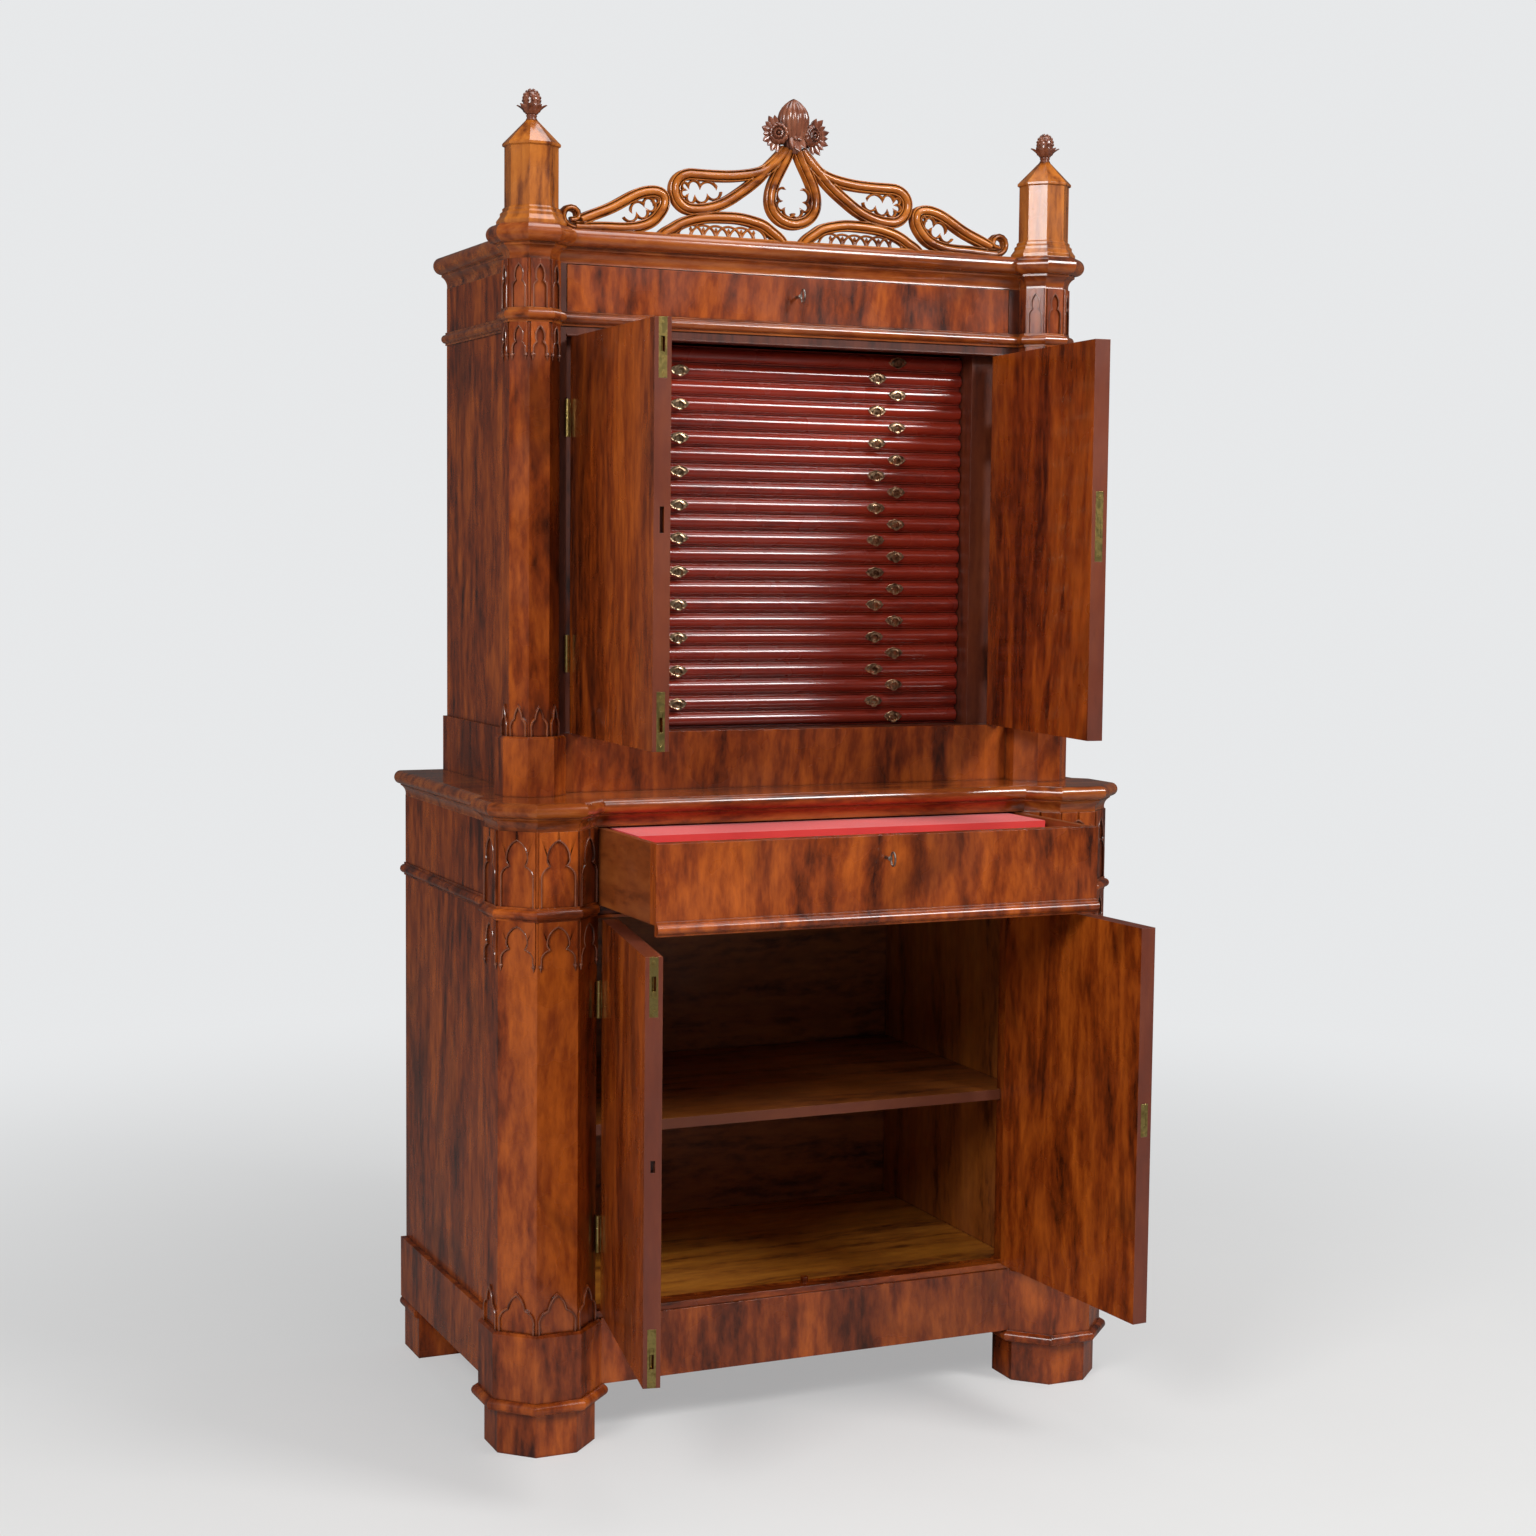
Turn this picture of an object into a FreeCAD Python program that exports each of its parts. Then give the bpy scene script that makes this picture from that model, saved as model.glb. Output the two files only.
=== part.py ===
"""Two-part Gothic Revival collector's cabinet: a base with a drawer and two doors, and a
narrower upper case whose doors close over a stack of shallow drawers, under an openwork crest.

Millimetres, +Z up, the front faces -Y. Every piece is drawn in the cabinet's own frame, whose
Y is zero at the centres of the lower front columns, and is moved at the end so that the origin
lies on the floor below the middle of the whole cabinet as it stands here, with its doors open.
"""
import FreeCAD
import Part
import math
import os
from FreeCAD import Vector

# Overall plan
OVERALL_WIDTH = 1220.0
DEPTH_BEHIND_COLUMNS = 597.0
SETBACK_OF_UPPER_COLUMNS = 69.0
UPPER_COLUMN_SPACING = 992.0

# Lower columns, measured from their centre to a flat face
LOWER_SHAFT = 88.0
LOWER_BLOCK_PROJECTION = 10.0
FOOT_RING_PROJECTION = 21.0

# Upper columns, measured from their centre to a flat face
UPPER_SHAFT = 44.6
UPPER_BLOCK_PROJECTION = 12.0

# Heights of the base, from the floor up
FOOT_HEIGHT = 77.0
FOOT_RING_HEIGHT = 20.0
LOWER_PLINTH_HEIGHT = 116.0
LOWER_DOOR_OPENING_HEIGHT = 701.0
BAND_HEIGHT = 24.0
LOWER_FRIEZE_HEIGHT = 127.0

# Heights of the upper case, from the top slab up
UPPER_PLINTH_HEIGHT = 102.5
UPPER_DOOR_OPENING_HEIGHT = 696.5
UPPER_FRIEZE_HEIGHT = 81.0

# Mouldings
BAND_FILLET_HEIGHT = 4.0
BAND_FILLET_PROJECTION = 3.0
SLAB_COVE_HEIGHT = 20.0
SLAB_COVE_PROJECTION = 9.5
SLAB_FILLET_HEIGHT = 3.0
SLAB_NOSING_HEIGHT = 25.0
CORNICE_COVE_HEIGHT = 22.0
CORNICE_COVE_PROJECTION = 10.4
CORNICE_FILLET_HEIGHT = 4.0
CORNICE_NOSING_HEIGHT = 32.0
PLINTH_CHAMFER = 4.0

# Boards
LOWER_SIDE_SETBACK = 22.0
UPPER_SIDE_SETBACK = 12.0
SIDE_THICKNESS = 22.0
PLINTH_THICKNESS = 22.0
LOWER_PLINTH_STEP = 11.0
UPPER_PLINTH_STEP = 8.0
LOWER_FRONT_PROJECTION = 40.0
UPPER_FRONT_SETBACK = 7.0
BACK_THICKNESS = 12.0
BACK_RECESS = 8.0
FLOOR_THICKNESS = 18.0
DUST_BOARD_THICKNESS = 18.0
LEDGE_DEPTH = 80.0
LEDGE_STEP = 3.0
SHELF_THICKNESS = 19.0
SHELF_SETBACK = 62.0
SHELF_HEIGHT_SHARE = 0.463
LINING_THICKNESS = 18.0
LINING_INSET = 38.0
STILE_THICKNESS = 20.0
STILE_WIDTH = 59.0
POST_WIDTH = 21.0
REAR_FOOT_SIZE = 96.0
REAR_FOOT_STEP = 8.0

# Rails above and below the doors
LOWER_SILL_HEIGHT = 12.0
LOWER_SILL_SETBACK = 4.0
LOWER_SILL_DEPTH = 24.0
LOWER_TOP_RAIL_HEIGHT = 5.0
UPPER_TOP_RAIL_HEIGHT = 17.0
RAIL_BEAD_RADIUS = 2.0
RAIL_RECESS = 2.0

# Doors
DOOR_THICKNESS = 28.0
DOOR_EDGE_GAP = 1.5
DOOR_HEIGHT_GAP = 1.5
DOOR_STOP_GAP = 1.0
UPPER_LEFT_DOOR_OPEN = 92.0
UPPER_RIGHT_DOOR_OPEN = 84.5
LOWER_LEFT_DOOR_OPEN = 101.0
LOWER_RIGHT_DOOR_OPEN = 94.0
STOP_KNOB_RADIUS = 7.0
STOP_KNOB_HEIGHT = 8.0

# Hinges
HINGE_PIN_RADIUS = 2.0
HINGE_BARREL_RADIUS = 4.5
HINGE_BARREL_PROJECTION = 5.0
HINGE_LEAF_THICKNESS = 1.3
HINGE_LEAF_HEIGHT = 64.0
HINGE_LEAF_DEPTH = 18.0
HINGE_INSET = 137.0
HINGE_RUNNING_CLEARANCE = 0.05
HINGE_KNUCKLE_GAP = 0.2

# Flush bolts and door locks
BOLT_PLATE_HEIGHT = 94.0
BOLT_PLATE_WIDTH = 14.0
BOLT_PLATE_THICKNESS = 2.0
BOLT_SLOT_WIDTH = 7.0
BOLT_SLOT_HEIGHT = 34.0
BOLT_RADIUS = 3.0
BOLT_INSET = 9.0
BOLT_THROW = 12.0
BOLT_KNOB_HEIGHT = 10.0
BOLT_KNOB_RECESS = 0.4
BOLT_RUNNING_CLEARANCE = 0.08
BOLT_HOLE_CLEARANCE = 0.4
BOLT_HOLE_SPARE = 2.0
UPPER_LOCK_PLATE_HEIGHT = 118.0
LOWER_LOCK_PLATE_HEIGHT = 57.0
LOCK_PLATE_WIDTH = 14.0
UPPER_LOCK_HEIGHT = 363.0
LOWER_LOCK_HEIGHT = 352.0
UPPER_LOCK_BOLT_HEIGHT = 40.0
LOWER_LOCK_BOLT_HEIGHT = 18.0
LOCK_BOLT_THICKNESS = 6.0
LOCK_BOLT_LENGTH = 30.0
LOCK_BOLT_CLEARANCE = 0.3
LOCK_BOLT_THROW = 9.0
KEYHOLE_RADIUS = 2.6
ESCUTCHEON_RADIUS = 8.0
ESCUTCHEON_THICKNESS = 1.2

# Lower drawer
DRAWER_EDGE_GAP = 1.3
DRAWER_FRONT_THICKNESS = 26.0
DRAWER_LIP_THICKNESS = 6.0
DRAWER_SIDE_THICKNESS = 12.0
DRAWER_BACK_THICKNESS = 12.0
DRAWER_BOTTOM_THICKNESS = 8.0
DRAWER_RIM_DROP = 1.0
LOWER_DRAWER_LENGTH = 506.0
LOWER_DRAWER_PULLED = 265.0
RUNNING_CLEARANCE = 0.3
GUIDE_SIZE = 14.0
TRAY_SETBACK = 140.0
TRAY_SIDE_GAP = 12.0
TRAY_RIM_DROP = 2.5
TRAY_BOARD_THICKNESS = 8.0
TRAY_DEPTH_GAP = 6.0

# Upper drawer
UPPER_DRAWER_LENGTH = 420.0

# Keys
KEY_SHANK_RADIUS = 2.5
KEY_HOLE_CLEARANCE = 0.06
KEY_REACH = 14.0
KEY_STEM_LENGTH = 20.0
KEY_COLLAR_RADIUS = 4.0
KEY_COLLAR_LENGTH = 3.0
KEY_BOW_HEIGHT = 26.0
KEY_BOW_LENGTH = 19.0
KEY_BOW_THICKNESS = 3.0
KEY_BOW_RIM = 3.6
LOWER_KEY_HEIGHT_SHARE = 0.70
UPPER_KEY_HEIGHT_SHARE = 0.56

# Shallow inner drawers
INNER_DRAWER_COUNT = 23
INNER_OPENING_SETBACK = 66.0
INNER_DRAWER_EDGE_GAP = 1.2
INNER_FRONT_GAP = 1.2
INNER_FRONT_DEPTH = 17.0
INNER_FRONT_BULGE = 9.0
INNER_FRONT_FILLET = 2.0
INNER_SIDE_THICKNESS = 8.0
INNER_BOTTOM_THICKNESS = 4.0
INNER_DRAWER_LENGTH = 397.0
INNER_TOP_CLEARANCE = 2.2
RUNNER_THICKNESS = 5.0
RUNNER_WIDTH = 8.0
RUNNER_SETBACK = 2.0
WIDE_PULL_OFFSET = 236.0
NARROW_PULL_OFFSET = 195.0
PULL_PLATE_LENGTH = 32.0
PULL_PLATE_FLAT = 11.0
PULL_PLATE_HEIGHT = 19.0
PULL_PLATE_THICKNESS = 1.6
PULL_EYE_RADIUS = 4.2
PULL_EYE_LENGTH = 4.0
PULL_RING_RADIUS = 8.6
PULL_RING_RIM = 2.2
PULL_RING_SIDES = 6
PULL_RING_THICKNESS = 2.2

# Column tracery
FRET_THICKNESS = 3.0
FRET_INSET = 2.5
FRET_RIB_WIDTH = 4.0
LOWER_HANGING_FRET_HEIGHT = 84.0
UPPER_HANGING_FRET_HEIGHT = 64.0
LOWER_RISING_FRET_HEIGHT = 70.0
UPPER_RISING_FRET_HEIGHT = 54.0
DROP_RADIUS = 3.2
DROP_HEIGHT = 12.0
ARCH_SHOULDER_SHARES = (0.50, 0.50)
ARCH_FOIL_SHARES = (0.86, 0.36)
ARCH_HEAD_SHARES = (0.32, 0.80)
FRET_TOP_SHARE = 0.10
FRIEZE_SPRINGING_SHARE = 0.42
HANGING_SPRINGING_SHARE = 0.14
RISING_SPRINGING_SHARE = 0.20
RISING_POINT_SHARE = 1.6

# Turrets
TURRET_BODY = 42.2
TURRET_RIM = 45.7
TURRET_BASE_HEIGHT = 30.0
TURRET_BODY_HEIGHT = 99.0
TURRET_RIM_HEIGHT = 6.0
TURRET_ROOF_HEIGHT = 40.0
TURRET_NECK = 9.0
TURRET_BASE_SHARES = [
    (1.00, 0.00), (1.00, 0.20), (0.55, 0.48), (0.55, 0.64), (0.25, 0.76), (0.25, 0.90), (0.00, 1.00),
]
FINIAL_HEIGHT = 50.0
FINIAL_HALF_WIDTH = 21.0
FINIAL_STEM_SHARES = (0.35, 0.22)
FINIAL_CUP_SHARES = (0.85, 0.30)
FINIAL_LIP_SHARES = (1.00, 0.50)
FINIAL_WAIST_SHARES = (0.66, 0.50)
FINIAL_BUD_SHARES = (0.52, 0.80)
BLUNT_TIP_RADIUS = 0.8

# Crest
CREST_SETBACK = 8.0
CREST_BOARD_THICKNESS = 18.0
CREST_RIB_THICKNESS = 26.0
CREST_RIB_SHARE = 0.55
CREST_HALF_WIDTH = 440.0
CREST_ARCH_HEIGHT = 165.0
CREST_BAND_WIDTH = 20.0
CREST_SCROLL_WIDTH = 11.0
CREST_RAIL_HEIGHT = 6.0
BUD_HEIGHT = 96.0
BUD_HALF_WIDTH = 30.0
BUD_LEAF_RADIUS = 25.0
BUD_LEAF_SPREAD = 29.0
BUD_THICKNESS = 44.0
BUD_FOOT_SHARE = 0.96
BUD_NECK_SHARE = 0.40
BUD_BELLY_SHARES = (0.90, 0.42)
BUD_WIDEST_SHARES = (1.00, 0.66)
BUD_SHOULDER_SHARES = (0.74, 0.86)
BUD_LEAF_DROP_SHARE = 0.30

# Foils in the crest's lobes and the small arcade in its low arches
FOIL_PITCH = 30.0
FOIL_DEPTH = 9.0
FOIL_WIDTH = 3.0
FOIL_THICKNESS = 8.0
FOIL_SEAT = 1.5
ARCADE_RADIUS = 24.0
ARCADE_WIDTH = 3.0
ARCADE_COUNT = 6
ARCADE_POST_WIDTH = 6.0
ARCADE_POST_HEIGHT = 6.0

OVERRUN = 5.0
OCTAGON_TURN = 45.0
PARALLEL_SHARE = 1e-6
STRAIGHT_SHARE = 1e-4

# Places worked out from the sizes above
SLAB_PROJECTION = SLAB_COVE_PROJECTION + SLAB_NOSING_HEIGHT / 2
REAR_Y = DEPTH_BEHIND_COLUMNS
BACK_Y = REAR_Y - BACK_RECESS - BACK_THICKNESS

LOWER_X = OVERALL_WIDTH / 2 - LOWER_SHAFT - SLAB_PROJECTION
LOWER_INNER_X = LOWER_X - LOWER_SHAFT
LOWER_SIDE_X = LOWER_X + LOWER_SHAFT - LOWER_SIDE_SETBACK
LOWER_FRONT_Y = -LOWER_FRONT_PROJECTION
LOWER_PLINTH_Z = FOOT_HEIGHT + FOOT_RING_HEIGHT
LOWER_OPENING_Z = LOWER_PLINTH_Z + LOWER_PLINTH_HEIGHT
LOWER_BAND_Z = LOWER_OPENING_Z + LOWER_DOOR_OPENING_HEIGHT
LOWER_FRIEZE_Z = LOWER_BAND_Z + BAND_HEIGHT
SLAB_Z = LOWER_FRIEZE_Z + LOWER_FRIEZE_HEIGHT
SLAB_BOARD_Z = SLAB_Z + SLAB_COVE_HEIGHT + SLAB_FILLET_HEIGHT
UPPER_Z = SLAB_BOARD_Z + SLAB_NOSING_HEIGHT
LINING_X = LOWER_INNER_X + LINING_INSET

UPPER_X = UPPER_COLUMN_SPACING / 2
UPPER_Y = SETBACK_OF_UPPER_COLUMNS
UPPER_INNER_X = UPPER_X - UPPER_SHAFT
UPPER_SIDE_X = UPPER_X - UPPER_SIDE_SETBACK
UPPER_FRONT_Y = UPPER_Y + UPPER_FRONT_SETBACK
UPPER_OPENING_Z = UPPER_Z + UPPER_PLINTH_HEIGHT
UPPER_BAND_Z = UPPER_OPENING_Z + UPPER_DOOR_OPENING_HEIGHT
UPPER_FRIEZE_Z = UPPER_BAND_Z + BAND_HEIGHT
CORNICE_Z = UPPER_FRIEZE_Z + UPPER_FRIEZE_HEIGHT
CORNICE_BOARD_Z = CORNICE_Z + CORNICE_COVE_HEIGHT + CORNICE_FILLET_HEIGHT
CREST_Z = CORNICE_BOARD_Z + CORNICE_NOSING_HEIGHT
POST_INNER_X = UPPER_INNER_X - POST_WIDTH
DOOR_BACK_Y = UPPER_FRONT_Y + DOOR_THICKNESS
STILE_Y = DOOR_BACK_Y + DOOR_STOP_GAP
STILE_INNER_X = POST_INNER_X - STILE_WIDTH
INNER_DRAWER_Y = UPPER_FRONT_Y + INNER_OPENING_SETBACK
INNER_HALF_WIDTH = STILE_INNER_X - INNER_DRAWER_EDGE_GAP
UPPER_RAIL_Z = UPPER_BAND_Z - UPPER_TOP_RAIL_HEIGHT
UPPER_DUST_Z = UPPER_FRIEZE_Z - DUST_BOARD_THICKNESS
LOWER_RAIL_Z = LOWER_BAND_Z - LOWER_TOP_RAIL_HEIGHT
LOWER_SILL_Z = LOWER_OPENING_Z + LOWER_SILL_HEIGHT
INNER_PITCH = (UPPER_RAIL_Z - UPPER_OPENING_Z) / INNER_DRAWER_COUNT

LOWER_PIN_X = LOWER_INNER_X - DOOR_EDGE_GAP / 2
UPPER_PIN_X = POST_INNER_X - DOOR_EDGE_GAP / 2
LOWER_PIN_Y = LOWER_FRONT_Y - HINGE_BARREL_PROJECTION
UPPER_PIN_Y = UPPER_FRONT_Y - HINGE_BARREL_PROJECTION
LOWER_DOOR_WIDTH = LOWER_PIN_X - DOOR_EDGE_GAP / 2
UPPER_DOOR_WIDTH = UPPER_PIN_X - DOOR_EDGE_GAP / 2
LOWER_DOOR_HEIGHT = LOWER_RAIL_Z - LOWER_SILL_Z - 2 * DOOR_HEIGHT_GAP
UPPER_DOOR_HEIGHT = UPPER_RAIL_Z - UPPER_OPENING_Z - 2 * DOOR_HEIGHT_GAP


def place(shape, x, y, z):
    """Copy a shape moved by x, y and z."""
    moved = shape.copy()
    moved.translate(Vector(x, y, z))
    return moved


def turn_about_z(shape, degrees, x=0, y=0):
    """Copy a shape turned about the upright line through x, y."""
    turned = shape.copy()
    turned.rotate(Vector(x, y, 0), Vector(0, 0, 1), degrees)
    return turned


def mirror(shape):
    """Copy a shape to the cabinet's other side."""
    return shape.mirror(Vector(0, 0, 0), Vector(1, 0, 0))


def both_sides(shapes):
    """Return the pieces and their mirror images."""
    return shapes + [mirror(shape) for shape in shapes]


def board(x_low, x_high, y_low, y_high, z_low, z_high):
    """Make a plain rectangular board between two corners."""
    size = Vector(x_high - x_low, y_high - y_low, z_high - z_low)
    return Part.makeBox(size.x, size.y, size.z, Vector(x_low, y_low, z_low))


def polygon_face(points):
    """Make a flat face from its corner points."""
    return Part.Face(Part.makePolygon(points + [points[0]]))


def octagon_corner_reach(apothem):
    """Return half the length of one flat side of an octagon."""
    return apothem * math.tan(math.radians(OCTAGON_TURN / 2))


def octagon_block(apothem, x, y, z_low, z_high):
    """Make an upright octagonal block with flats square to X and Y."""
    half = octagon_corner_reach(apothem)
    near = [(apothem, -half), (apothem, half), (half, apothem), (-half, apothem)]
    far = [(-px, -py) for px, py in near]
    corners = [Vector(x + px, y + py, z_low) for px, py in near + far]
    return polygon_face(corners).extrude(Vector(0, 0, z_high - z_low))


def outline_edges(steps, side):
    """Turn moulding steps into edges in the XZ plane, on the right (1) or left (-1) side.

    A step is (reach, height) for a straight edge or (reach, height, mid reach, mid height)
    for an arc. The first step is the starting point.
    """
    here = Vector(side * steps[0][0], 0, steps[0][1])
    edges = []
    for step in steps[1:]:
        there = Vector(side * step[0], 0, step[1])
        if len(step) == 2:
            edges.append(Part.makeLine(here, there))
        else:
            middle = Vector(side * step[2], 0, step[3])
            edges.append(Part.Arc(here, middle, there).toShape())
        here = there
    return edges


def shifted(steps, reach, height):
    """Move moulding steps out by a reach and up by a height."""
    moved = []
    for step in steps:
        pairs = [step[i:i + 2] for i in range(0, len(step), 2)]
        moved.append(tuple(value for pair in pairs for value in (pair[0] + reach, pair[1] + height)))
    return moved


def two_sided_face(steps):
    """Make the face of a bar whose two sides both have the moulding."""
    right = outline_edges(steps, 1)
    left = outline_edges(steps, -1)
    low = Part.makeLine(Vector(-steps[0][0], 0, steps[0][1]), Vector(steps[0][0], 0, steps[0][1]))
    high = Part.makeLine(Vector(-steps[-1][0], 0, steps[-1][1]), Vector(steps[-1][0], 0, steps[-1][1]))
    return Part.Face(Part.Wire(Part.__sortEdges__(right + left + [low, high])))


def largest_reach(steps):
    """Return how far the steps reach out."""
    return max(step[0] for step in steps) + max([0] + [step[2] for step in steps if len(step) > 2])


def octagonal_turning(steps, x, y):
    """Make an octagonal block whose eight sides all have the moulding, with true mitres."""
    reach = largest_reach(steps)
    bar = place(two_sided_face(steps).extrude(Vector(0, 2 * reach, 0)), 0, -reach, 0)
    turned = bar
    for quarter in range(1, 4):
        turned = turned.common(turn_about_z(bar, quarter * OCTAGON_TURN))
    return place(turned, x, y, 0)


def moulded_board(steps, half_width, front_y, rear_y):
    """Make a board with the moulding on its front and both sides and a plain rear edge."""
    reach = largest_reach(steps)
    wide = two_sided_face(shifted(steps, half_width, 0))
    depth = rear_y - front_y + 2 * reach
    wide = place(wide.extrude(Vector(0, depth, 0)), 0, front_y - reach, 0)
    deep = two_sided_face(shifted(steps, depth, 0))
    deep = deep.extrude(Vector(0, 4 * (half_width + reach), 0))
    deep = turn_about_z(place(deep, 0, -2 * (half_width + reach), 0), -2 * OCTAGON_TURN)
    deep = place(deep, 0, front_y + depth, 0)
    solid = wide.common(deep)
    top = max(step[1] for step in steps)
    beyond = board(-half_width - 2 * reach, half_width + 2 * reach, rear_y, rear_y + depth, -top, 2 * top)
    return solid.cut(beyond)


def band_steps(base, z):
    """Return the half-round band between two fillets, standing on a surface."""
    bulge = (BAND_HEIGHT - 2 * BAND_FILLET_HEIGHT) / 2
    lip = base + BAND_FILLET_PROJECTION
    low = z + BAND_FILLET_HEIGHT
    high = z + BAND_HEIGHT - BAND_FILLET_HEIGHT
    return [
        (lip, z),
        (lip, low),
        (lip, high, lip + bulge, (low + high) / 2),
        (lip, z + BAND_HEIGHT),
    ]


def cove_and_nosing_steps(base, z, cove_height, cove_projection, fillet_height, nosing_height):
    """Return a hollow cove, a flat fillet and a half-round nosing, from the bottom up."""
    lip = base + cove_projection
    cove_z = z + cove_height
    nosing_z = cove_z + fillet_height
    bend = math.cos(math.radians(OCTAGON_TURN))
    mid_reach = base + cove_projection * (1 - bend)
    mid_z = z + cove_height * bend
    top = nosing_z + nosing_height
    return [
        (base, z),
        (lip, cove_z, mid_reach, mid_z),
        (lip, nosing_z),
        (lip, top, lip + nosing_height / 2, (nosing_z + top) / 2),
    ]


def slab_steps(base):
    """Return the top slab's edge moulding."""
    return cove_and_nosing_steps(
        base, SLAB_Z, SLAB_COVE_HEIGHT, SLAB_COVE_PROJECTION, SLAB_FILLET_HEIGHT, SLAB_NOSING_HEIGHT
    )


def cornice_steps(base):
    """Return the cornice's edge moulding."""
    return cove_and_nosing_steps(
        base, CORNICE_Z, CORNICE_COVE_HEIGHT, CORNICE_COVE_PROJECTION, CORNICE_FILLET_HEIGHT,
        CORNICE_NOSING_HEIGHT,
    )


def plinth_block(apothem, shaft, x, y, z_low, z_high):
    """Make a column's octagonal plinth block with a sloped top edge."""
    chamfer = min(PLINTH_CHAMFER, apothem - shaft)
    steps = [(apothem, z_low), (apothem, z_high - chamfer), (apothem - chamfer, z_high)]
    return octagonal_turning(steps, x, y)


def lower_shaft(z_low, z_high):
    """Make the right lower column's octagon between two heights."""
    return octagon_block(LOWER_SHAFT, LOWER_X, 0, z_low, z_high)


def upper_shaft(z_low, z_high):
    """Make the right upper column's octagon between two heights."""
    return octagon_block(UPPER_SHAFT, UPPER_X, UPPER_Y, z_low, z_high)


def bolt_hole(pin_y, door_width, pin_x, z_low, z_high):
    """Return the hole that takes a shut left door's flush bolt."""
    hole_x = door_width - BOLT_INSET - pin_x
    radius = BOLT_RADIUS + BOLT_HOLE_CLEARANCE
    return Part.makeCylinder(radius, z_high - z_low, Vector(hole_x, pin_y + door_middle_y(), z_low))


def make_feet():
    """Make the octagonal front feet and the square rear feet with their mouldings."""
    ring = FOOT_RING_PROJECTION
    half = FOOT_RING_HEIGHT / 2
    lip = LOWER_SHAFT + ring - half
    steps = [(lip, FOOT_HEIGHT), (lip, LOWER_PLINTH_Z, lip + half, FOOT_HEIGHT + half)]
    front_foot = octagon_block(LOWER_SHAFT, LOWER_X, 0, 0, FOOT_HEIGHT)
    front_ring = octagonal_turning(steps, LOWER_X, 0)
    outer = LOWER_SIDE_X + LOWER_PLINTH_STEP - REAR_FOOT_STEP
    rear_foot = board(outer - REAR_FOOT_SIZE, outer, REAR_Y - REAR_FOOT_SIZE, REAR_Y, 0, LOWER_PLINTH_Z)
    rear_steps = [(0, FOOT_HEIGHT), (0, LOWER_PLINTH_Z, half, FOOT_HEIGHT + half)]
    nosing = Part.Face(Part.Wire(
        outline_edges(rear_steps, 1)
        + [Part.makeLine(Vector(0, 0, FOOT_HEIGHT), Vector(0, 0, LOWER_PLINTH_Z))]
    ))
    rear_ring = place(nosing.extrude(Vector(0, REAR_FOOT_SIZE, 0)), outer, REAR_Y - REAR_FOOT_SIZE, 0)
    return both_sides([front_foot, front_ring, rear_foot, rear_ring])


def make_lower_plinth():
    """Make the column plinths, the front rail and the side and back boards of the base."""
    block_face = LOWER_SHAFT + LOWER_BLOCK_PROJECTION
    block = plinth_block(block_face, LOWER_SHAFT, LOWER_X, 0, LOWER_PLINTH_Z, LOWER_OPENING_Z)
    octagon = octagon_block(block_face, LOWER_X, 0, LOWER_PLINTH_Z, LOWER_OPENING_Z)
    outer = LOWER_SIDE_X + LOWER_PLINTH_STEP
    side = board(outer - PLINTH_THICKNESS, outer, 0, REAR_Y, LOWER_PLINTH_Z, LOWER_OPENING_Z)
    side = side.cut(octagon)
    rail_end = LOWER_X - block_face
    rail = board(
        -rail_end, rail_end, LOWER_FRONT_Y, LOWER_FRONT_Y + PLINTH_THICKNESS, LOWER_PLINTH_Z, LOWER_OPENING_Z
    )
    hole_z = LOWER_OPENING_Z - BOLT_THROW - BOLT_HOLE_SPARE
    rail = rail.cut(bolt_hole(LOWER_PIN_Y, LOWER_DOOR_WIDTH, LOWER_PIN_X, hole_z, LOWER_OPENING_Z))
    ledge = board(
        -rail_end, rail_end, LOWER_FRONT_Y + PLINTH_THICKNESS, LOWER_FRONT_Y + LEDGE_DEPTH,
        LOWER_OPENING_Z - FLOOR_THICKNESS, LOWER_OPENING_Z,
    )
    return both_sides([block, side]) + [rail, ledge]


def make_lower_columns():
    """Make the two octagonal front columns of the base."""
    return both_sides([lower_shaft(LOWER_OPENING_Z, SLAB_Z)])


def make_lower_side_panels():
    """Make the side panels behind the columns."""
    panel = board(LOWER_SIDE_X - SIDE_THICKNESS, LOWER_SIDE_X, 0, REAR_Y, LOWER_OPENING_Z, SLAB_Z)
    panel = panel.cut(lower_shaft(LOWER_OPENING_Z, SLAB_Z))
    return both_sides([panel])


def make_lower_back_panel():
    """Make the back panel of the base."""
    half = LOWER_SIDE_X - SIDE_THICKNESS
    return [board(-half, half, BACK_Y, BACK_Y + BACK_THICKNESS, LOWER_OPENING_Z - FLOOR_THICKNESS, SLAB_Z)]


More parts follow.
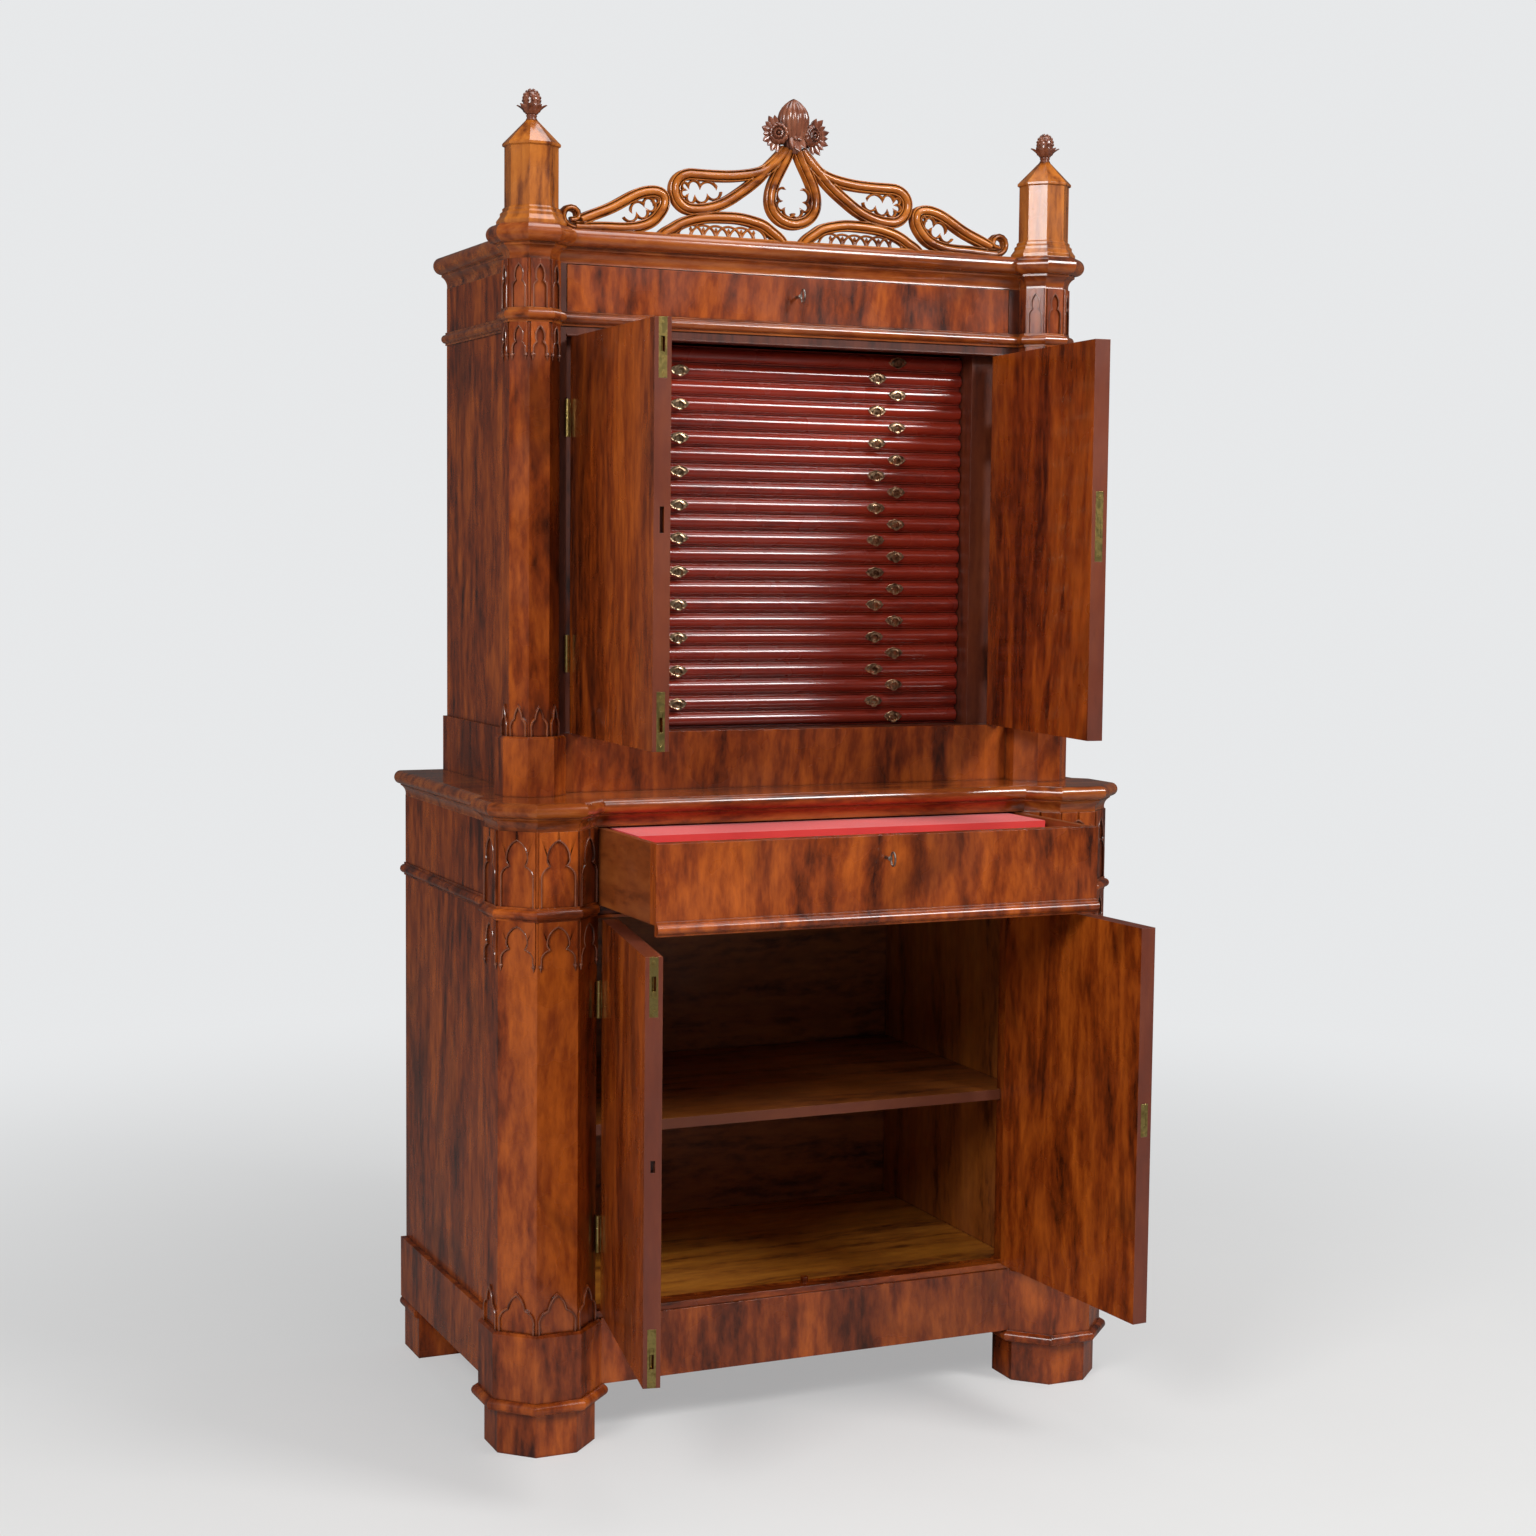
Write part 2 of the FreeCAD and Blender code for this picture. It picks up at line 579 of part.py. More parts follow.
def make_lower_boards():
    """Make the floor, shelf, dust board, inner linings and the door stop of the base."""
    half = LOWER_SIDE_X - SIDE_THICKNESS
    block_face = LOWER_SHAFT + LOWER_BLOCK_PROJECTION
    blocks = octagon_block(block_face, LOWER_X, 0, 0, SLAB_Z)
    blocks = blocks.fuse(mirror(blocks))
    shafts = lower_shaft(0, SLAB_Z)
    shafts = shafts.fuse(mirror(shafts))
    floor_y = LOWER_FRONT_Y + LEDGE_DEPTH
    floor_top = LOWER_OPENING_Z - LEDGE_STEP
    floor = board(-half, half, floor_y, BACK_Y, LOWER_OPENING_Z - FLOOR_THICKNESS, floor_top)
    floor = floor.cut(blocks)
    lining_y = LOWER_SHAFT
    dust_top = LOWER_BAND_Z + DUST_BOARD_THICKNESS
    lining = board(LINING_X, LINING_X + LINING_THICKNESS, lining_y, BACK_Y, floor_top, LOWER_BAND_Z)
    lining = lining.cut(octagon_block(block_face, LOWER_X, 0, 0, LOWER_OPENING_Z))
    shelf_top = LOWER_OPENING_Z + SHELF_HEIGHT_SHARE * LOWER_DOOR_OPENING_HEIGHT
    shelf = board(
        -LINING_X, LINING_X, LOWER_FRONT_Y + SHELF_SETBACK, BACK_Y, shelf_top - SHELF_THICKNESS, shelf_top
    ).cut(shafts)
    dust_y = LOWER_FRONT_Y + DRAWER_LIP_THICKNESS + DOOR_STOP_GAP
    dust = board(-half, half, dust_y, BACK_Y, LOWER_BAND_Z, dust_top).cut(shafts)
    dust = dust.cut(bolt_hole(LOWER_PIN_Y, LOWER_DOOR_WIDTH, LOWER_PIN_X, LOWER_BAND_Z, dust_top))
    rail = board(
        -LOWER_INNER_X, LOWER_INNER_X, LOWER_FRONT_Y + RAIL_RECESS, LOWER_FRONT_Y + DOOR_THICKNESS,
        LOWER_RAIL_Z, LOWER_BAND_Z,
    )
    rail = rail.cut(bolt_hole(LOWER_PIN_Y, LOWER_DOOR_WIDTH, LOWER_PIN_X, LOWER_RAIL_Z, LOWER_BAND_Z))
    sill_y = LOWER_FRONT_Y + LOWER_SILL_SETBACK
    sill = board(
        -LOWER_INNER_X, LOWER_INNER_X, sill_y, sill_y + LOWER_SILL_DEPTH, LOWER_OPENING_Z, LOWER_SILL_Z
    )
    sill = sill.cut(bolt_hole(LOWER_PIN_Y, LOWER_DOOR_WIDTH, LOWER_PIN_X, LOWER_OPENING_Z, LOWER_SILL_Z))
    guide = board(
        LOWER_INNER_X, LOWER_INNER_X + GUIDE_SIZE, lining_y, BACK_Y, dust_top, dust_top + GUIDE_SIZE
    )
    stop_y = LOWER_FRONT_Y + DOOR_THICKNESS + DOOR_STOP_GAP + STOP_KNOB_RADIUS
    stop = Part.makeCylinder(
        STOP_KNOB_RADIUS, LOWER_SILL_HEIGHT + STOP_KNOB_HEIGHT, Vector(0, stop_y, LOWER_OPENING_Z)
    )
    return [floor, shelf, dust, stop, rail, sill] + both_sides([lining, guide])


def band_core(side_x, front_y, z):
    """Return the space inside the case that a band goes round."""
    return board(-side_x, side_x, front_y, REAR_Y + OVERRUN, z - OVERRUN, z + BAND_HEIGHT + OVERRUN)


def make_lower_band():
    """Make the band that goes round the lower columns and back along the sides."""
    ring = octagonal_turning(band_steps(LOWER_SHAFT, LOWER_BAND_Z), LOWER_X, 0)
    sides = moulded_board(band_steps(0, LOWER_BAND_Z), LOWER_SIDE_X, 0, REAR_Y)
    outside = ring.fuse(sides.cut(band_core(LOWER_SIDE_X, -LOWER_SHAFT, LOWER_BAND_Z)))
    right = board(
        LOWER_INNER_X, OVERALL_WIDTH, -OVERALL_WIDTH, REAR_Y, LOWER_BAND_Z, LOWER_BAND_Z + BAND_HEIGHT
    )
    band = outside.common(right)
    band = band.cut(lower_shaft(LOWER_BAND_Z - OVERRUN, LOWER_FRIEZE_Z + OVERRUN))
    band = band.cut(band_core(LOWER_SIDE_X, 0, LOWER_BAND_Z))
    return both_sides(solids_over(band))


def solids_over(shape):
    """Return the solids of a shape, without slivers left by a cut."""
    largest = max(solid.Volume for solid in shape.Solids)
    return [solid for solid in shape.Solids if solid.Volume * len(shape.Solids) * OCTAGON_TURN > largest]


def make_top_slab():
    """Make the slab on the base, which breaks out round the columns."""
    middle = moulded_board(slab_steps(0), LOWER_SIDE_X, LOWER_FRONT_Y, REAR_Y)
    corner = octagonal_turning(slab_steps(LOWER_SHAFT), LOWER_X, 0)
    slab = middle.fuse([corner, mirror(corner)])
    hollow_half = LOWER_SIDE_X - SIDE_THICKNESS
    hollow = board(
        -hollow_half, hollow_half, LOWER_FRONT_Y + PLINTH_THICKNESS, BACK_Y, SLAB_Z - OVERRUN, SLAB_BOARD_Z
    )
    kept = lower_shaft(SLAB_Z - OVERRUN, SLAB_BOARD_Z)
    hollow = hollow.cut(kept.fuse(mirror(kept)))
    return solids_over(slab.cut(hollow).removeSplitter())


def make_upper_plinth():
    """Make the plinth of the upper case."""
    block_face = UPPER_SHAFT + UPPER_BLOCK_PROJECTION
    block = plinth_block(block_face, UPPER_SHAFT, UPPER_X, UPPER_Y, UPPER_Z, UPPER_OPENING_Z)
    octagon = octagon_block(block_face, UPPER_X, UPPER_Y, UPPER_Z, UPPER_OPENING_Z)
    outer = UPPER_SIDE_X + UPPER_PLINTH_STEP
    side = board(outer - PLINTH_THICKNESS, outer, UPPER_Y, REAR_Y, UPPER_Z, UPPER_OPENING_Z).cut(octagon)
    rail_end = UPPER_X - block_face
    rail = board(
        -rail_end, rail_end, UPPER_FRONT_Y, UPPER_FRONT_Y + PLINTH_THICKNESS, UPPER_Z, UPPER_OPENING_Z
    ).cut(octagon.fuse(mirror(octagon)))
    hole_z = UPPER_OPENING_Z - BOLT_THROW - BOLT_HOLE_SPARE
    rail = rail.cut(bolt_hole(UPPER_PIN_Y, UPPER_DOOR_WIDTH, UPPER_PIN_X, hole_z, UPPER_OPENING_Z))
    return both_sides([block, side]) + [rail]


def make_upper_columns():
    """Make the two slim octagonal columns of the upper case."""
    return both_sides([upper_shaft(UPPER_OPENING_Z, CORNICE_Z)])


def make_upper_side_panels():
    """Make the side panels of the upper case."""
    panel = board(UPPER_SIDE_X - SIDE_THICKNESS, UPPER_SIDE_X, UPPER_Y, REAR_Y, UPPER_OPENING_Z, CORNICE_Z)
    panel = panel.cut(upper_shaft(UPPER_OPENING_Z, CORNICE_Z))
    return both_sides([panel])


def make_upper_back_panel():
    """Make the back panel of the upper case."""
    half = UPPER_SIDE_X - SIDE_THICKNESS
    return [board(-half, half, BACK_Y, BACK_Y + BACK_THICKNESS, UPPER_Z, CORNICE_Z)]


def make_upper_boards():
    """Make the floor, dust board, corner posts, stop stiles and drawer cheeks."""
    half = UPPER_SIDE_X - SIDE_THICKNESS
    shafts = upper_shaft(UPPER_Z, CORNICE_Z)
    shafts = shafts.fuse(mirror(shafts))
    floor_y = UPPER_FRONT_Y + PLINTH_THICKNESS
    block_face = UPPER_SHAFT + UPPER_BLOCK_PROJECTION
    blocks = octagon_block(block_face, UPPER_X, UPPER_Y, UPPER_Z, UPPER_OPENING_Z)
    floor = board(-half, half, floor_y, BACK_Y, UPPER_OPENING_Z - FLOOR_THICKNESS, UPPER_OPENING_Z)
    floor = floor.cut(blocks.fuse(mirror(blocks)))
    dust = board(-half, half, UPPER_FRONT_Y, BACK_Y, UPPER_DUST_Z, UPPER_FRIEZE_Z)
    post_y = UPPER_Y + UPPER_SHAFT
    post = board(POST_INNER_X, half, UPPER_FRONT_Y, post_y, UPPER_OPENING_Z, CORNICE_Z).cut(shafts)
    dust = dust.cut([post, mirror(post), shafts])
    rail = board(
        -POST_INNER_X, POST_INNER_X, UPPER_FRONT_Y, UPPER_FRONT_Y + DOOR_THICKNESS,
        UPPER_RAIL_Z, UPPER_DUST_Z,
    )
    bead = Part.makeCylinder(
        RAIL_BEAD_RADIUS, 2 * POST_INNER_X,
        Vector(-POST_INNER_X, UPPER_FRONT_Y, UPPER_RAIL_Z + RAIL_BEAD_RADIUS), Vector(1, 0, 0),
    )
    rail = rail.fuse(bead).removeSplitter()
    rail = rail.cut(bolt_hole(UPPER_PIN_Y, UPPER_DOOR_WIDTH, UPPER_PIN_X, UPPER_RAIL_Z, UPPER_DUST_Z))
    stile = board(
        STILE_INNER_X, POST_INNER_X, STILE_Y, STILE_Y + STILE_THICKNESS, UPPER_OPENING_Z, UPPER_DUST_Z
    )
    cheek = board(
        STILE_INNER_X, STILE_INNER_X + LINING_THICKNESS, STILE_Y + STILE_THICKNESS, BACK_Y,
        UPPER_OPENING_Z, UPPER_DUST_Z,
    )
    return [floor, dust, rail] + both_sides([post, stile, cheek])


def make_drawer_runners():
    """Make the battens on the cheeks that the shallow drawers slide on."""
    runners = []
    runner_y = INNER_DRAWER_Y + INNER_FRONT_DEPTH + RUNNER_SETBACK
    for index in range(INNER_DRAWER_COUNT):
        z = UPPER_RAIL_Z - (index + 1) * INNER_PITCH
        runners.append(board(
            STILE_INNER_X - RUNNER_WIDTH, STILE_INNER_X, runner_y, BACK_Y, z, z + RUNNER_THICKNESS
        ))
    return both_sides(runners)


def make_upper_band():
    """Make the band under the upper frieze, round the columns and along the front and sides."""
    ring = octagonal_turning(band_steps(UPPER_SHAFT, UPPER_BAND_Z), UPPER_X, UPPER_Y)
    straight = moulded_board(band_steps(0, UPPER_BAND_Z), UPPER_SIDE_X, UPPER_FRONT_Y, REAR_Y)
    core = band_core(UPPER_SIDE_X, UPPER_FRONT_Y, UPPER_BAND_Z)
    shafts = upper_shaft(UPPER_BAND_Z - OVERRUN, UPPER_FRIEZE_Z + OVERRUN)
    band = straight.cut(core).fuse([ring, mirror(ring)])
    band = band.cut(core).cut(shafts.fuse(mirror(shafts)))
    return solids_over(band.removeSplitter())


def make_cornice():
    """Make the cornice, which breaks out round the columns under the turrets."""
    middle = moulded_board(cornice_steps(0), UPPER_SIDE_X, UPPER_FRONT_Y, REAR_Y)
    corner = octagonal_turning(cornice_steps(UPPER_SHAFT), UPPER_X, UPPER_Y)
    cornice = middle.fuse([corner, mirror(corner)])
    hollow_half = UPPER_SIDE_X - SIDE_THICKNESS
    hollow_y = UPPER_Y + UPPER_SHAFT
    hollow = board(-hollow_half, hollow_half, hollow_y, BACK_Y, CORNICE_Z - OVERRUN, CORNICE_BOARD_Z)
    return solids_over(cornice.cut(hollow).removeSplitter())


def rotated_to_face(flat, apothem, x, y, face_turn):
    """Lay a piece drawn on the front plane onto one face of an octagonal column."""
    return turn_about_z(place(flat, x, y - apothem, 0), face_turn, x, y)


def arch_outline(half, springing, apex):
    """Return the points and arcs of a pointed ogee arch, from its left foot to its right.

    The arch rises upright to the springing, swings in to a shoulder, and ends in a point.
    """
    rise = apex - springing
    shoulder, low_mid, high_mid = [
        Vector(-half * across, 0, springing + rise * up)
        for across, up in (ARCH_SHOULDER_SHARES, ARCH_FOIL_SHARES, ARCH_HEAD_SHARES)
    ]
    foot = Vector(-half, 0, springing)
    tip = Vector(0, 0, apex)
    left = [Part.Arc(foot, low_mid, shoulder).toShape(), Part.Arc(shoulder, high_mid, tip).toShape()]
    right = [edge.mirror(Vector(0, 0, 0), Vector(1, 0, 0)) for edge in reversed(left)]
    return left, right


def arch_solid(half, foot_z, springing, apex):
    """Make the solid that cuts an arched opening into a fret."""
    left, right = arch_outline(half, springing, apex)
    corner_left = Vector(-half, 0, foot_z)
    corner_right = Vector(half, 0, foot_z)
    sides = [
        Part.makeLine(corner_left, Vector(-half, 0, springing)),
        Part.makeLine(Vector(half, 0, springing), corner_right),
        Part.makeLine(corner_right, corner_left),
    ]
    face = Part.Face(Part.Wire(Part.__sortEdges__(left + right + sides)))
    return place(face.extrude(Vector(0, FRET_THICKNESS + 2 * OVERRUN, 0)), 0, -FRET_THICKNESS - OVERRUN, 0)


def frieze_fret(half, z_low, z_high):
    """Make a frieze fret with an ogee-headed arch, for one face of a column."""
    height = z_high - z_low
    plate = board(-half, half, -FRET_THICKNESS, 0, z_low, z_high)
    springing = z_low + height * FRIEZE_SPRINGING_SHARE
    arch = arch_solid(half - FRET_RIB_WIDTH, z_low - OVERRUN, springing, z_high - height * FRET_TOP_SHARE)
    return plate.cut(arch)


def hanging_fret(half, z_high, height):
    """Make the fret that hangs below a band and ends in drops at the corners."""
    z_low = z_high - height
    leg_z = z_low + DROP_HEIGHT
    plate = board(-half, half, -FRET_THICKNESS, 0, leg_z, z_high)
    springing = leg_z + height * HANGING_SPRINGING_SHARE
    arch = arch_solid(half - FRET_RIB_WIDTH, leg_z - OVERRUN, springing, z_high - height * FRET_TOP_SHARE)
    drops = []
    for side in (-1, 1):
        x = side * (half - DROP_RADIUS)
        points = [
            Vector(x - DROP_RADIUS, 0, leg_z),
            Vector(x + DROP_RADIUS, 0, leg_z),
            Vector(x, 0, z_low),
        ]
        drops.append(polygon_face(points).extrude(Vector(0, -FRET_THICKNESS, 0)))
    return plate.cut(arch).fuse(drops).removeSplitter()


def rising_fret(half, z_low, height):
    """Make the pointed arch rib that stands on a plinth."""
    springing = z_low + height * RISING_SPRINGING_SHARE
    inner_apex = z_low + height - FRET_RIB_WIDTH * RISING_POINT_SHARE
    outer = arch_solid(half, z_low, springing, z_low + height)
    inner = arch_solid(half - FRET_RIB_WIDTH, z_low - OVERRUN, springing, inner_apex)
    front = board(-half, half, -FRET_THICKNESS, 0, z_low, z_low + height)
    return outer.cut(inner).common(front)


def make_tracery(apothem, x, y, frieze_z, top_z, band_z, hanging, opening_z, rising):
    """Make the frets on the four outer faces of a column and of its mirror image."""
    half = octagon_corner_reach(apothem) - FRET_INSET
    pieces = []
    for face in range(-1, 3):
        flats = [
            frieze_fret(half, frieze_z, top_z),
            hanging_fret(half, band_z, hanging),
            rising_fret(half, opening_z, rising),
        ]
        pieces += [rotated_to_face(flat, apothem, x, y, face * OCTAGON_TURN) for flat in flats]
    return both_sides(pieces)


def make_lower_column_tracery():
    """Make the Gothic frets on the lower columns."""
    return make_tracery(
        LOWER_SHAFT, LOWER_X, 0, LOWER_FRIEZE_Z, SLAB_Z, LOWER_BAND_Z, LOWER_HANGING_FRET_HEIGHT,
        LOWER_OPENING_Z, LOWER_RISING_FRET_HEIGHT,
    )


def make_upper_column_tracery():
    """Make the Gothic frets on the upper columns."""
    return make_tracery(
        UPPER_SHAFT, UPPER_X, UPPER_Y, UPPER_FRIEZE_Z, CORNICE_Z, UPPER_BAND_Z, UPPER_HANGING_FRET_HEIGHT,
        UPPER_OPENING_Z, UPPER_RISING_FRET_HEIGHT,
    )


def make_turrets():
    """Make the octagonal turrets and their bud finials."""
    body_z = CREST_Z + TURRET_BASE_HEIGHT
    rim_z = body_z + TURRET_BODY_HEIGHT
    roof_z = rim_z + TURRET_RIM_HEIGHT
    tip_z = roof_z + TURRET_ROOF_HEIGHT
    spread = UPPER_SHAFT + CORNICE_COVE_PROJECTION - TURRET_BODY
    steps = [
        (TURRET_BODY + spread * out, CREST_Z + TURRET_BASE_HEIGHT * up) for out, up in TURRET_BASE_SHARES
    ]
    steps += [
        (TURRET_BODY, rim_z),
        (TURRET_RIM, rim_z + TURRET_RIM_HEIGHT / 3),
        (TURRET_RIM, roof_z),
        (TURRET_NECK, tip_z),
    ]
    turret = octagonal_turning(steps, UPPER_X, UPPER_Y)
    return both_sides([turret, make_finial(tip_z)])


def make_finial(z):
    """Make the right turret's finial, eight-sided: a stem, a leaf cup and a bud."""
    stem, cup, lip, waist, side = [
        (FINIAL_HALF_WIDTH * out, z + FINIAL_HEIGHT * up)
        for out, up in (
            FINIAL_STEM_SHARES, FINIAL_CUP_SHARES, FINIAL_LIP_SHARES, FINIAL_WAIST_SHARES, FINIAL_BUD_SHARES
        )
    ]
    tip = (BLUNT_TIP_RADIUS, z + FINIAL_HEIGHT)
    return octagonal_turning([(TURRET_NECK, z), stem, cup, lip, waist, side, tip], UPPER_X, UPPER_Y)


def unit(angle):
    """Return the direction at an angle in degrees from +X towards +Z."""
    return Vector(math.cos(math.radians(angle)), 0, math.sin(math.radians(angle)))


def joining_arcs(start, start_angle, end, end_angle):
    """Return two arcs that leave one point and reach the next in the given directions."""
    leave = unit(start_angle)
    arrive = unit(end_angle)
    across = end - start
    both = leave + arrive
    straight = across.dot(both)
    shape = 2 * (1 - leave.dot(arrive))
    if abs(shape) < PARALLEL_SHARE:
        reach = across.dot(across) / (4 * across.dot(leave))
    else:
        root = math.sqrt(straight * straight + shape * across.dot(across))
        reach = (root - straight) / shape
    middle = (start + leave * reach + end - arrive * reach) * 0.5
    return [(start, leave, middle), (middle, None, end, arrive)]


def arc_from_direction(start, direction, end):
    """Return the centre and radius of the arc that leaves start along a direction."""
    chord = end - start
    side = Vector(-direction.z, 0, direction.x)
    lean = chord.dot(side)
    if abs(lean) < STRAIGHT_SHARE * chord.Length:
        return None
    return start + side * (chord.dot(chord) / (2 * lean))


def band_piece(start, direction, end, width, y_low, y_high):
    """Make one length of a crest band between two points."""
    centre = arc_from_direction(start, direction, end)
    depth = Vector(0, y_high - y_low, 0)
    if centre is None:
        along = (end - start).normalize()
        side = Vector(-along.z, 0, along.x) * (width / 2)
        face = polygon_face([start - side, end - side, end + side, start + side])
        return place(face.extrude(depth), 0, y_low, 0)
    from_centre = start - centre
    to_centre = end - centre
    radius = from_centre.Length
    inner = max(radius - width / 2, 0)
    outer = radius + width / 2
    begin = math.atan2(from_centre.z, from_centre.x)
    sweep = math.atan2(to_centre.z, to_centre.x) - begin
    ahead = Vector(-from_centre.z, 0, from_centre.x).dot(direction) > 0
    full = 2 * math.pi
    sweep = sweep % full if ahead else -((-sweep) % full)

    def at(reach, share):
        angle = begin + sweep * share
        return centre + Vector(math.cos(angle), 0, math.sin(angle)) * reach

    edges = [Part.Arc(at(outer, 0), at(outer, 0.5), at(outer, 1)).toShape()]
    if inner > 0:
        edges.append(Part.makeLine(at(outer, 1), at(inner, 1)))
        edges.append(Part.Arc(at(inner, 1), at(inner, 0.5), at(inner, 0)).toShape())
        edges.append(Part.makeLine(at(inner, 0), at(outer, 0)))
    else:
        edges.append(Part.makeLine(at(outer, 1), centre))
        edges.append(Part.makeLine(centre, at(outer, 0)))
    face = Part.Face(Part.Wire(edges))
    return place(face.extrude(depth), 0, y_low, 0)


def band_along(stations, width, y_low, y_high):
    """Make the lengths of a crest band that passes its stations in the given directions.

    A station is (share of the crest's half width, share of its arch height, angle).
    """
    pieces = []
    for low, high in zip(stations, stations[1:]):
        start = crest_point(low)
        end = crest_point(high)
        first, second = joining_arcs(start, low[2], end, high[2])
        pieces.append(band_piece(first[0], first[1], first[2], width, y_low, y_high))
        arrival = second[3] * -1
        pieces.append(band_piece(second[2], arrival, second[0], width, y_low, y_high))
    return pieces


def crest_point(station):
    """Return the place of a crest station."""
    return Vector(station[0] * CREST_HALF_WIDTH, 0, CREST_Z + station[1] * CREST_ARCH_HEIGHT)


OUTER_LOBE_SHARES = [
    (0.905, 0.115, 152), (0.773, 0.270, 153), (0.660, 0.430, 160), (0.557, 0.370, 268),
    (0.590, 0.195, 310), (0.664, 0.085, 345), (0.780, 0.055, 0), (0.930, 0.040, 2),
]
SCROLL_SHARES = [(0.930, 0.034, 2), (0.979, 0.150, 90), (0.916, 0.155, 270), (0.948, 0.110, 0)]
UPPER_LOBE_SHARES = [
    (0.032, 1.000, 308), (0.102, 0.806, 322), (0.216, 0.697, 350), (0.443, 0.667, 0),
    (0.514, 0.503, 270), (0.443, 0.303, 182), (0.255, 0.467, 145), (0.136, 0.721, 133),
    (0.036, 1.000, 128),
]
TEARDROP_SHARES = [(0.020, 0.990, 290), (0.052, 0.812, 298), (0.100, 0.445, 268), (0.0, 0.218, 180)]
LOW_ARCH_SHARES = [
    (0.045, 0.0, 62), (0.109, 0.146, 38), (0.193, 0.224, 12), (0.284, 0.242, 358),
    (0.409, 0.212, 347), (0.511, 0.103, 325), (0.568, 0.0, 308),
]
OUTER_FOIL_SHARES = (0.22, 0.74)
UPPER_FOIL_SHARES = (0.30, 0.70)
TEARDROP_FOIL_SHARES = (0.50, 0.98)
ARCADE_START_SHARE = 0.170


def curved_strip(first, middle, last, width, y_low, y_high):
    """Make a curved strip whose middle line is the arc through three points."""
    circle = Part.Circle(first, middle, last)
    centre = circle.Center
    rims = []
    for reach in (circle.Radius - width / 2, circle.Radius + width / 2):
        rims.append([centre + (point - centre) * (reach / circle.Radius) for point in (first, middle, last)])
    inner, outer = rims
    edges = [
        Part.Arc(outer[0], outer[1], outer[2]).toShape(),
        Part.makeLine(outer[2], inner[2]),
        Part.Arc(inner[2], inner[1], inner[0]).toShape(),
        Part.makeLine(inner[0], outer[0]),
    ]
    face = Part.Face(Part.Wire(edges))
    return place(face.extrude(Vector(0, y_high - y_low, 0)), 0, y_low, 0)


def middle_edge(start, direction, end):
    """Return the edge that leaves start along a direction and ends at end."""
    centre = arc_from_direction(start, direction, end)
    if centre is None:
        return Part.makeLine(start, end)
    along = direction + arc_end_direction(start, direction, end) * -1
    bulge = Vector(along.x, 0, along.z).normalize() * (start - centre).Length
    return Part.Arc(start, centre + bulge, end).toShape()


def arc_end_direction(start, direction, end):
    """Return the direction in which the arc that leaves start along a direction reaches end."""
    chord = (end - start).normalize()
    return chord * (2 * chord.dot(direction)) - direction


def band_middle(stations):
    """Return points along the middle of a crest band: a pair to each foil that fits its length."""
    edges = []
    for low, high in zip(stations, stations[1:]):
        start = crest_point(low)
        end = crest_point(high)
        first, second = joining_arcs(start, low[2], end, high[2])
        edges.append(middle_edge(first[0], first[1], first[2]))
        edges.append(middle_edge(second[2], second[3] * -1, second[0]))
    wire = Part.Wire(Part.__sortEdges__(edges))
    count = round(wire.Length / FOIL_PITCH)
    points = wire.discretize(Number=2 * count + 1)
    origin = crest_point(stations[0])
    if (points[-1] - origin).Length < (points[0] - origin).Length:
        points.reverse()
    return points


def inside_band(points, index, side, reach):
    """Return the place beside one of a band's middle points; side is 1 on the left of its course."""
    course = (points[min(index + 1, len(points) - 1)] - points[max(index - 1, 0)]).normalize()
    return points[index] + Vector(-course.z, 0, course.x) * (side * reach)


def foils(stations, span_shares, side, middle_y):
    """Make the scalloped foils along the inside of a lobe, over a span of its course."""
    points = band_middle(stations)
    count = (len(points) - 1) / 2
    seat = CREST_BAND_WIDTH / 2 + FOIL_WIDTH / 2 - FOIL_SEAT
    cusp = CREST_BAND_WIDTH / 2 + FOIL_DEPTH
    pieces = []
    for index in range(round(count * span_shares[0]), round(count * span_shares[1])):
        first = inside_band(points, 2 * index, side, cusp)
        middle = inside_band(points, 2 * index + 1, side, seat)
        last = inside_band(points, 2 * index + 2, side, cusp)
        pieces.append(curved_strip(
            first, middle, last, FOIL_WIDTH, middle_y - FOIL_THICKNESS / 2, middle_y + FOIL_THICKNESS / 2
        ))
    return pieces


def arcade(middle_y):
    """Make the interlaced round arches under a low arch, and the posts at their feet."""
    y_low = middle_y - FOIL_THICKNESS / 2
    y_high = middle_y + FOIL_THICKNESS / 2
    pieces = []
    for index in range(ARCADE_COUNT):
        centre = Vector(ARCADE_START_SHARE * CREST_HALF_WIDTH + index * ARCADE_RADIUS, 0, CREST_Z)
        reach = Vector(ARCADE_RADIUS, 0, 0)
        top = centre + Vector(0, 0, ARCADE_RADIUS)
        pieces.append(curved_strip(centre - reach, top, centre + reach, ARCADE_WIDTH, y_low, y_high))
        half = ARCADE_POST_WIDTH / 2
        post_z = CREST_Z + CREST_RAIL_HEIGHT + ARCADE_POST_HEIGHT
        pieces.append(board(centre.x - half, centre.x + half, y_low, y_high, CREST_Z, post_z))
    return pieces


def crest_layer(width_share, y_low, y_high):
    """Make one layer of the crest's bands, as wide as a share of the full bands."""
    wide = CREST_BAND_WIDTH * width_share
    pieces = []
    for stations in (OUTER_LOBE_SHARES, UPPER_LOBE_SHARES, TEARDROP_SHARES, LOW_ARCH_SHARES):
        pieces += band_along(stations, wide, y_low, y_high)
    pieces += band_along(SCROLL_SHARES, CREST_SCROLL_WIDTH * width_share, y_low, y_high)
    return both_sides(pieces)


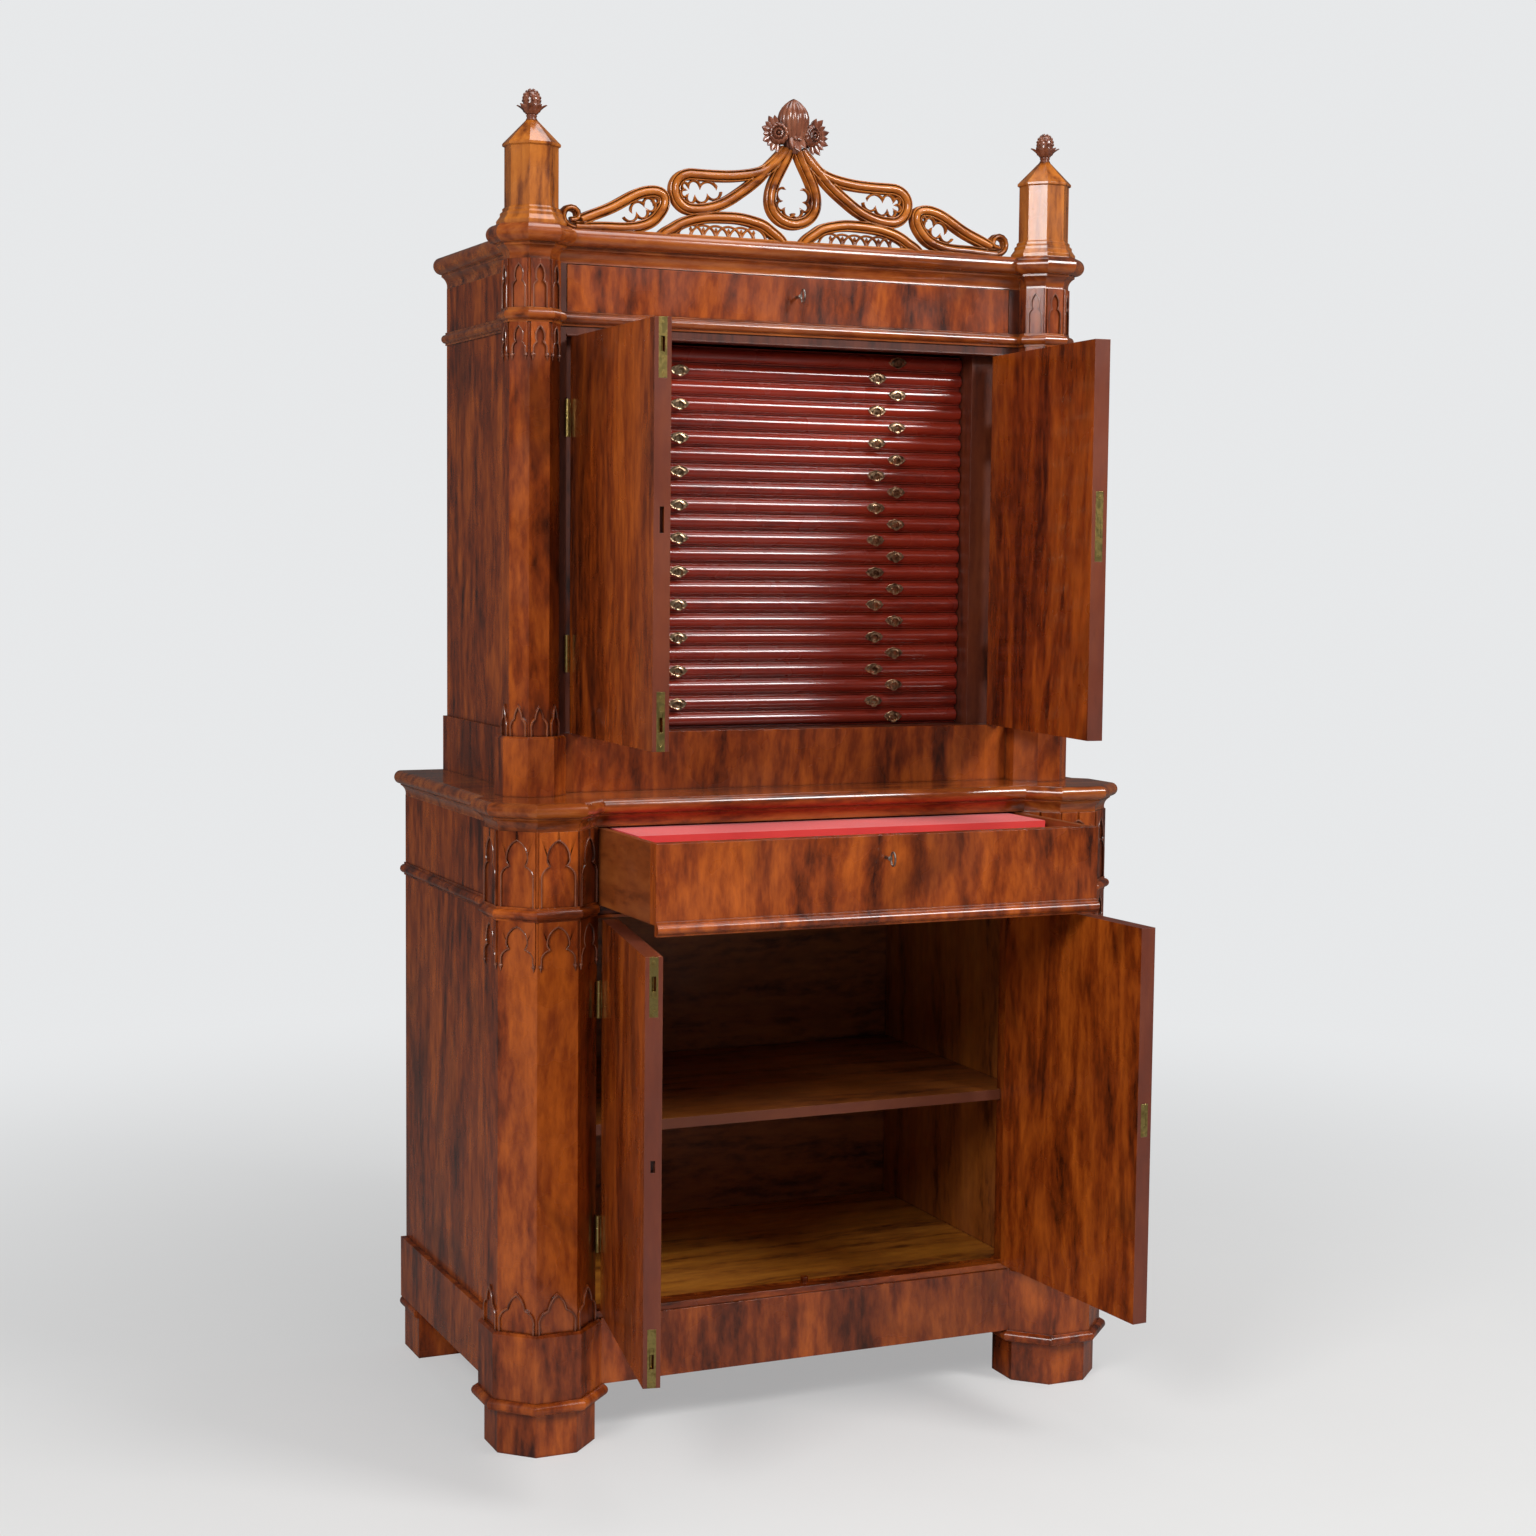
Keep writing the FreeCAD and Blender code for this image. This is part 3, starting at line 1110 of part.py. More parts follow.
def crest_filling(middle_y):
    """Make the foils and arcades that fill the crest's openings."""
    pieces = foils(OUTER_LOBE_SHARES, OUTER_FOIL_SHARES, 1, middle_y)
    pieces += foils(UPPER_LOBE_SHARES, UPPER_FOIL_SHARES, -1, middle_y)
    pieces += foils(TEARDROP_SHARES, TEARDROP_FOIL_SHARES, -1, middle_y)
    return both_sides(pieces + arcade(middle_y))


def make_crest():
    """Make the openwork crest: bands with a raised rib, their filling, a foot rail and a bud."""
    middle = UPPER_FRONT_Y + CREST_SETBACK + CREST_RIB_THICKNESS / 2
    half_board = CREST_BOARD_THICKNESS / 2
    pieces = crest_layer(1, middle - half_board, middle + half_board)
    pieces += crest_layer(CREST_RIB_SHARE, middle - CREST_RIB_THICKNESS / 2, middle)
    rail_end = CREST_HALF_WIDTH * OUTER_LOBE_SHARES[-1][0]
    rail = board(
        -rail_end, rail_end, middle - half_board, middle + half_board,
        CREST_Z, CREST_Z + CREST_RAIL_HEIGHT,
    )
    fret = pieces[0].fuse(pieces[1:] + crest_filling(middle) + [rail])
    below = board(-OVERALL_WIDTH, OVERALL_WIDTH, UPPER_FRONT_Y - OVERALL_WIDTH, REAR_Y, UPPER_Z, CREST_Z)
    fret = fret.cut(below)
    bud = crest_bud(middle)
    return solids_over(fret.fuse(bud).removeSplitter())


def crest_bud(middle):
    """Make the eight-sided bud at the top of the crest and the two curled leaves under it."""
    foot_z = CREST_Z + CREST_ARCH_HEIGHT * BUD_FOOT_SHARE
    belly, widest, shoulder = [
        (BUD_HALF_WIDTH * out, foot_z + BUD_HEIGHT * up)
        for out, up in (BUD_BELLY_SHARES, BUD_WIDEST_SHARES, BUD_SHOULDER_SHARES)
    ]
    neck = (BUD_HALF_WIDTH * BUD_NECK_SHARE, foot_z)
    tip = (BLUNT_TIP_RADIUS, foot_z + BUD_HEIGHT)
    bud = octagonal_turning([neck, widest + belly, tip + shoulder], 0, middle)
    leaf_z = belly[1] - BUD_LEAF_RADIUS * BUD_LEAF_DROP_SHARE
    leaves = []
    for side in (-1, 1):
        leaf = Part.makeCylinder(
            BUD_LEAF_RADIUS, BUD_THICKNESS,
            Vector(side * BUD_LEAF_SPREAD, middle - BUD_THICKNESS / 2, leaf_z), Vector(0, 1, 0),
        )
        leaves.append(leaf)
    return bud.fuse(leaves)


def hinge_heights(opening_z, door_height):
    """Return the heights of a door's two hinges, at their middles."""
    low = opening_z + DOOR_HEIGHT_GAP + HINGE_INSET
    high = opening_z + DOOR_HEIGHT_GAP + door_height - HINGE_INSET
    return [low, high]


def hinge_leaf(z_low, z_high, knuckles):
    """Make a hinge leaf whose pin stands on the origin, with its plate on the +X side.

    knuckles lists the low and high ends of the barrels that this leaf carries.
    """
    plate_x = DOOR_EDGE_GAP / 2 - HINGE_LEAF_THICKNESS / 2
    clear = HINGE_BARREL_RADIUS + HINGE_KNUCKLE_GAP
    far_y = HINGE_BARREL_PROJECTION + HINGE_LEAF_DEPTH
    leaf = board(plate_x, plate_x + HINGE_LEAF_THICKNESS, clear, far_y, z_low, z_high)
    parts = []
    for low, high in knuckles:
        parts.append(Part.makeCylinder(HINGE_BARREL_RADIUS, high - low, Vector(0, 0, low)))
        parts.append(board(plate_x, plate_x + HINGE_LEAF_THICKNESS, 0, clear, low, high))
    return leaf.fuse(parts)


def hinge_spans(middle_z):
    """Return a hinge's ends and the ends of its fixed and moving knuckles."""
    low = middle_z - HINGE_LEAF_HEIGHT / 2
    high = middle_z + HINGE_LEAF_HEIGHT / 2
    third = HINGE_LEAF_HEIGHT / 3
    fixed = [(low, low + third), (high - third, high)]
    moving = [(low + third + HINGE_KNUCKLE_GAP, high - third - HINGE_KNUCKLE_GAP)]
    return low, high, fixed, moving


def fixed_hinges(pin_x, pin_y, opening_z, door_height):
    """Make the leaves and pins on the case for the left door, its pin at pin_x, pin_y."""
    pieces = []
    for middle_z in hinge_heights(opening_z, door_height):
        low, high, fixed, moving = hinge_spans(middle_z)
        pin = Part.makeCylinder(HINGE_PIN_RADIUS, high - low, Vector(0, 0, low))
        leaf = mirror(hinge_leaf(low, high, fixed)).fuse(pin).removeSplitter()
        pieces.append(place(leaf, pin_x, pin_y, 0))
    return pieces


def hinge_pockets(pin_x, pin_y, opening_z, door_height):
    """Return the pockets that the fixed leaves are let into, beside the left door."""
    pockets = []
    plate_x = DOOR_EDGE_GAP / 2 + HINGE_LEAF_THICKNESS / 2
    for middle_z in hinge_heights(opening_z, door_height):
        low, high, fixed, moving = hinge_spans(middle_z)
        pockets.append(board(
            pin_x - plate_x, pin_x, pin_y, pin_y + HINGE_BARREL_PROJECTION + HINGE_LEAF_DEPTH, low, high
        ))
    return pockets


def make_door_hinges():
    """Make the fixed leaves of all eight hinges, each with its pin fast in it."""
    lower = fixed_hinges(-LOWER_PIN_X, LOWER_PIN_Y, LOWER_SILL_Z, LOWER_DOOR_HEIGHT)
    upper = fixed_hinges(-UPPER_PIN_X, UPPER_PIN_Y, UPPER_OPENING_Z, UPPER_DOOR_HEIGHT)
    return both_sides(lower + upper)


def door_board(width, z_low, height):
    """Make a door's board, with its hinge pin on the origin and its free edge towards +X."""
    low_x = DOOR_EDGE_GAP / 2
    low_y = HINGE_BARREL_PROJECTION
    return board(low_x, width, low_y, low_y + DOOR_THICKNESS, z_low, z_low + height)


def door_leaves(opening_z, height):
    """Return a door's hinge leaves and the pockets that they are let into."""
    leaves = []
    pockets = []
    plate_x = DOOR_EDGE_GAP / 2 + HINGE_LEAF_THICKNESS / 2
    for middle_z in hinge_heights(opening_z, height):
        low, high, fixed, moving = hinge_spans(middle_z)
        bore = Part.makeCylinder(
            HINGE_PIN_RADIUS + HINGE_RUNNING_CLEARANCE, high - low + 2 * OVERRUN, Vector(0, 0, low - OVERRUN)
        )
        leaves.append(hinge_leaf(low, high, moving).cut(bore).removeSplitter())
        pockets.append(board(0, plate_x, 0, HINGE_BARREL_PROJECTION + HINGE_LEAF_DEPTH, low, high))
    return leaves, pockets


def door_middle_y():
    """Return the middle of a door's thickness, from its hinge pin."""
    return HINGE_BARREL_PROJECTION + DOOR_THICKNESS / 2


def flush_bolt_parts(width, end_z, inward):
    """Return a flush bolt's plate, its pocket and bore, and the bolt, at one end of a door.

    end_z is the height of the door's end and inward is 1 where the bolt lies above it.
    """
    middle_y = door_middle_y()
    half_plate = BOLT_PLATE_WIDTH / 2
    far_z = end_z + inward * BOLT_PLATE_HEIGHT
    low_z = min(end_z, far_z)
    high_z = max(end_z, far_z)
    plate = board(
        width - BOLT_PLATE_THICKNESS, width, middle_y - half_plate, middle_y + half_plate, low_z, high_z
    )
    pocket = plate.copy()
    slot_middle = (low_z + high_z) / 2
    half_slot = BOLT_SLOT_WIDTH / 2
    slot_low = slot_middle - BOLT_SLOT_HEIGHT / 2
    slot_high = slot_middle + BOLT_SLOT_HEIGHT / 2
    bolt_x = width - BOLT_INSET
    slot = board(bolt_x, width + OVERRUN, middle_y - half_slot, middle_y + half_slot, slot_low, slot_high)
    plate = plate.cut(slot)
    bore_radius = BOLT_RADIUS + BOLT_RUNNING_CLEARANCE
    slot_end = slot_high if inward > 0 else slot_low
    bore_low, bore_high = sorted([end_z - inward * OVERRUN, slot_end])
    bore = Part.makeCylinder(bore_radius, bore_high - bore_low, Vector(bolt_x, middle_y, bore_low))
    bolt_end = slot_end - inward * LOCK_BOLT_CLEARANCE
    bolt_low, bolt_high = sorted([end_z, bolt_end])
    bolt = Part.makeCylinder(BOLT_RADIUS, bolt_high - bolt_low, Vector(bolt_x, middle_y, bolt_low))
    knob_low, knob_high = sorted([bolt_end, bolt_end - inward * BOLT_KNOB_HEIGHT])
    knob_half = half_slot - LOCK_BOLT_CLEARANCE
    knob = board(
        bolt_x, width - BOLT_KNOB_RECESS, middle_y - knob_half, middle_y + knob_half, knob_low, knob_high
    )
    return plate, [pocket, slot, bore], bolt.fuse(knob).removeSplitter()


def lock_parts(width, middle_z, plate_height, bolt_height):
    """Return a door lock's edge plate, its pocket and bolt channel, and the lock bolt."""
    middle_y = door_middle_y()
    half_plate = LOCK_PLATE_WIDTH / 2
    plate = board(
        width - BOLT_PLATE_THICKNESS, width, middle_y - half_plate, middle_y + half_plate,
        middle_z - plate_height / 2, middle_z + plate_height / 2,
    )
    pocket = plate.copy()
    half_bolt = bolt_height / 2
    half_thick = LOCK_BOLT_THICKNESS / 2
    bolt = board(
        width - LOCK_BOLT_LENGTH, width - BOLT_KNOB_RECESS, middle_y - half_thick, middle_y + half_thick,
        middle_z - half_bolt, middle_z + half_bolt,
    )
    gap = LOCK_BOLT_CLEARANCE
    channel = board(
        width - LOCK_BOLT_LENGTH - gap, width + OVERRUN,
        middle_y - half_thick - gap, middle_y + half_thick + gap,
        middle_z - half_bolt - gap, middle_z + half_bolt + gap,
    )
    return plate.cut(channel), [pocket, channel], bolt


def keyhole_parts(width, middle_z):
    """Return the round keyhole's brass lining and the hole in the door's face."""
    hole_x = width - LOCK_BOLT_LENGTH - 2 * ESCUTCHEON_RADIUS
    face_y = HINGE_BARREL_PROJECTION
    away = Vector(0, 1, 0)
    ring = Part.makeCylinder(ESCUTCHEON_RADIUS, ESCUTCHEON_THICKNESS, Vector(hole_x, face_y, middle_z), away)
    hole = Part.makeCylinder(KEYHOLE_RADIUS, DOOR_THICKNESS / 2, Vector(hole_x, face_y, middle_z), away)
    return ring.cut(hole), [ring, hole]


def mortise(width, middle_z, bolt_height):
    """Return the slot in the fixed door's edge that takes the other door's lock bolt."""
    middle_y = door_middle_y()
    half_thick = LOCK_BOLT_THICKNESS / 2 + 2 * LOCK_BOLT_CLEARANCE
    half_height = bolt_height / 2 + 2 * LOCK_BOLT_CLEARANCE
    depth = LOCK_BOLT_THROW + 2 * LOCK_BOLT_CLEARANCE
    return board(
        width - depth, width + OVERRUN, middle_y - half_thick, middle_y + half_thick,
        middle_z - half_height, middle_z + half_height,
    )


def make_fixed_door(width, opening_z, height, lock_height, bolt_height):
    """Make a left door, which two flush bolts hold shut, and its two bolts."""
    z_low = opening_z + DOOR_HEIGHT_GAP
    leaves, pockets = door_leaves(opening_z, height)
    low_plate, low_cuts, low_bolt = flush_bolt_parts(width, z_low, 1)
    high_plate, high_cuts, high_bolt = flush_bolt_parts(width, z_low + height, -1)
    cuts = pockets + low_cuts + high_cuts + [mortise(width, z_low + lock_height, bolt_height)]
    wood = door_board(width, z_low, height).cut(cuts)
    return [wood, low_plate, high_plate] + leaves, [high_bolt], [low_bolt]


def make_locking_door(width, opening_z, height, lock_height, plate_height, bolt_height):
    """Make the door that carries the lock, hinged on the left as drawn, and its lock bolt."""
    z_low = opening_z + DOOR_HEIGHT_GAP
    leaves, pockets = door_leaves(opening_z, height)
    plate, lock_cuts, bolt = lock_parts(width, z_low + lock_height, plate_height, bolt_height)
    ring, hole_cuts = keyhole_parts(width, z_low + lock_height)
    wood = door_board(width, z_low, height).cut(pockets + lock_cuts + hole_cuts)
    return [wood, plate, ring] + leaves, [bolt]


def hang_left(pieces, pin_x, pin_y, opened):
    """Stand a left door's pieces on their pin, swung open by an angle."""
    return [place(turn_about_z(piece, -opened), -pin_x, pin_y, 0) for piece in pieces]


def hang_right(pieces, pin_x, pin_y, opened):
    """Stand a right door's pieces on their pin, swung open by an angle."""
    return [place(turn_about_z(mirror(piece), opened), pin_x, pin_y, 0) for piece in pieces]


def make_doors():
    """Make the four doors and their bolts, as a table of node names and pieces."""
    nodes = {}
    lower = make_fixed_door(
        LOWER_DOOR_WIDTH, LOWER_SILL_Z, LOWER_DOOR_HEIGHT, LOWER_LOCK_HEIGHT, LOWER_LOCK_BOLT_HEIGHT
    )
    names = ("lower_left_door", "lower_left_top_bolt", "lower_left_bottom_bolt")
    for name, pieces in zip(names, lower):
        nodes[name] = hang_left(pieces, LOWER_PIN_X, LOWER_PIN_Y, LOWER_LEFT_DOOR_OPEN)
    upper = make_fixed_door(
        UPPER_DOOR_WIDTH, UPPER_OPENING_Z, UPPER_DOOR_HEIGHT, UPPER_LOCK_HEIGHT, UPPER_LOCK_BOLT_HEIGHT
    )
    names = ("upper_left_door", "upper_left_top_bolt", "upper_left_bottom_bolt")
    for name, pieces in zip(names, upper):
        nodes[name] = hang_left(pieces, UPPER_PIN_X, UPPER_PIN_Y, UPPER_LEFT_DOOR_OPEN)
    lower = make_locking_door(
        LOWER_DOOR_WIDTH, LOWER_SILL_Z, LOWER_DOOR_HEIGHT, LOWER_LOCK_HEIGHT, LOWER_LOCK_PLATE_HEIGHT,
        LOWER_LOCK_BOLT_HEIGHT,
    )
    for name, pieces in zip(("lower_right_door", "lower_lock_bolt"), lower):
        nodes[name] = hang_right(pieces, LOWER_PIN_X, LOWER_PIN_Y, LOWER_RIGHT_DOOR_OPEN)
    upper = make_locking_door(
        UPPER_DOOR_WIDTH, UPPER_OPENING_Z, UPPER_DOOR_HEIGHT, UPPER_LOCK_HEIGHT, UPPER_LOCK_PLATE_HEIGHT,
        UPPER_LOCK_BOLT_HEIGHT,
    )
    for name, pieces in zip(("upper_right_door", "upper_lock_bolt"), upper):
        nodes[name] = hang_right(pieces, UPPER_PIN_X, UPPER_PIN_Y, UPPER_RIGHT_DOOR_OPEN)
    return nodes


def drawer_front_board(half, front_y, z_low, z_high, key_z):
    """Make a drawer front with its round keyhole."""
    front = board(-half, half, front_y, front_y + DRAWER_FRONT_THICKNESS, z_low, z_high)
    hole_radius = KEY_SHANK_RADIUS + KEY_HOLE_CLEARANCE
    hole = Part.makeCylinder(
        hole_radius, KEY_REACH + OVERRUN, Vector(0, front_y - OVERRUN, key_z), Vector(0, 1, 0)
    )
    return front.cut(hole)


def drawer_box(half, front_y, length, z_low, z_high):
    """Make a drawer's sides, back and bottom behind its front."""
    back_of_front = front_y + DRAWER_FRONT_THICKNESS
    rear = front_y + length
    inner = half - DRAWER_SIDE_THICKNESS
    side = board(inner, half, back_of_front, rear, z_low, z_high)
    back = board(-inner, inner, rear - DRAWER_BACK_THICKNESS, rear, z_low, z_high)
    bottom = board(
        -inner, inner, back_of_front, rear - DRAWER_BACK_THICKNESS, z_low + DRAWER_BOTTOM_THICKNESS,
        z_low + 2 * DRAWER_BOTTOM_THICKNESS,
    )
    return both_sides([side]) + [back, bottom]


def key_height(z_low, z_high, share):
    """Return the height of a keyhole between two heights."""
    return z_low + (z_high - z_low) * share


def make_key(front_y, key_z):
    """Make a key in its lock: shank, collar and oval bow."""
    start = front_y + KEY_REACH
    stem_end = front_y - KEY_STEM_LENGTH
    foot = Vector(0, stem_end, key_z)
    inwards = Vector(0, 1, 0)
    shank = Part.makeCylinder(KEY_SHANK_RADIUS, start - stem_end, foot, inwards)
    collar = Part.makeCylinder(KEY_COLLAR_RADIUS, KEY_COLLAR_LENGTH, foot, inwards)
    outer = Part.Ellipse(Vector(0, 0, 0), KEY_BOW_HEIGHT / 2, KEY_BOW_LENGTH / 2).toShape()
    inner = Part.Ellipse(
        Vector(0, 0, 0), KEY_BOW_HEIGHT / 2 - KEY_BOW_RIM, KEY_BOW_LENGTH / 2 - KEY_BOW_RIM
    ).toShape()
    ring = Part.Face(Part.Wire([outer])).cut(Part.Face(Part.Wire([inner])))
    ring = ring.extrude(Vector(0, 0, KEY_BOW_THICKNESS))
    ring.translate(Vector(0, 0, -KEY_BOW_THICKNESS / 2))
    ring.rotate(Vector(0, 0, 0), Vector(0, 1, 0), 2 * OCTAGON_TURN)
    ring.translate(Vector(0, stem_end - KEY_BOW_LENGTH / 2 + KEY_BOW_RIM / 2, key_z))
    return shank.fuse([collar, ring]).removeSplitter()


def make_lower_drawer():
    """Make the wide drawer of the base, with its moulding, box, red tray and key."""
    half = LOWER_INNER_X - DRAWER_EDGE_GAP
    z_low = LOWER_BAND_Z + RUNNING_CLEARANCE
    z_high = SLAB_Z - DRAWER_RIM_DROP
    key_z = key_height(LOWER_FRIEZE_Z, SLAB_Z, LOWER_KEY_HEIGHT_SHARE)
    front = drawer_front_board(half, LOWER_FRONT_Y, z_low, z_high, key_z)
    box_low = LOWER_BAND_Z + DUST_BOARD_THICKNESS + RUNNING_CLEARANCE
    lip_y = LOWER_FRONT_Y + DRAWER_LIP_THICKNESS
    front = front.cut(board(-half, half, lip_y, LOWER_FRONT_Y + DRAWER_FRONT_THICKNESS, z_low, box_low))
    strip = moulded_board(band_steps(0, LOWER_BAND_Z + RUNNING_CLEARANCE), half, LOWER_FRONT_Y, 0)
    strip = strip.common(board(
        -half, half, -OVERALL_WIDTH, LOWER_FRONT_Y, LOWER_BAND_Z, LOWER_BAND_Z + 2 * BAND_HEIGHT
    ))
    box_high = z_high - DRAWER_RIM_DROP
    box = drawer_box(half, LOWER_FRONT_Y, LOWER_DRAWER_LENGTH, box_low, box_high)
    tray_half = half - DRAWER_SIDE_THICKNESS - TRAY_SIDE_GAP
    tray = make_tray(tray_half, box_low + 2 * DRAWER_BOTTOM_THICKNESS, z_high - TRAY_RIM_DROP)
    key = make_key(LOWER_FRONT_Y, key_z)
    pulled = {
        "lower_drawer_front": [front] + strip.Solids,
        "lower_drawer_box": box,
        "lower_drawer_tray": tray,
        "lower_drawer_key": [key],
    }
    nodes = {}
    for name, pieces in pulled.items():
        nodes[name] = [place(piece, 0, -LOWER_DRAWER_PULLED, 0) for piece in pieces]
    return nodes


def make_tray(half, z_low, z_high):
    """Make the cloth-covered box that stands in the back of the wide drawer."""
    wall = TRAY_BOARD_THICKNESS
    y_low = LOWER_FRONT_Y + TRAY_SETBACK
    y_high = LOWER_FRONT_Y + LOWER_DRAWER_LENGTH - DRAWER_BACK_THICKNESS - TRAY_DEPTH_GAP
    lid = board(-half, half, y_low, y_high, z_high - wall, z_high)
    front = board(-half, half, y_low, y_low + wall, z_low, z_high - wall)
    back = board(-half, half, y_high - wall, y_high, z_low, z_high - wall)
    side = board(half - wall, half, y_low + wall, y_high - wall, z_low, z_high - wall)
    return [lid, front, back] + both_sides([side])


def make_upper_drawer():
    """Make the frieze drawer of the upper case and its key."""
    half = POST_INNER_X - DRAWER_EDGE_GAP
    z_low = UPPER_FRIEZE_Z + RUNNING_CLEARANCE
    z_high = CORNICE_Z - DRAWER_RIM_DROP
    key_z = key_height(UPPER_FRIEZE_Z, CORNICE_Z, UPPER_KEY_HEIGHT_SHARE)
    front = drawer_front_board(half, UPPER_FRONT_Y, z_low, z_high, key_z)
    box_low = UPPER_FRIEZE_Z + RUNNING_CLEARANCE
    box = drawer_box(half, UPPER_FRONT_Y, UPPER_DRAWER_LENGTH, box_low, z_high - DRAWER_RIM_DROP)
    return {"upper_drawer": [front] + box, "upper_drawer_key": [make_key(UPPER_FRONT_Y, key_z)]}


def inner_drawer_front(z_low, height):
    """Make a shallow drawer's front with its rounded nose."""
    back_y = INNER_DRAWER_Y + INNER_FRONT_DEPTH
    lip_y = INNER_DRAWER_Y + INNER_FRONT_BULGE
    low = z_low + INNER_FRONT_FILLET
    high = z_low + height - INNER_FRONT_FILLET
    corners = [
        Vector(0, lip_y, low), Vector(0, lip_y, z_low), Vector(0, back_y, z_low),
        Vector(0, back_y, z_low + height), Vector(0, lip_y, z_low + height), Vector(0, lip_y, high),
    ]
    edges = [Part.makeLine(a, b) for a, b in zip(corners, corners[1:])]
    nose = Vector(0, INNER_DRAWER_Y, z_low + height / 2)
    edges.append(Part.Arc(corners[-1], nose, corners[0]).toShape())
    face = Part.Face(Part.Wire(edges))
    return place(face.extrude(Vector(2 * INNER_HALF_WIDTH, 0, 0)), -INNER_HALF_WIDTH, 0, 0)


def pull_plate(x, z):
    """Make a pull's long six-sided plate, pointed at both ends."""
    half_length = PULL_PLATE_LENGTH / 2
    half_flat = PULL_PLATE_FLAT / 2
    half_height = PULL_PLATE_HEIGHT / 2
    face = polygon_face([
        Vector(x - half_length, 0, z), Vector(x - half_flat, 0, z + half_height),
        Vector(x + half_flat, 0, z + half_height), Vector(x + half_length, 0, z),
        Vector(x + half_flat, 0, z - half_height), Vector(x - half_flat, 0, z - half_height),
    ])
    return place(face.extrude(Vector(0, -PULL_PLATE_THICKNESS, 0)), 0, INNER_DRAWER_Y, 0)


def ring_face(radius, rim, x, z):
    """Return the face of a pull's many-sided ring in the XZ plane, flat at its top."""
    faces = []
    for reach in (radius, radius - rim):
        points = []
        for corner in range(PULL_RING_SIDES):
            angle = math.radians(corner * 360 / PULL_RING_SIDES)
            points.append(Vector(x + reach * math.cos(angle), 0, z + reach * math.sin(angle)))
        faces.append(polygon_face(points))
    return faces[0].cut(faces[1])


def make_pull(x, z):
    """Make one ring pull: a plate, the eye on it and the ring that hangs in the eye."""
    plate = pull_plate(x, z)
    plate_y = INNER_DRAWER_Y - PULL_PLATE_THICKNESS
    eye_half = PULL_EYE_RADIUS / 2
    eye_z = z + PULL_RING_RADIUS / 2
    eye = board(
        x - eye_half, x + eye_half, plate_y - PULL_EYE_LENGTH, plate_y, eye_z - eye_half, eye_z + eye_half
    )
    ring_z = eye_z - (PULL_RING_RADIUS - PULL_RING_RIM / 2) * math.cos(math.pi / PULL_RING_SIDES)
    ring_y = plate_y - RUNNING_CLEARANCE
    ring = ring_face(PULL_RING_RADIUS, PULL_RING_RIM, x, ring_z)
    ring = place(ring.extrude(Vector(0, -PULL_RING_THICKNESS, 0)), 0, ring_y, 0)
    eye = eye.cut(ring)
    return [plate] + eye.Solids + [ring]


def make_inner_drawer(index):
    """Make one shallow drawer with its two ring pulls; index 0 is the top one."""
    z = UPPER_RAIL_Z - (index + 1) * INNER_PITCH
    z_low = z + INNER_FRONT_GAP / 2
    front = inner_drawer_front(z_low, INNER_PITCH - INNER_FRONT_GAP)
    side_low = z + RUNNER_THICKNESS + RUNNING_CLEARANCE
    side_high = z + INNER_PITCH - INNER_TOP_CLEARANCE
    front_back_y = INNER_DRAWER_Y + INNER_FRONT_DEPTH
    rear_y = INNER_DRAWER_Y + INNER_DRAWER_LENGTH
    inner = INNER_HALF_WIDTH - INNER_SIDE_THICKNESS
    side = board(inner, INNER_HALF_WIDTH, front_back_y, rear_y, side_low, side_high)
    back = board(-inner, inner, rear_y - INNER_SIDE_THICKNESS, rear_y, side_low, side_high)
    bottom = board(
        -inner, inner, front_back_y, rear_y - INNER_SIDE_THICKNESS,
        side_low, side_low + INNER_BOTTOM_THICKNESS,
    )
    offset = WIDE_PULL_OFFSET if index % 2 == 0 else NARROW_PULL_OFFSET
    middle_z = z + INNER_PITCH / 2
    pulls = make_pull(-offset, middle_z) + make_pull(offset, middle_z)
    return [front] + both_sides([side]) + [back, bottom] + pulls


def front_reach():
    """Return how far forward the open doors reach, in the cabinet's frame."""
    reaches = []
    doors = [
        (LOWER_PIN_Y, LOWER_DOOR_WIDTH, LOWER_LEFT_DOOR_OPEN),
        (LOWER_PIN_Y, LOWER_DOOR_WIDTH, LOWER_RIGHT_DOOR_OPEN),
        (UPPER_PIN_Y, UPPER_DOOR_WIDTH, UPPER_LEFT_DOOR_OPEN),
        (UPPER_PIN_Y, UPPER_DOOR_WIDTH, UPPER_RIGHT_DOOR_OPEN),
    ]
    for pin_y, width, opened in doors:
        angle = math.radians(opened)
        for depth in (HINGE_BARREL_PROJECTION, HINGE_BARREL_PROJECTION + DOOR_THICKNESS):
            reaches.append(pin_y - width * math.sin(angle) + depth * math.cos(angle))
    reaches.append(LOWER_FRONT_Y - LOWER_DRAWER_PULLED - KEY_STEM_LENGTH - KEY_BOW_LENGTH)
    reaches.append(-LOWER_SHAFT - SLAB_PROJECTION)
    return min(reaches)


ORIGIN_Y = (front_reach() + REAR_Y) / 2


def let_in_hinges(nodes):
    """Cut the pockets for the fixed hinge leaves into the posts and columns."""
    lower = both_sides(hinge_pockets(-LOWER_PIN_X, LOWER_PIN_Y, LOWER_SILL_Z, LOWER_DOOR_HEIGHT))
    upper = both_sides(hinge_pockets(-UPPER_PIN_X, UPPER_PIN_Y, UPPER_OPENING_Z, UPPER_DOOR_HEIGHT))
    for name, pockets in (("lower_columns", lower), ("upper_boards", upper)):
        nodes[name] = [cut_where_near(piece, pockets) for piece in nodes[name]]


def cut_where_near(piece, pockets):
    """Cut a piece by the pockets that reach into it."""
    near = [pocket for pocket in pockets if pocket.BoundBox.intersect(piece.BoundBox)]
    return piece.cut(near) if near else piece


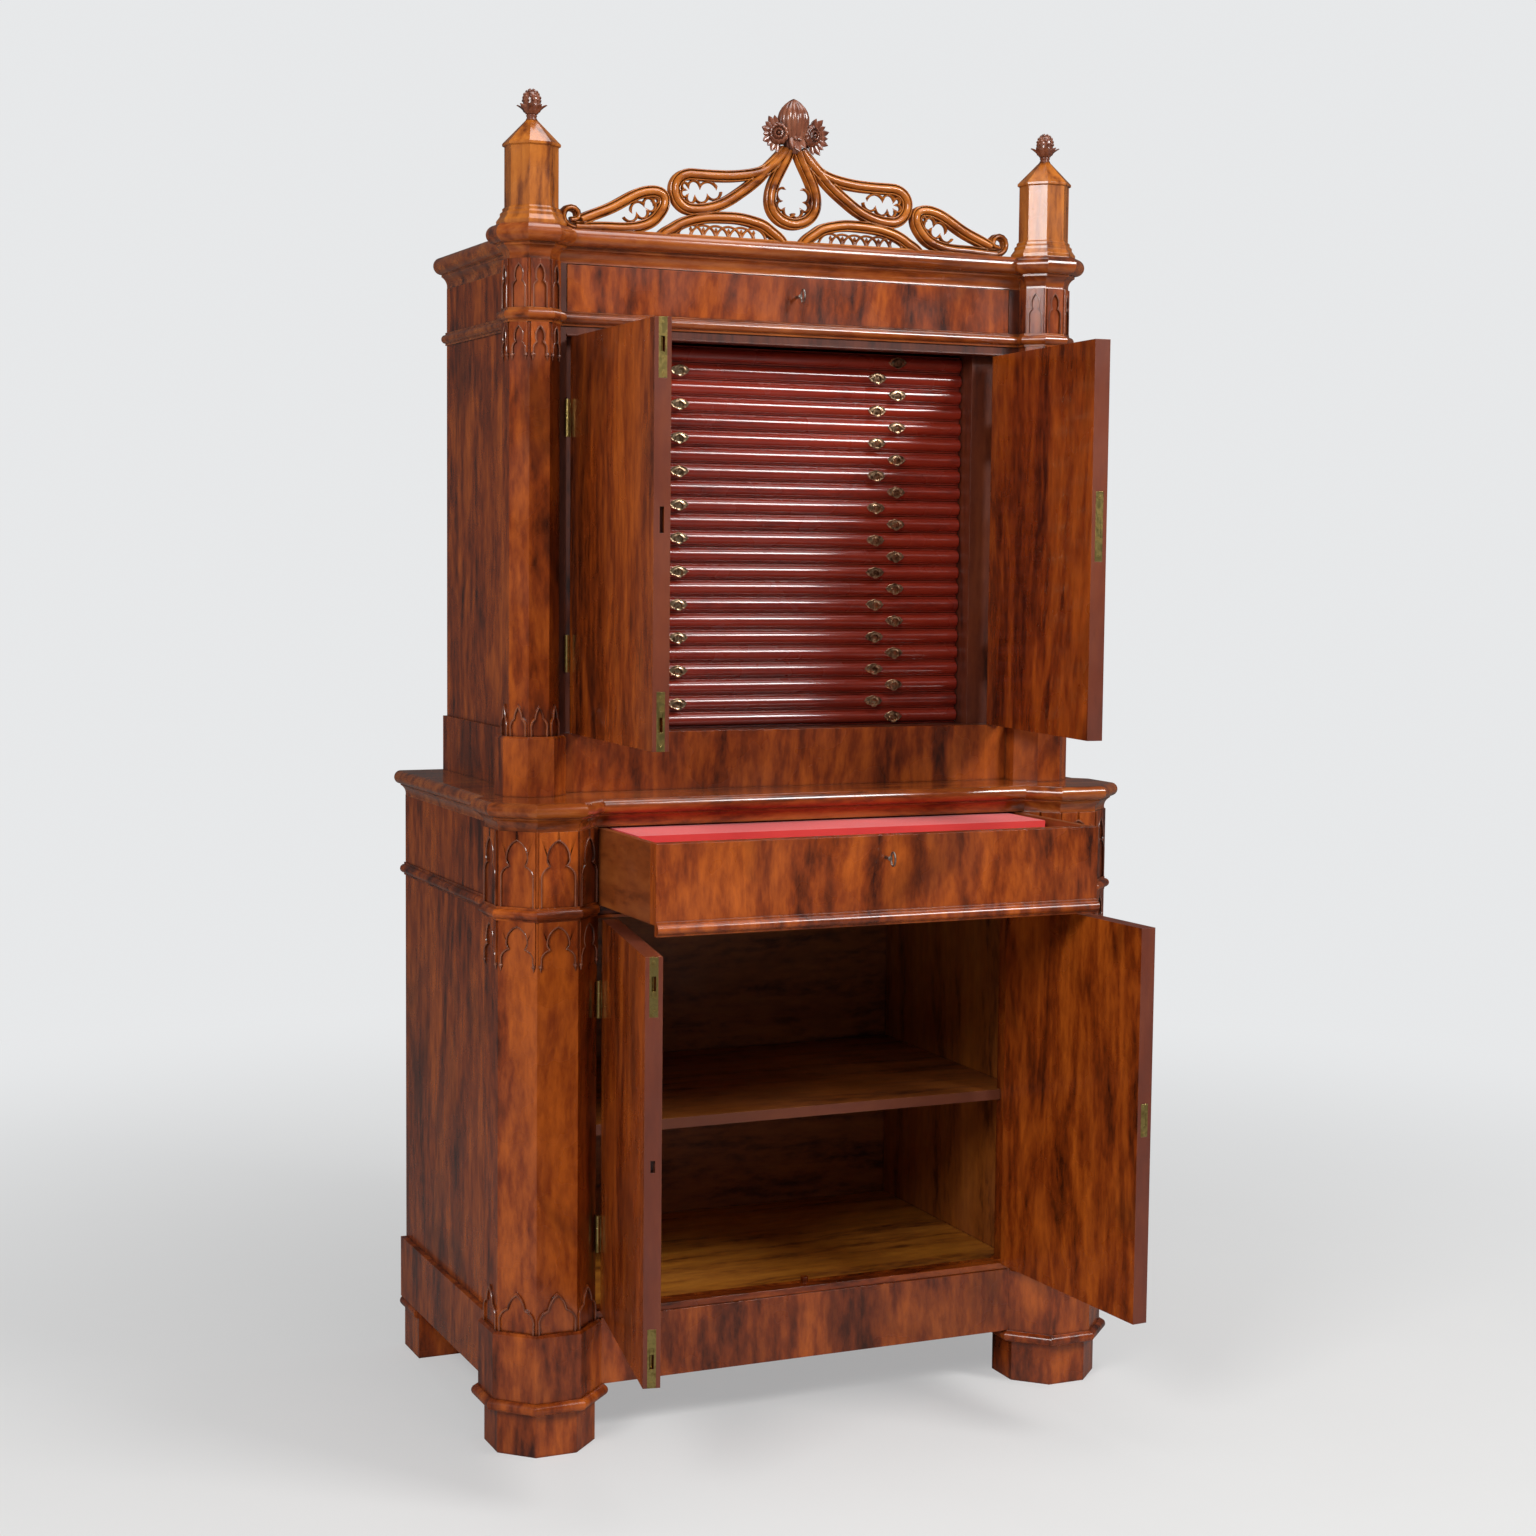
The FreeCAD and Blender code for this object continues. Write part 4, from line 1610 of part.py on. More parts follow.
def make_all():
    """Make every node's pieces in the cabinet's frame."""
    nodes = {
        "feet": make_feet(),
        "lower_plinth": make_lower_plinth(),
        "lower_columns": make_lower_columns(),
        "lower_side_panels": make_lower_side_panels(),
        "lower_back_panel": make_lower_back_panel(),
        "lower_boards": make_lower_boards(),
        "lower_band": make_lower_band(),
        "lower_column_tracery": make_lower_column_tracery(),
        "top_slab": make_top_slab(),
        "upper_plinth": make_upper_plinth(),
        "upper_columns": make_upper_columns(),
        "upper_side_panels": make_upper_side_panels(),
        "upper_back_panel": make_upper_back_panel(),
        "upper_boards": make_upper_boards(),
        "drawer_runners": make_drawer_runners(),
        "upper_band": make_upper_band(),
        "upper_column_tracery": make_upper_column_tracery(),
        "cornice": make_cornice(),
        "turrets": make_turrets(),
        "crest": make_crest(),
        "door_hinges": make_door_hinges(),
    }
    let_in_hinges(nodes)
    nodes.update(make_doors())
    nodes.update(make_lower_drawer())
    nodes.update(make_upper_drawer())
    for index in range(INNER_DRAWER_COUNT):
        nodes[f"inner_drawer_{index + 1:02d}"] = make_inner_drawer(index)
    return nodes


def write_node(name, pieces):
    """Write one node's solids, moved to the cabinet's origin."""
    solids = [solid for piece in pieces for solid in piece.Solids]
    compound = Part.makeCompound(solids)
    place(compound, 0, -ORIGIN_Y, 0).exportStep(f"parts/{name}.step")


os.makedirs("parts", exist_ok=True)
for node_name, node_pieces in make_all().items():
    write_node(node_name, node_pieces)
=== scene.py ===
"""Looks of the open cabinet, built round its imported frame."""
import logging
import math
from dataclasses import dataclass
from enum import Enum
from typing import Callable, ClassVar, Optional, Sequence, Union

import bmesh
import bpy
from bpy.types import Material, Mesh, MeshPolygon, Node, NodeSocket, NodeTree, Object
from mathutils import Euler, Matrix, Vector
from mathutils.geometry import interpolate_bezier


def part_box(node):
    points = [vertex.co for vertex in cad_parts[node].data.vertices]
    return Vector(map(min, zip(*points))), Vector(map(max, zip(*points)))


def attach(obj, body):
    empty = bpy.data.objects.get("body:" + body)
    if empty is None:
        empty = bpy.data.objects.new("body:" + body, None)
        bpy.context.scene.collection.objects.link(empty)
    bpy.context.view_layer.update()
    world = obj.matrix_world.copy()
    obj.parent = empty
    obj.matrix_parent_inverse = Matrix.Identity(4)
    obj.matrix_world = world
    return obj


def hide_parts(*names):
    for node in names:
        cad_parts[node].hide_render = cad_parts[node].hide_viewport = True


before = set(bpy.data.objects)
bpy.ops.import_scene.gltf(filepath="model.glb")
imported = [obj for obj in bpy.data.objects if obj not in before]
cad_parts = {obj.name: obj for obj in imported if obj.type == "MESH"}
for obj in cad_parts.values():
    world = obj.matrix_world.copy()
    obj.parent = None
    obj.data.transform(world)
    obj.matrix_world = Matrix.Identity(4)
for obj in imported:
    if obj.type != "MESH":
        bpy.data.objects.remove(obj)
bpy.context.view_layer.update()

LOG = logging.getLogger("cabinet")
Colour = tuple[float, float, float]
Point = tuple[float, float, float]
Outline = list[tuple[float, float]]
Station = tuple[float, float, float]
Face = tuple[int, ...]
Input = Union[NodeSocket, float, Point]
TRIM = "trim"
TRIM_COVER = 0.85
TRIM_ROUGHER = 0.12
MOTTLE_DEPTH = 0.45
MIDDLE_STOP = 0.42
FIBRE_DRIFT = 0.09
SHIFT_PER_SEED = (0.37, 0.53, 0.91)
COAT_ROUGHNESS = 0.12
WOOD_IOR = 1.46
# Painted shade in crevices: how far ambient occlusion looks, and how dark it paints the hollows.
CREVICE_SHADE_REACH = 0.010
PAINTED_CREVICE_SHADE = 0.75
THREADS_PER_METRE = 420.0
EIGHTH_TURN = math.pi / 4
FIRST_DOOR_SEED = 20
FIRST_BOARD_SEED = 40
MERGE_DISTANCE = 1e-6
SHARP_DEGREES = 38.0
CAD_SHARP_DEGREES = 25.0
RIBBED_SHARP_DEGREES = 60.0
TURNED_SIDES = 10
FACING = 0.5


class Grain(Enum):
    """The way the fibres run in a piece of wood."""

    UPRIGHT = "upright"
    ACROSS = "across"
    DEEP = "deep"
    ROUND_THE_CASE = "round the case"


class Slot(Enum):
    """The material slots of the record that pieces made here belong to."""

    MAHOGANY = "mahogany"
    GOLDEN = "golden_mahogany"
    RED = "red_mahogany"
    PINE = "pine"
    BRASS = "brass"
    STEEL = "steel"


class Graph:
    """A node tree with short ways to add nodes and wires."""

    def __init__(self, tree: NodeTree) -> None:
        """Keep the tree that the nodes go into."""
        self.tree = tree

    def add(self, kind: str, inputs: Optional[dict] = None, **settings: object) -> Node:
        """Add a node, set its properties and fill its inputs.

        Args:
            kind: the node's type name.
            inputs: values or output sockets by input name or number.
            settings: properties of the node.

        Returns:
            The new node.
        """
        node = self.tree.nodes.new(kind)
        for name, value in settings.items():
            setattr(node, name, value)
        self.fill(node, inputs or {})
        return node

    def fill(self, node: Node, inputs: dict) -> None:
        """Fill a node's inputs by name or number with values or output sockets."""
        for name, value in inputs.items():
            self.put(node.inputs[name], value)

    def put(self, socket: NodeSocket, value: Input) -> None:
        """Wire an output into a socket, or set the socket's own value.

        Args:
            socket: the input to fill.
            value: an output, or the value itself.
        """
        if isinstance(value, NodeSocket):
            self.tree.links.new(value, socket)
        else:
            socket.default_value = value

    def own_place(self) -> NodeSocket:
        """Return the object's own coordinates."""
        return self.add("ShaderNodeTexCoord").outputs["Object"]

    def bump(self, shader: Node, inputs: dict) -> None:
        """Put a Bump node with the given inputs before a shader's normal."""
        self.put(shader.inputs["Normal"], self.add("ShaderNodeBump", inputs).outputs[0])

    def math(self, operation: str, *values: Input) -> NodeSocket:
        """Return the result of a Math node on the values."""
        return self.add("ShaderNodeMath", dict(enumerate(values)), operation=operation).outputs[0]

    def vector(self, operation: str, *values: Input) -> NodeSocket:
        """Return the result of a Vector Math node on the values."""
        return self.add("ShaderNodeVectorMath", dict(enumerate(values)), operation=operation).outputs[0]

    def noise(
        self, vector: NodeSocket, scale: Input, detail: float = 2.0, rough: float = 0.5,
        warp: float = 0.0,
    ) -> NodeSocket:
        """Add a noise texture.

        Args:
            vector: the coordinates that it is drawn over.
            scale: how many times finer than a metre it is.
            detail: how many finer layers lie on it.
            rough: how strong the finer layers are.
            warp: how far it is bent.

        Returns:
            The noise, from 0 to 1.
        """
        return self.add("ShaderNodeTexNoise", {
            "Vector": vector, "Scale": scale, "Detail": detail, "Roughness": rough, "Distortion": warp,
        }).outputs[0]

    def stretched_noise(self, vector: NodeSocket, along: float, **settings: Input) -> NodeSocket:
        """Return a noise whose grain is drawn out along Z, by a share of Z's own scale."""
        return self.noise(self.vector("MULTIPLY", vector, (1.0, 1.0, along)), **settings)

    def spread(
        self, value: NodeSocket, low: float, high: float, to_low: float = 0.0, to_high: float = 1.0
    ) -> NodeSocket:
        """Return a value mapped smoothly from one range to another."""
        inputs = {"Value": value, "From Min": low, "From Max": high, "To Min": to_low, "To Max": to_high}
        return self.add("ShaderNodeMapRange", inputs, interpolation_type="SMOOTHSTEP").outputs[0]

    def mix(self, share: Input, first: Input, second: Input) -> NodeSocket:
        """Mix two colours by a share.

        Args:
            share: how much of the second colour shows.
            first: one colour.
            second: the other.

        Returns:
            The mixed colour.
        """
        node = self.add("ShaderNodeMix", data_type="RGBA")
        for socket, value in zip([s for s in node.inputs if s.enabled], (share, first, second)):
            self.put(socket, value)
        return [s for s in node.outputs if s.enabled][0]


def opaque(colour: Colour) -> tuple[float, float, float, float]:
    """Return a colour with full alpha."""
    return (*colour, 1.0)


def shader_group(name: str, inputs: dict, outputs: dict) -> tuple[Graph, Node, Node]:
    """Make an empty shader group with its sockets.

    Args:
        name: the group's name.
        inputs: default values by socket name; three numbers make a vector socket.
        outputs: socket kinds by socket name.

    Returns:
        The group's graph, its input node and its output node.
    """
    tree = bpy.data.node_groups.new(name, "ShaderNodeTree")
    for label, value in inputs.items():
        kind = "NodeSocketVector" if isinstance(value, tuple) else "NodeSocketFloat"
        socket = tree.interface.new_socket(name=label, in_out="INPUT", socket_type=kind)
        socket.default_value = value
    for label, kind in outputs.items():
        tree.interface.new_socket(name=label, in_out="OUTPUT", socket_type=kind)
    graph = Graph(tree)
    return graph, graph.add("NodeGroupInput"), graph.add("NodeGroupOutput")


class SharedEffects:
    """The shader groups that more than one finish uses."""

    def __init__(self) -> None:
        """Build each group once."""
        self.wood = self._wood()
        self.edges = self._edges()
        self.tarnish = self._tarnish()

    def _wood(self) -> NodeTree:
        """Build the figure of polished wood, with its fibres along the vector's Z.

        Returns:
            The group.
        """
        graph, given, out = shader_group(
            "wood_figure",
            {"Vector": (0.0, 0.0, 0.0), "Stripe Scale": 38.0, "Cloud Scale": 6.0, "Flame": 0.5},
            {"Figure": "NodeSocketFloat", "Clouds": "NodeSocketFloat", "Pores": "NodeSocketFloat",
             "Knots": "NodeSocketFloat"},
        )
        vector = given.outputs["Vector"]
        drift = graph.stretched_noise(vector, along=0.5, scale=2.6, detail=2.0)
        drift = graph.math("MULTIPLY", graph.math("SUBTRACT", drift, 0.5), FIBRE_DRIFT)
        sideways = graph.add("ShaderNodeCombineXYZ", {0: drift, 1: drift}).outputs[0]
        moved = graph.vector("ADD", vector, sideways)
        scale = given.outputs["Stripe Scale"]
        stripes = graph.stretched_noise(moved, along=0.06, scale=scale, detail=3.0)
        flame = graph.stretched_noise(moved, along=0.22, scale=11.0, detail=3.0, rough=0.55, warp=1.2)
        broad = graph.add("ShaderNodeMix", {
            0: given.outputs["Flame"], 2: graph.spread(stripes, 0.22, 0.78),
            3: graph.spread(flame, 0.28, 0.72),
        }, data_type="FLOAT").outputs[0]
        mottle = graph.stretched_noise(moved, along=0.30, scale=75.0, detail=4.0, rough=0.65)
        mottle = graph.math("SUBTRACT", graph.spread(mottle, 0.25, 0.75), 0.5)
        figure = graph.math("MULTIPLY_ADD", mottle, MOTTLE_DEPTH, broad)
        scale = given.outputs["Cloud Scale"]
        clouds = graph.stretched_noise(moved, along=0.45, scale=scale, detail=4.0, rough=0.6, warp=0.8)
        fibres = graph.stretched_noise(moved, along=0.03, scale=520.0, detail=2.0, rough=0.7)
        tall = graph.vector("MULTIPLY", vector, (1.0, 1.0, 0.55))
        knot = graph.add("ShaderNodeTexVoronoi", {"Vector": tall, "Scale": 4.2, "Randomness": 1.0})
        graph.fill(out, {
            "Figure": figure, "Clouds": graph.spread(clouds, 0.50, 0.72),
            "Pores": graph.spread(fibres, 0.58, 0.74),
            "Knots": graph.spread(knot.outputs["Distance"], 0.10, 0.03),
        })
        return graph.tree

    def _edges(self) -> NodeTree:
        """Build softened corners, the mask of the wear along them and the mask of painted shade in
        crevices.

        Returns:
            The group.
        """
        graph, given, out = shader_group(
            "softened_edges", {"Radius": 0.0015, "Wear": 0.6},
            {"Normal": "NodeSocketVector", "Mask": "NodeSocketFloat", "Painted Crevice Shade": "NodeSocketFloat"},
        )
        bevel = graph.add("ShaderNodeBevel", {"Radius": given.outputs["Radius"]}, samples=4)
        normals = {0: bevel.outputs[0], 1: graph.add("ShaderNodeNewGeometry").outputs["Normal"]}
        alike = graph.add("ShaderNodeVectorMath", normals, operation="DOT_PRODUCT").outputs["Value"]
        place = graph.own_place()
        patches = graph.spread(graph.noise(place, scale=24.0, detail=3.0), 0.42, 0.62)
        edge = graph.spread(graph.math("SUBTRACT", 1.0, alike), 0.02, 0.20)
        mask = graph.math("MULTIPLY", graph.math("MULTIPLY", edge, patches), given.outputs["Wear"])
        # Painted shade: ambient occlusion over a short reach darkens the crevices.
        air = graph.add("ShaderNodeAmbientOcclusion", {"Distance": CREVICE_SHADE_REACH}, samples=4)
        crevice_shade = graph.spread(air.outputs["AO"], 0.80, 0.30)
        graph.fill(out, {"Normal": bevel.outputs[0], "Mask": mask, "Painted Crevice Shade": crevice_shade})
        return graph.tree

    def _tarnish(self) -> NodeTree:
        """Build the dull patches and fine scratches of old metal.

        Returns:
            The group.
        """
        graph, given, out = shader_group(
            "tarnish", {"Vector": (0.0, 0.0, 0.0), "Scale": 90.0},
            {"Patches": "NodeSocketFloat", "Scratches": "NodeSocketFloat"},
        )
        vector = given.outputs["Vector"]
        patches = graph.noise(vector, scale=given.outputs["Scale"], detail=4.0, rough=0.6)
        lines = graph.stretched_noise(vector, along=0.06, scale=1400.0, detail=2.0)
        graph.fill(out, {
            "Patches": graph.spread(patches, 0.40, 0.68), "Scratches": graph.spread(lines, 0.50, 0.75),
        })
        return graph.tree

    def place(self, graph: Graph, tree: NodeTree, inputs: dict) -> Node:
        """Put one of the groups into a material's graph.

        Args:
            graph: the material's graph.
            tree: the group.
            inputs: values or outputs by input name.

        Returns:
            The group's node.
        """
        node = graph.add("ShaderNodeGroup", node_tree=tree)
        graph.fill(node, inputs)
        return node


def empty_material(name: str) -> tuple[Material, Graph, Node]:
    """Make a material with nothing but its surface shader.

    Args:
        name: the material's name.

    Returns:
        The material, its graph and its Principled shader.
    """
    material = bpy.data.materials.new(name)
    material.use_nodes = True
    material.node_tree.nodes.clear()
    graph = Graph(material.node_tree)
    shader = graph.add("ShaderNodeBsdfPrincipled")
    graph.add("ShaderNodeOutputMaterial", {"Surface": shader.outputs[0]})
    return material, graph, shader


@dataclass(frozen=True)
class WoodFinish:
    """A polished or plain wood.

    dark, middle and light are the colours of the figure, and dark is also painted as shade into
    crevices; wear is that of rubbed corners and trim that of the faces that a piece marks as trimmed.
    """

    name: str
    dark: Colour
    middle: Colour
    light: Colour
    wear: Colour
    trim: Colour = (0.130, 0.028, 0.014)
    stripe_scale: float = 38.0
    cloud_scale: float = 5.0
    flame: float = 0.65
    cloud_depth: float = 0.62
    knot_depth: float = 0.0
    polish: float = 0.45
    roughness: float = 0.28
    pore_depth: float = 0.18
    edge_radius: float = 0.0015
    rubbed: float = 0.5
    smear_scale: float = 9.0
    smoothest: float = 0.8
    roughest: float = 1.25
    pore_strength: float = 0.10
    pore_hollow: float = 0.0003

    def material(self, effects: SharedEffects, grain: Grain, seed: int) -> Material:
        """Build the material for one grain direction and one cut of the wood.

        Args:
            effects: the shared shader groups.
            grain: the way the fibres run.
            seed: moves the figure, so that no two pieces are alike.

        Returns:
            The material.
        """
        material, graph, shader = empty_material(f"{self.name}_{grain.name.lower()}_{seed}")
        vector = self._oriented(graph, grain, seed)
        wood = effects.place(graph, effects.wood, {
            "Vector": vector, "Stripe Scale": self.stripe_scale, "Cloud Scale": self.cloud_scale,
            "Flame": self.flame,
        }).outputs
        edges = effects.place(graph, effects.edges, {
            "Radius": self.edge_radius, "Wear": self.rubbed,
        }).outputs
        ramp = graph.add("ShaderNodeValToRGB", {"Fac": wood["Figure"]})
        stops = ramp.color_ramp.elements
        stops[0].color = opaque(self.dark)
        stops[1].color = opaque(self.light)
        stops.new(MIDDLE_STOP).color = opaque(self.middle)
        tone = ramp.outputs[0]
        trimmed = graph.add("ShaderNodeAttribute", attribute_name=TRIM).outputs["Fac"]
        # The crevice mask paints shade into hollows in the dark colour; the other masks are the wood's
        # own colour.
        for mask, depth, colour in (
            (wood["Clouds"], self.cloud_depth, self.dark), (wood["Knots"], self.knot_depth, self.dark),
            (trimmed, TRIM_COVER, self.trim), (wood["Pores"], self.pore_depth, self.dark),
            (edges["Painted Crevice Shade"], PAINTED_CREVICE_SHADE, self.dark), (edges["Mask"], 1.0, self.wear),
        ):
            tone = graph.mix(graph.math("MULTIPLY", mask, depth), tone, opaque(colour))
        least, most = self.roughness * self.smoothest, self.roughness * self.roughest
        smear = graph.noise(vector, scale=self.smear_scale, detail=3.0)
        smear = graph.spread(smear, 0.30, 0.70, least, most)
        graph.fill(shader, {
            "Base Color": tone, "Roughness": graph.math("MULTIPLY_ADD", trimmed, TRIM_ROUGHER, smear),
            "Coat Weight": self.polish, "Coat Roughness": COAT_ROUGHNESS, "IOR": WOOD_IOR,
        })
        graph.bump(shader, {
            "Height": graph.math("SUBTRACT", 1.0, wood["Pores"]), "Strength": self.pore_strength,
            "Distance": self.pore_hollow, "Normal": edges["Normal"],
        })
        return material

    def _oriented(self, graph: Graph, grain: Grain, seed: int) -> NodeSocket:
        """Turn the object's own coordinates so that the fibres run along Z.

        Args:
            graph: the material's graph.
            grain: the way the fibres run.
            seed: moves the figure along all three axes.

        Returns:
            The turned and moved coordinates.
        """
        turns = {
            Grain.UPRIGHT: (0.0, 0.0, 0.0),
            Grain.ACROSS: (0.0, math.pi / 2, 0.0),
            Grain.DEEP: (math.pi / 2, 0.0, 0.0),
            Grain.ROUND_THE_CASE: (0.0, math.pi / 2, math.pi / 4),
        }
        shift = tuple(seed * part for part in SHIFT_PER_SEED)
        inputs = {"Vector": graph.own_place(), "Location": shift, "Rotation": turns[grain]}
        return graph.add("ShaderNodeMapping", inputs).outputs[0]


@dataclass(frozen=True)
class MetalFinish:
    """Brass, steel or bronze with tarnish and scratches."""

    name: str
    bright: Colour
    dull: Colour
    roughness: float = 0.28
    tarnish_rougher: float = 0.20
    scratch_rougher: float = 0.10
    scratch_strength: float = 0.06
    scratch_hollow: float = 0.0002
    edge_radius: float = 0.0005
    rubbed: float = 0.7

    def material(self, effects: SharedEffects) -> Material:
        """Build the metal's material.

        Args:
            effects: the shared shader groups.

        Returns:
            The material.
        """
        material, graph, shader = empty_material(self.name)
        place = graph.own_place()
        age = effects.place(graph, effects.tarnish, {"Vector": place}).outputs
        edges = effects.place(graph, effects.edges, {
            "Radius": self.edge_radius, "Wear": self.rubbed,
        }).outputs
        bright, dull = opaque(self.bright), opaque(self.dull)
        base = graph.mix(age["Patches"], bright, dull)
        rough = graph.math("MULTIPLY_ADD", age["Patches"], self.tarnish_rougher, self.roughness)
        graph.fill(shader, {
            "Base Color": graph.mix(edges["Mask"], base, bright), "Metallic": 1.0,
            "Roughness": graph.math("MULTIPLY_ADD", age["Scratches"], self.scratch_rougher, rough),
        })
        graph.bump(shader, {
            "Height": age["Scratches"], "Strength": self.scratch_strength,
            "Distance": self.scratch_hollow, "Normal": edges["Normal"],
        })
        return material


@dataclass(frozen=True)
class ClothFinish:
    """The close red cloth on the tray's boards."""

    name: str
    colour: Colour
    shade: Colour
    roughness: float = 0.75
    faded_rougher: float = 0.1
    sheen: float = 0.25
    weave_share: float = -0.25
    fade_share: float = 0.6
    weave_strength: float = 0.3
    thread_height: float = 0.0004

    def material(self, effects: SharedEffects) -> Material:
        """Build the cloth's material, woven of two sets of threads.

        Args:
            effects: the shared shader groups, of which cloth needs none.

        Returns:
            The material.
        """
        material, graph, shader = empty_material(self.name)
        place = graph.own_place()
        threads = {"Vector": place, "Scale": THREADS_PER_METRE, "Distortion": 0.6}
        warp, weft = (
            graph.add("ShaderNodeTexWave", threads, bands_direction=axis).outputs["Fac"] for axis in "XY"
        )
        weave = graph.math("MULTIPLY", warp, weft)
        fade = graph.spread(graph.noise(place, scale=9.0, detail=4.0), 0.30, 0.75)
        faded = graph.math("MULTIPLY", fade, self.fade_share)
        share = graph.math("MULTIPLY_ADD", weave, self.weave_share, faded)
        graph.fill(shader, {
            "Base Color": graph.mix(share, opaque(self.colour), opaque(self.shade)),
            "Roughness": graph.math("MULTIPLY_ADD", fade, self.faded_rougher, self.roughness),
            "Sheen Weight": self.sheen,
        })
        graph.bump(shader, {
            "Height": weave, "Strength": self.weave_strength, "Distance": self.thread_height,
        })
        return material


class Finishes:
    """Every finish of the cabinet, with the materials made from them so far."""

    MAHOGANY = WoodFinish(
        "mahogany", (0.042, 0.007, 0.002), (0.215, 0.034, 0.004), (0.450, 0.094, 0.009),
        (0.46, 0.13, 0.03),
    )
    GOLDEN = WoodFinish(
        "golden_mahogany", (0.120, 0.024, 0.004), (0.400, 0.110, 0.013), (0.580, 0.185, 0.024),
        (0.74, 0.34, 0.09), stripe_scale=50.0, flame=0.2, cloud_depth=0.35, polish=0.7, roughness=0.24,
        edge_radius=0.001,
    )
    BUD = WoodFinish(
        "brown_mahogany", (0.060, 0.015, 0.008), (0.190, 0.058, 0.030), (0.290, 0.105, 0.056),
        (0.60, 0.32, 0.20), stripe_scale=90.0, flame=0.1, cloud_depth=0.3, polish=0.7, roughness=0.26,
        edge_radius=0.0005,
    )
    CORNICE = WoodFinish(
        "warm_mahogany", (0.070, 0.013, 0.003), (0.260, 0.052, 0.008), (0.430, 0.115, 0.019),
        (0.56, 0.22, 0.07), flame=0.3, cloud_depth=0.4, polish=0.8, roughness=0.22,
    )
    # A darker copy of the mahogany: painted shade for the boards inside the upper case.
    PAINTED_SHADE_MAHOGANY = WoodFinish(
        "shaded_mahogany", (0.022, 0.005, 0.003), (0.095, 0.018, 0.006), (0.150, 0.032, 0.010),
        (0.22, 0.07, 0.03), flame=0.4, cloud_depth=0.4, polish=0.15, roughness=0.42,
    )
    RED = WoodFinish(
        "red_mahogany", (0.110, 0.009, 0.005), (0.240, 0.018, 0.008), (0.300, 0.026, 0.010),
        (0.34, 0.06, 0.03), stripe_scale=24.0, flame=0.35, cloud_depth=0.25, pore_depth=0.06, polish=0.9,
        roughness=0.24,
    )
    LINING = WoodFinish(
        "drawer_lining", (0.075, 0.016, 0.004), (0.220, 0.048, 0.009), (0.320, 0.085, 0.017),
        (0.42, 0.17, 0.06), flame=0.3, cloud_depth=0.3, polish=0.15, roughness=0.42,
    )
    PINE = WoodFinish(
        "pine", (0.070, 0.015, 0.002), (0.270, 0.072, 0.009), (0.400, 0.118, 0.015), (0.46, 0.18, 0.04),
        stripe_scale=20.0, cloud_scale=3.0, flame=0.35, cloud_depth=0.45, knot_depth=0.85, polish=0.05,
        roughness=0.52, pore_depth=0.12,
    )
    PALE_PINE = WoodFinish(
        "pale_pine", (0.130, 0.032, 0.004), (0.450, 0.150, 0.015), (0.640, 0.245, 0.025),
        (0.66, 0.30, 0.06), stripe_scale=20.0, cloud_scale=3.0, flame=0.25, cloud_depth=0.35,
        knot_depth=0.6, polish=0.05, roughness=0.5, pore_depth=0.12,
    )
    BRASS = MetalFinish("brass", (0.66, 0.50, 0.17), (0.34, 0.23, 0.07))
    DARK_BRASS = MetalFinish("dark_brass", (0.66, 0.47, 0.29), (0.11, 0.062, 0.032), roughness=0.24)
    STEEL = MetalFinish("steel", (0.52, 0.50, 0.46), (0.18, 0.15, 0.12))
    CLOTH = ClothFinish("red_cloth", (0.78, 0.035, 0.030), (0.62, 0.020, 0.022))

    def __init__(self) -> None:
        """Build the shared groups."""
        self.effects = SharedEffects()
        self._made: dict[tuple, Material] = {}

    def wood(self, finish: WoodFinish, grain: Grain, seed: int = 0) -> Material:
        """Find or make the material of a wood.

        Args:
            finish: the wood.
            grain: the way the fibres run.
            seed: tells one cut of the wood from another.

        Returns:
            The material, made once for each wood, grain and seed.
        """
        key = (finish.name, grain, seed)
        if key not in self._made:
            self._made[key] = finish.material(self.effects, grain, seed)
        return self._made[key]

    def plain(self, finish: Union[MetalFinish, ClothFinish]) -> Material:
        """Find or make the material of a metal or cloth.

        Args:
            finish: the metal or cloth.

        Returns:
            The material, made once.
        """
        if finish.name not in self._made:
            self._made[finish.name] = finish.material(self.effects)
        return self._made[finish.name]


def upward(height: float) -> Vector:
    """Return a vector straight up."""
    return Vector((0.0, 0.0, height))


def once_round(count: int) -> list[float]:
    """Return evenly spaced angles of one full turn."""
    return [2 * math.pi * step / count for step in range(count)]


def new_object(name: str, mesh: Mesh, material: Material) -> Object:
    """Put a mesh into the scene with one material.

    Args:
        name: the object's name.
        mesh: its mesh.
        material: its only material.

    Returns:
        The new object.
    """
    mesh.materials.clear()
    mesh.materials.append(material)
    piece = bpy.data.objects.new(name, mesh)
    bpy.context.scene.collection.objects.link(piece)
    return piece


def finished(piece: Object, body: str, slot: Slot, *nodes: str) -> None:
    """Let a piece ride on its body and hide the solids that it stands for.

    Args:
        piece: the object.
        body: the body that carries it.
        slot: not used.
        nodes: the CAD nodes that it stands for.
    """
    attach(piece, body)
    if nodes:
        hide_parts(*nodes)
    LOG.info("%s rides on %s, %d faces", piece.name, body, len(piece.data.polygons))


def left_of(path: Sequence[Vector], index: int) -> Vector:
    """Return the direction to the left of an upright path at one of its points."""
    course = (path[min(index + 1, len(path) - 1)] - path[max(index - 1, 0)]).normalized()
    return Vector((-course.z, 0.0, course.x))


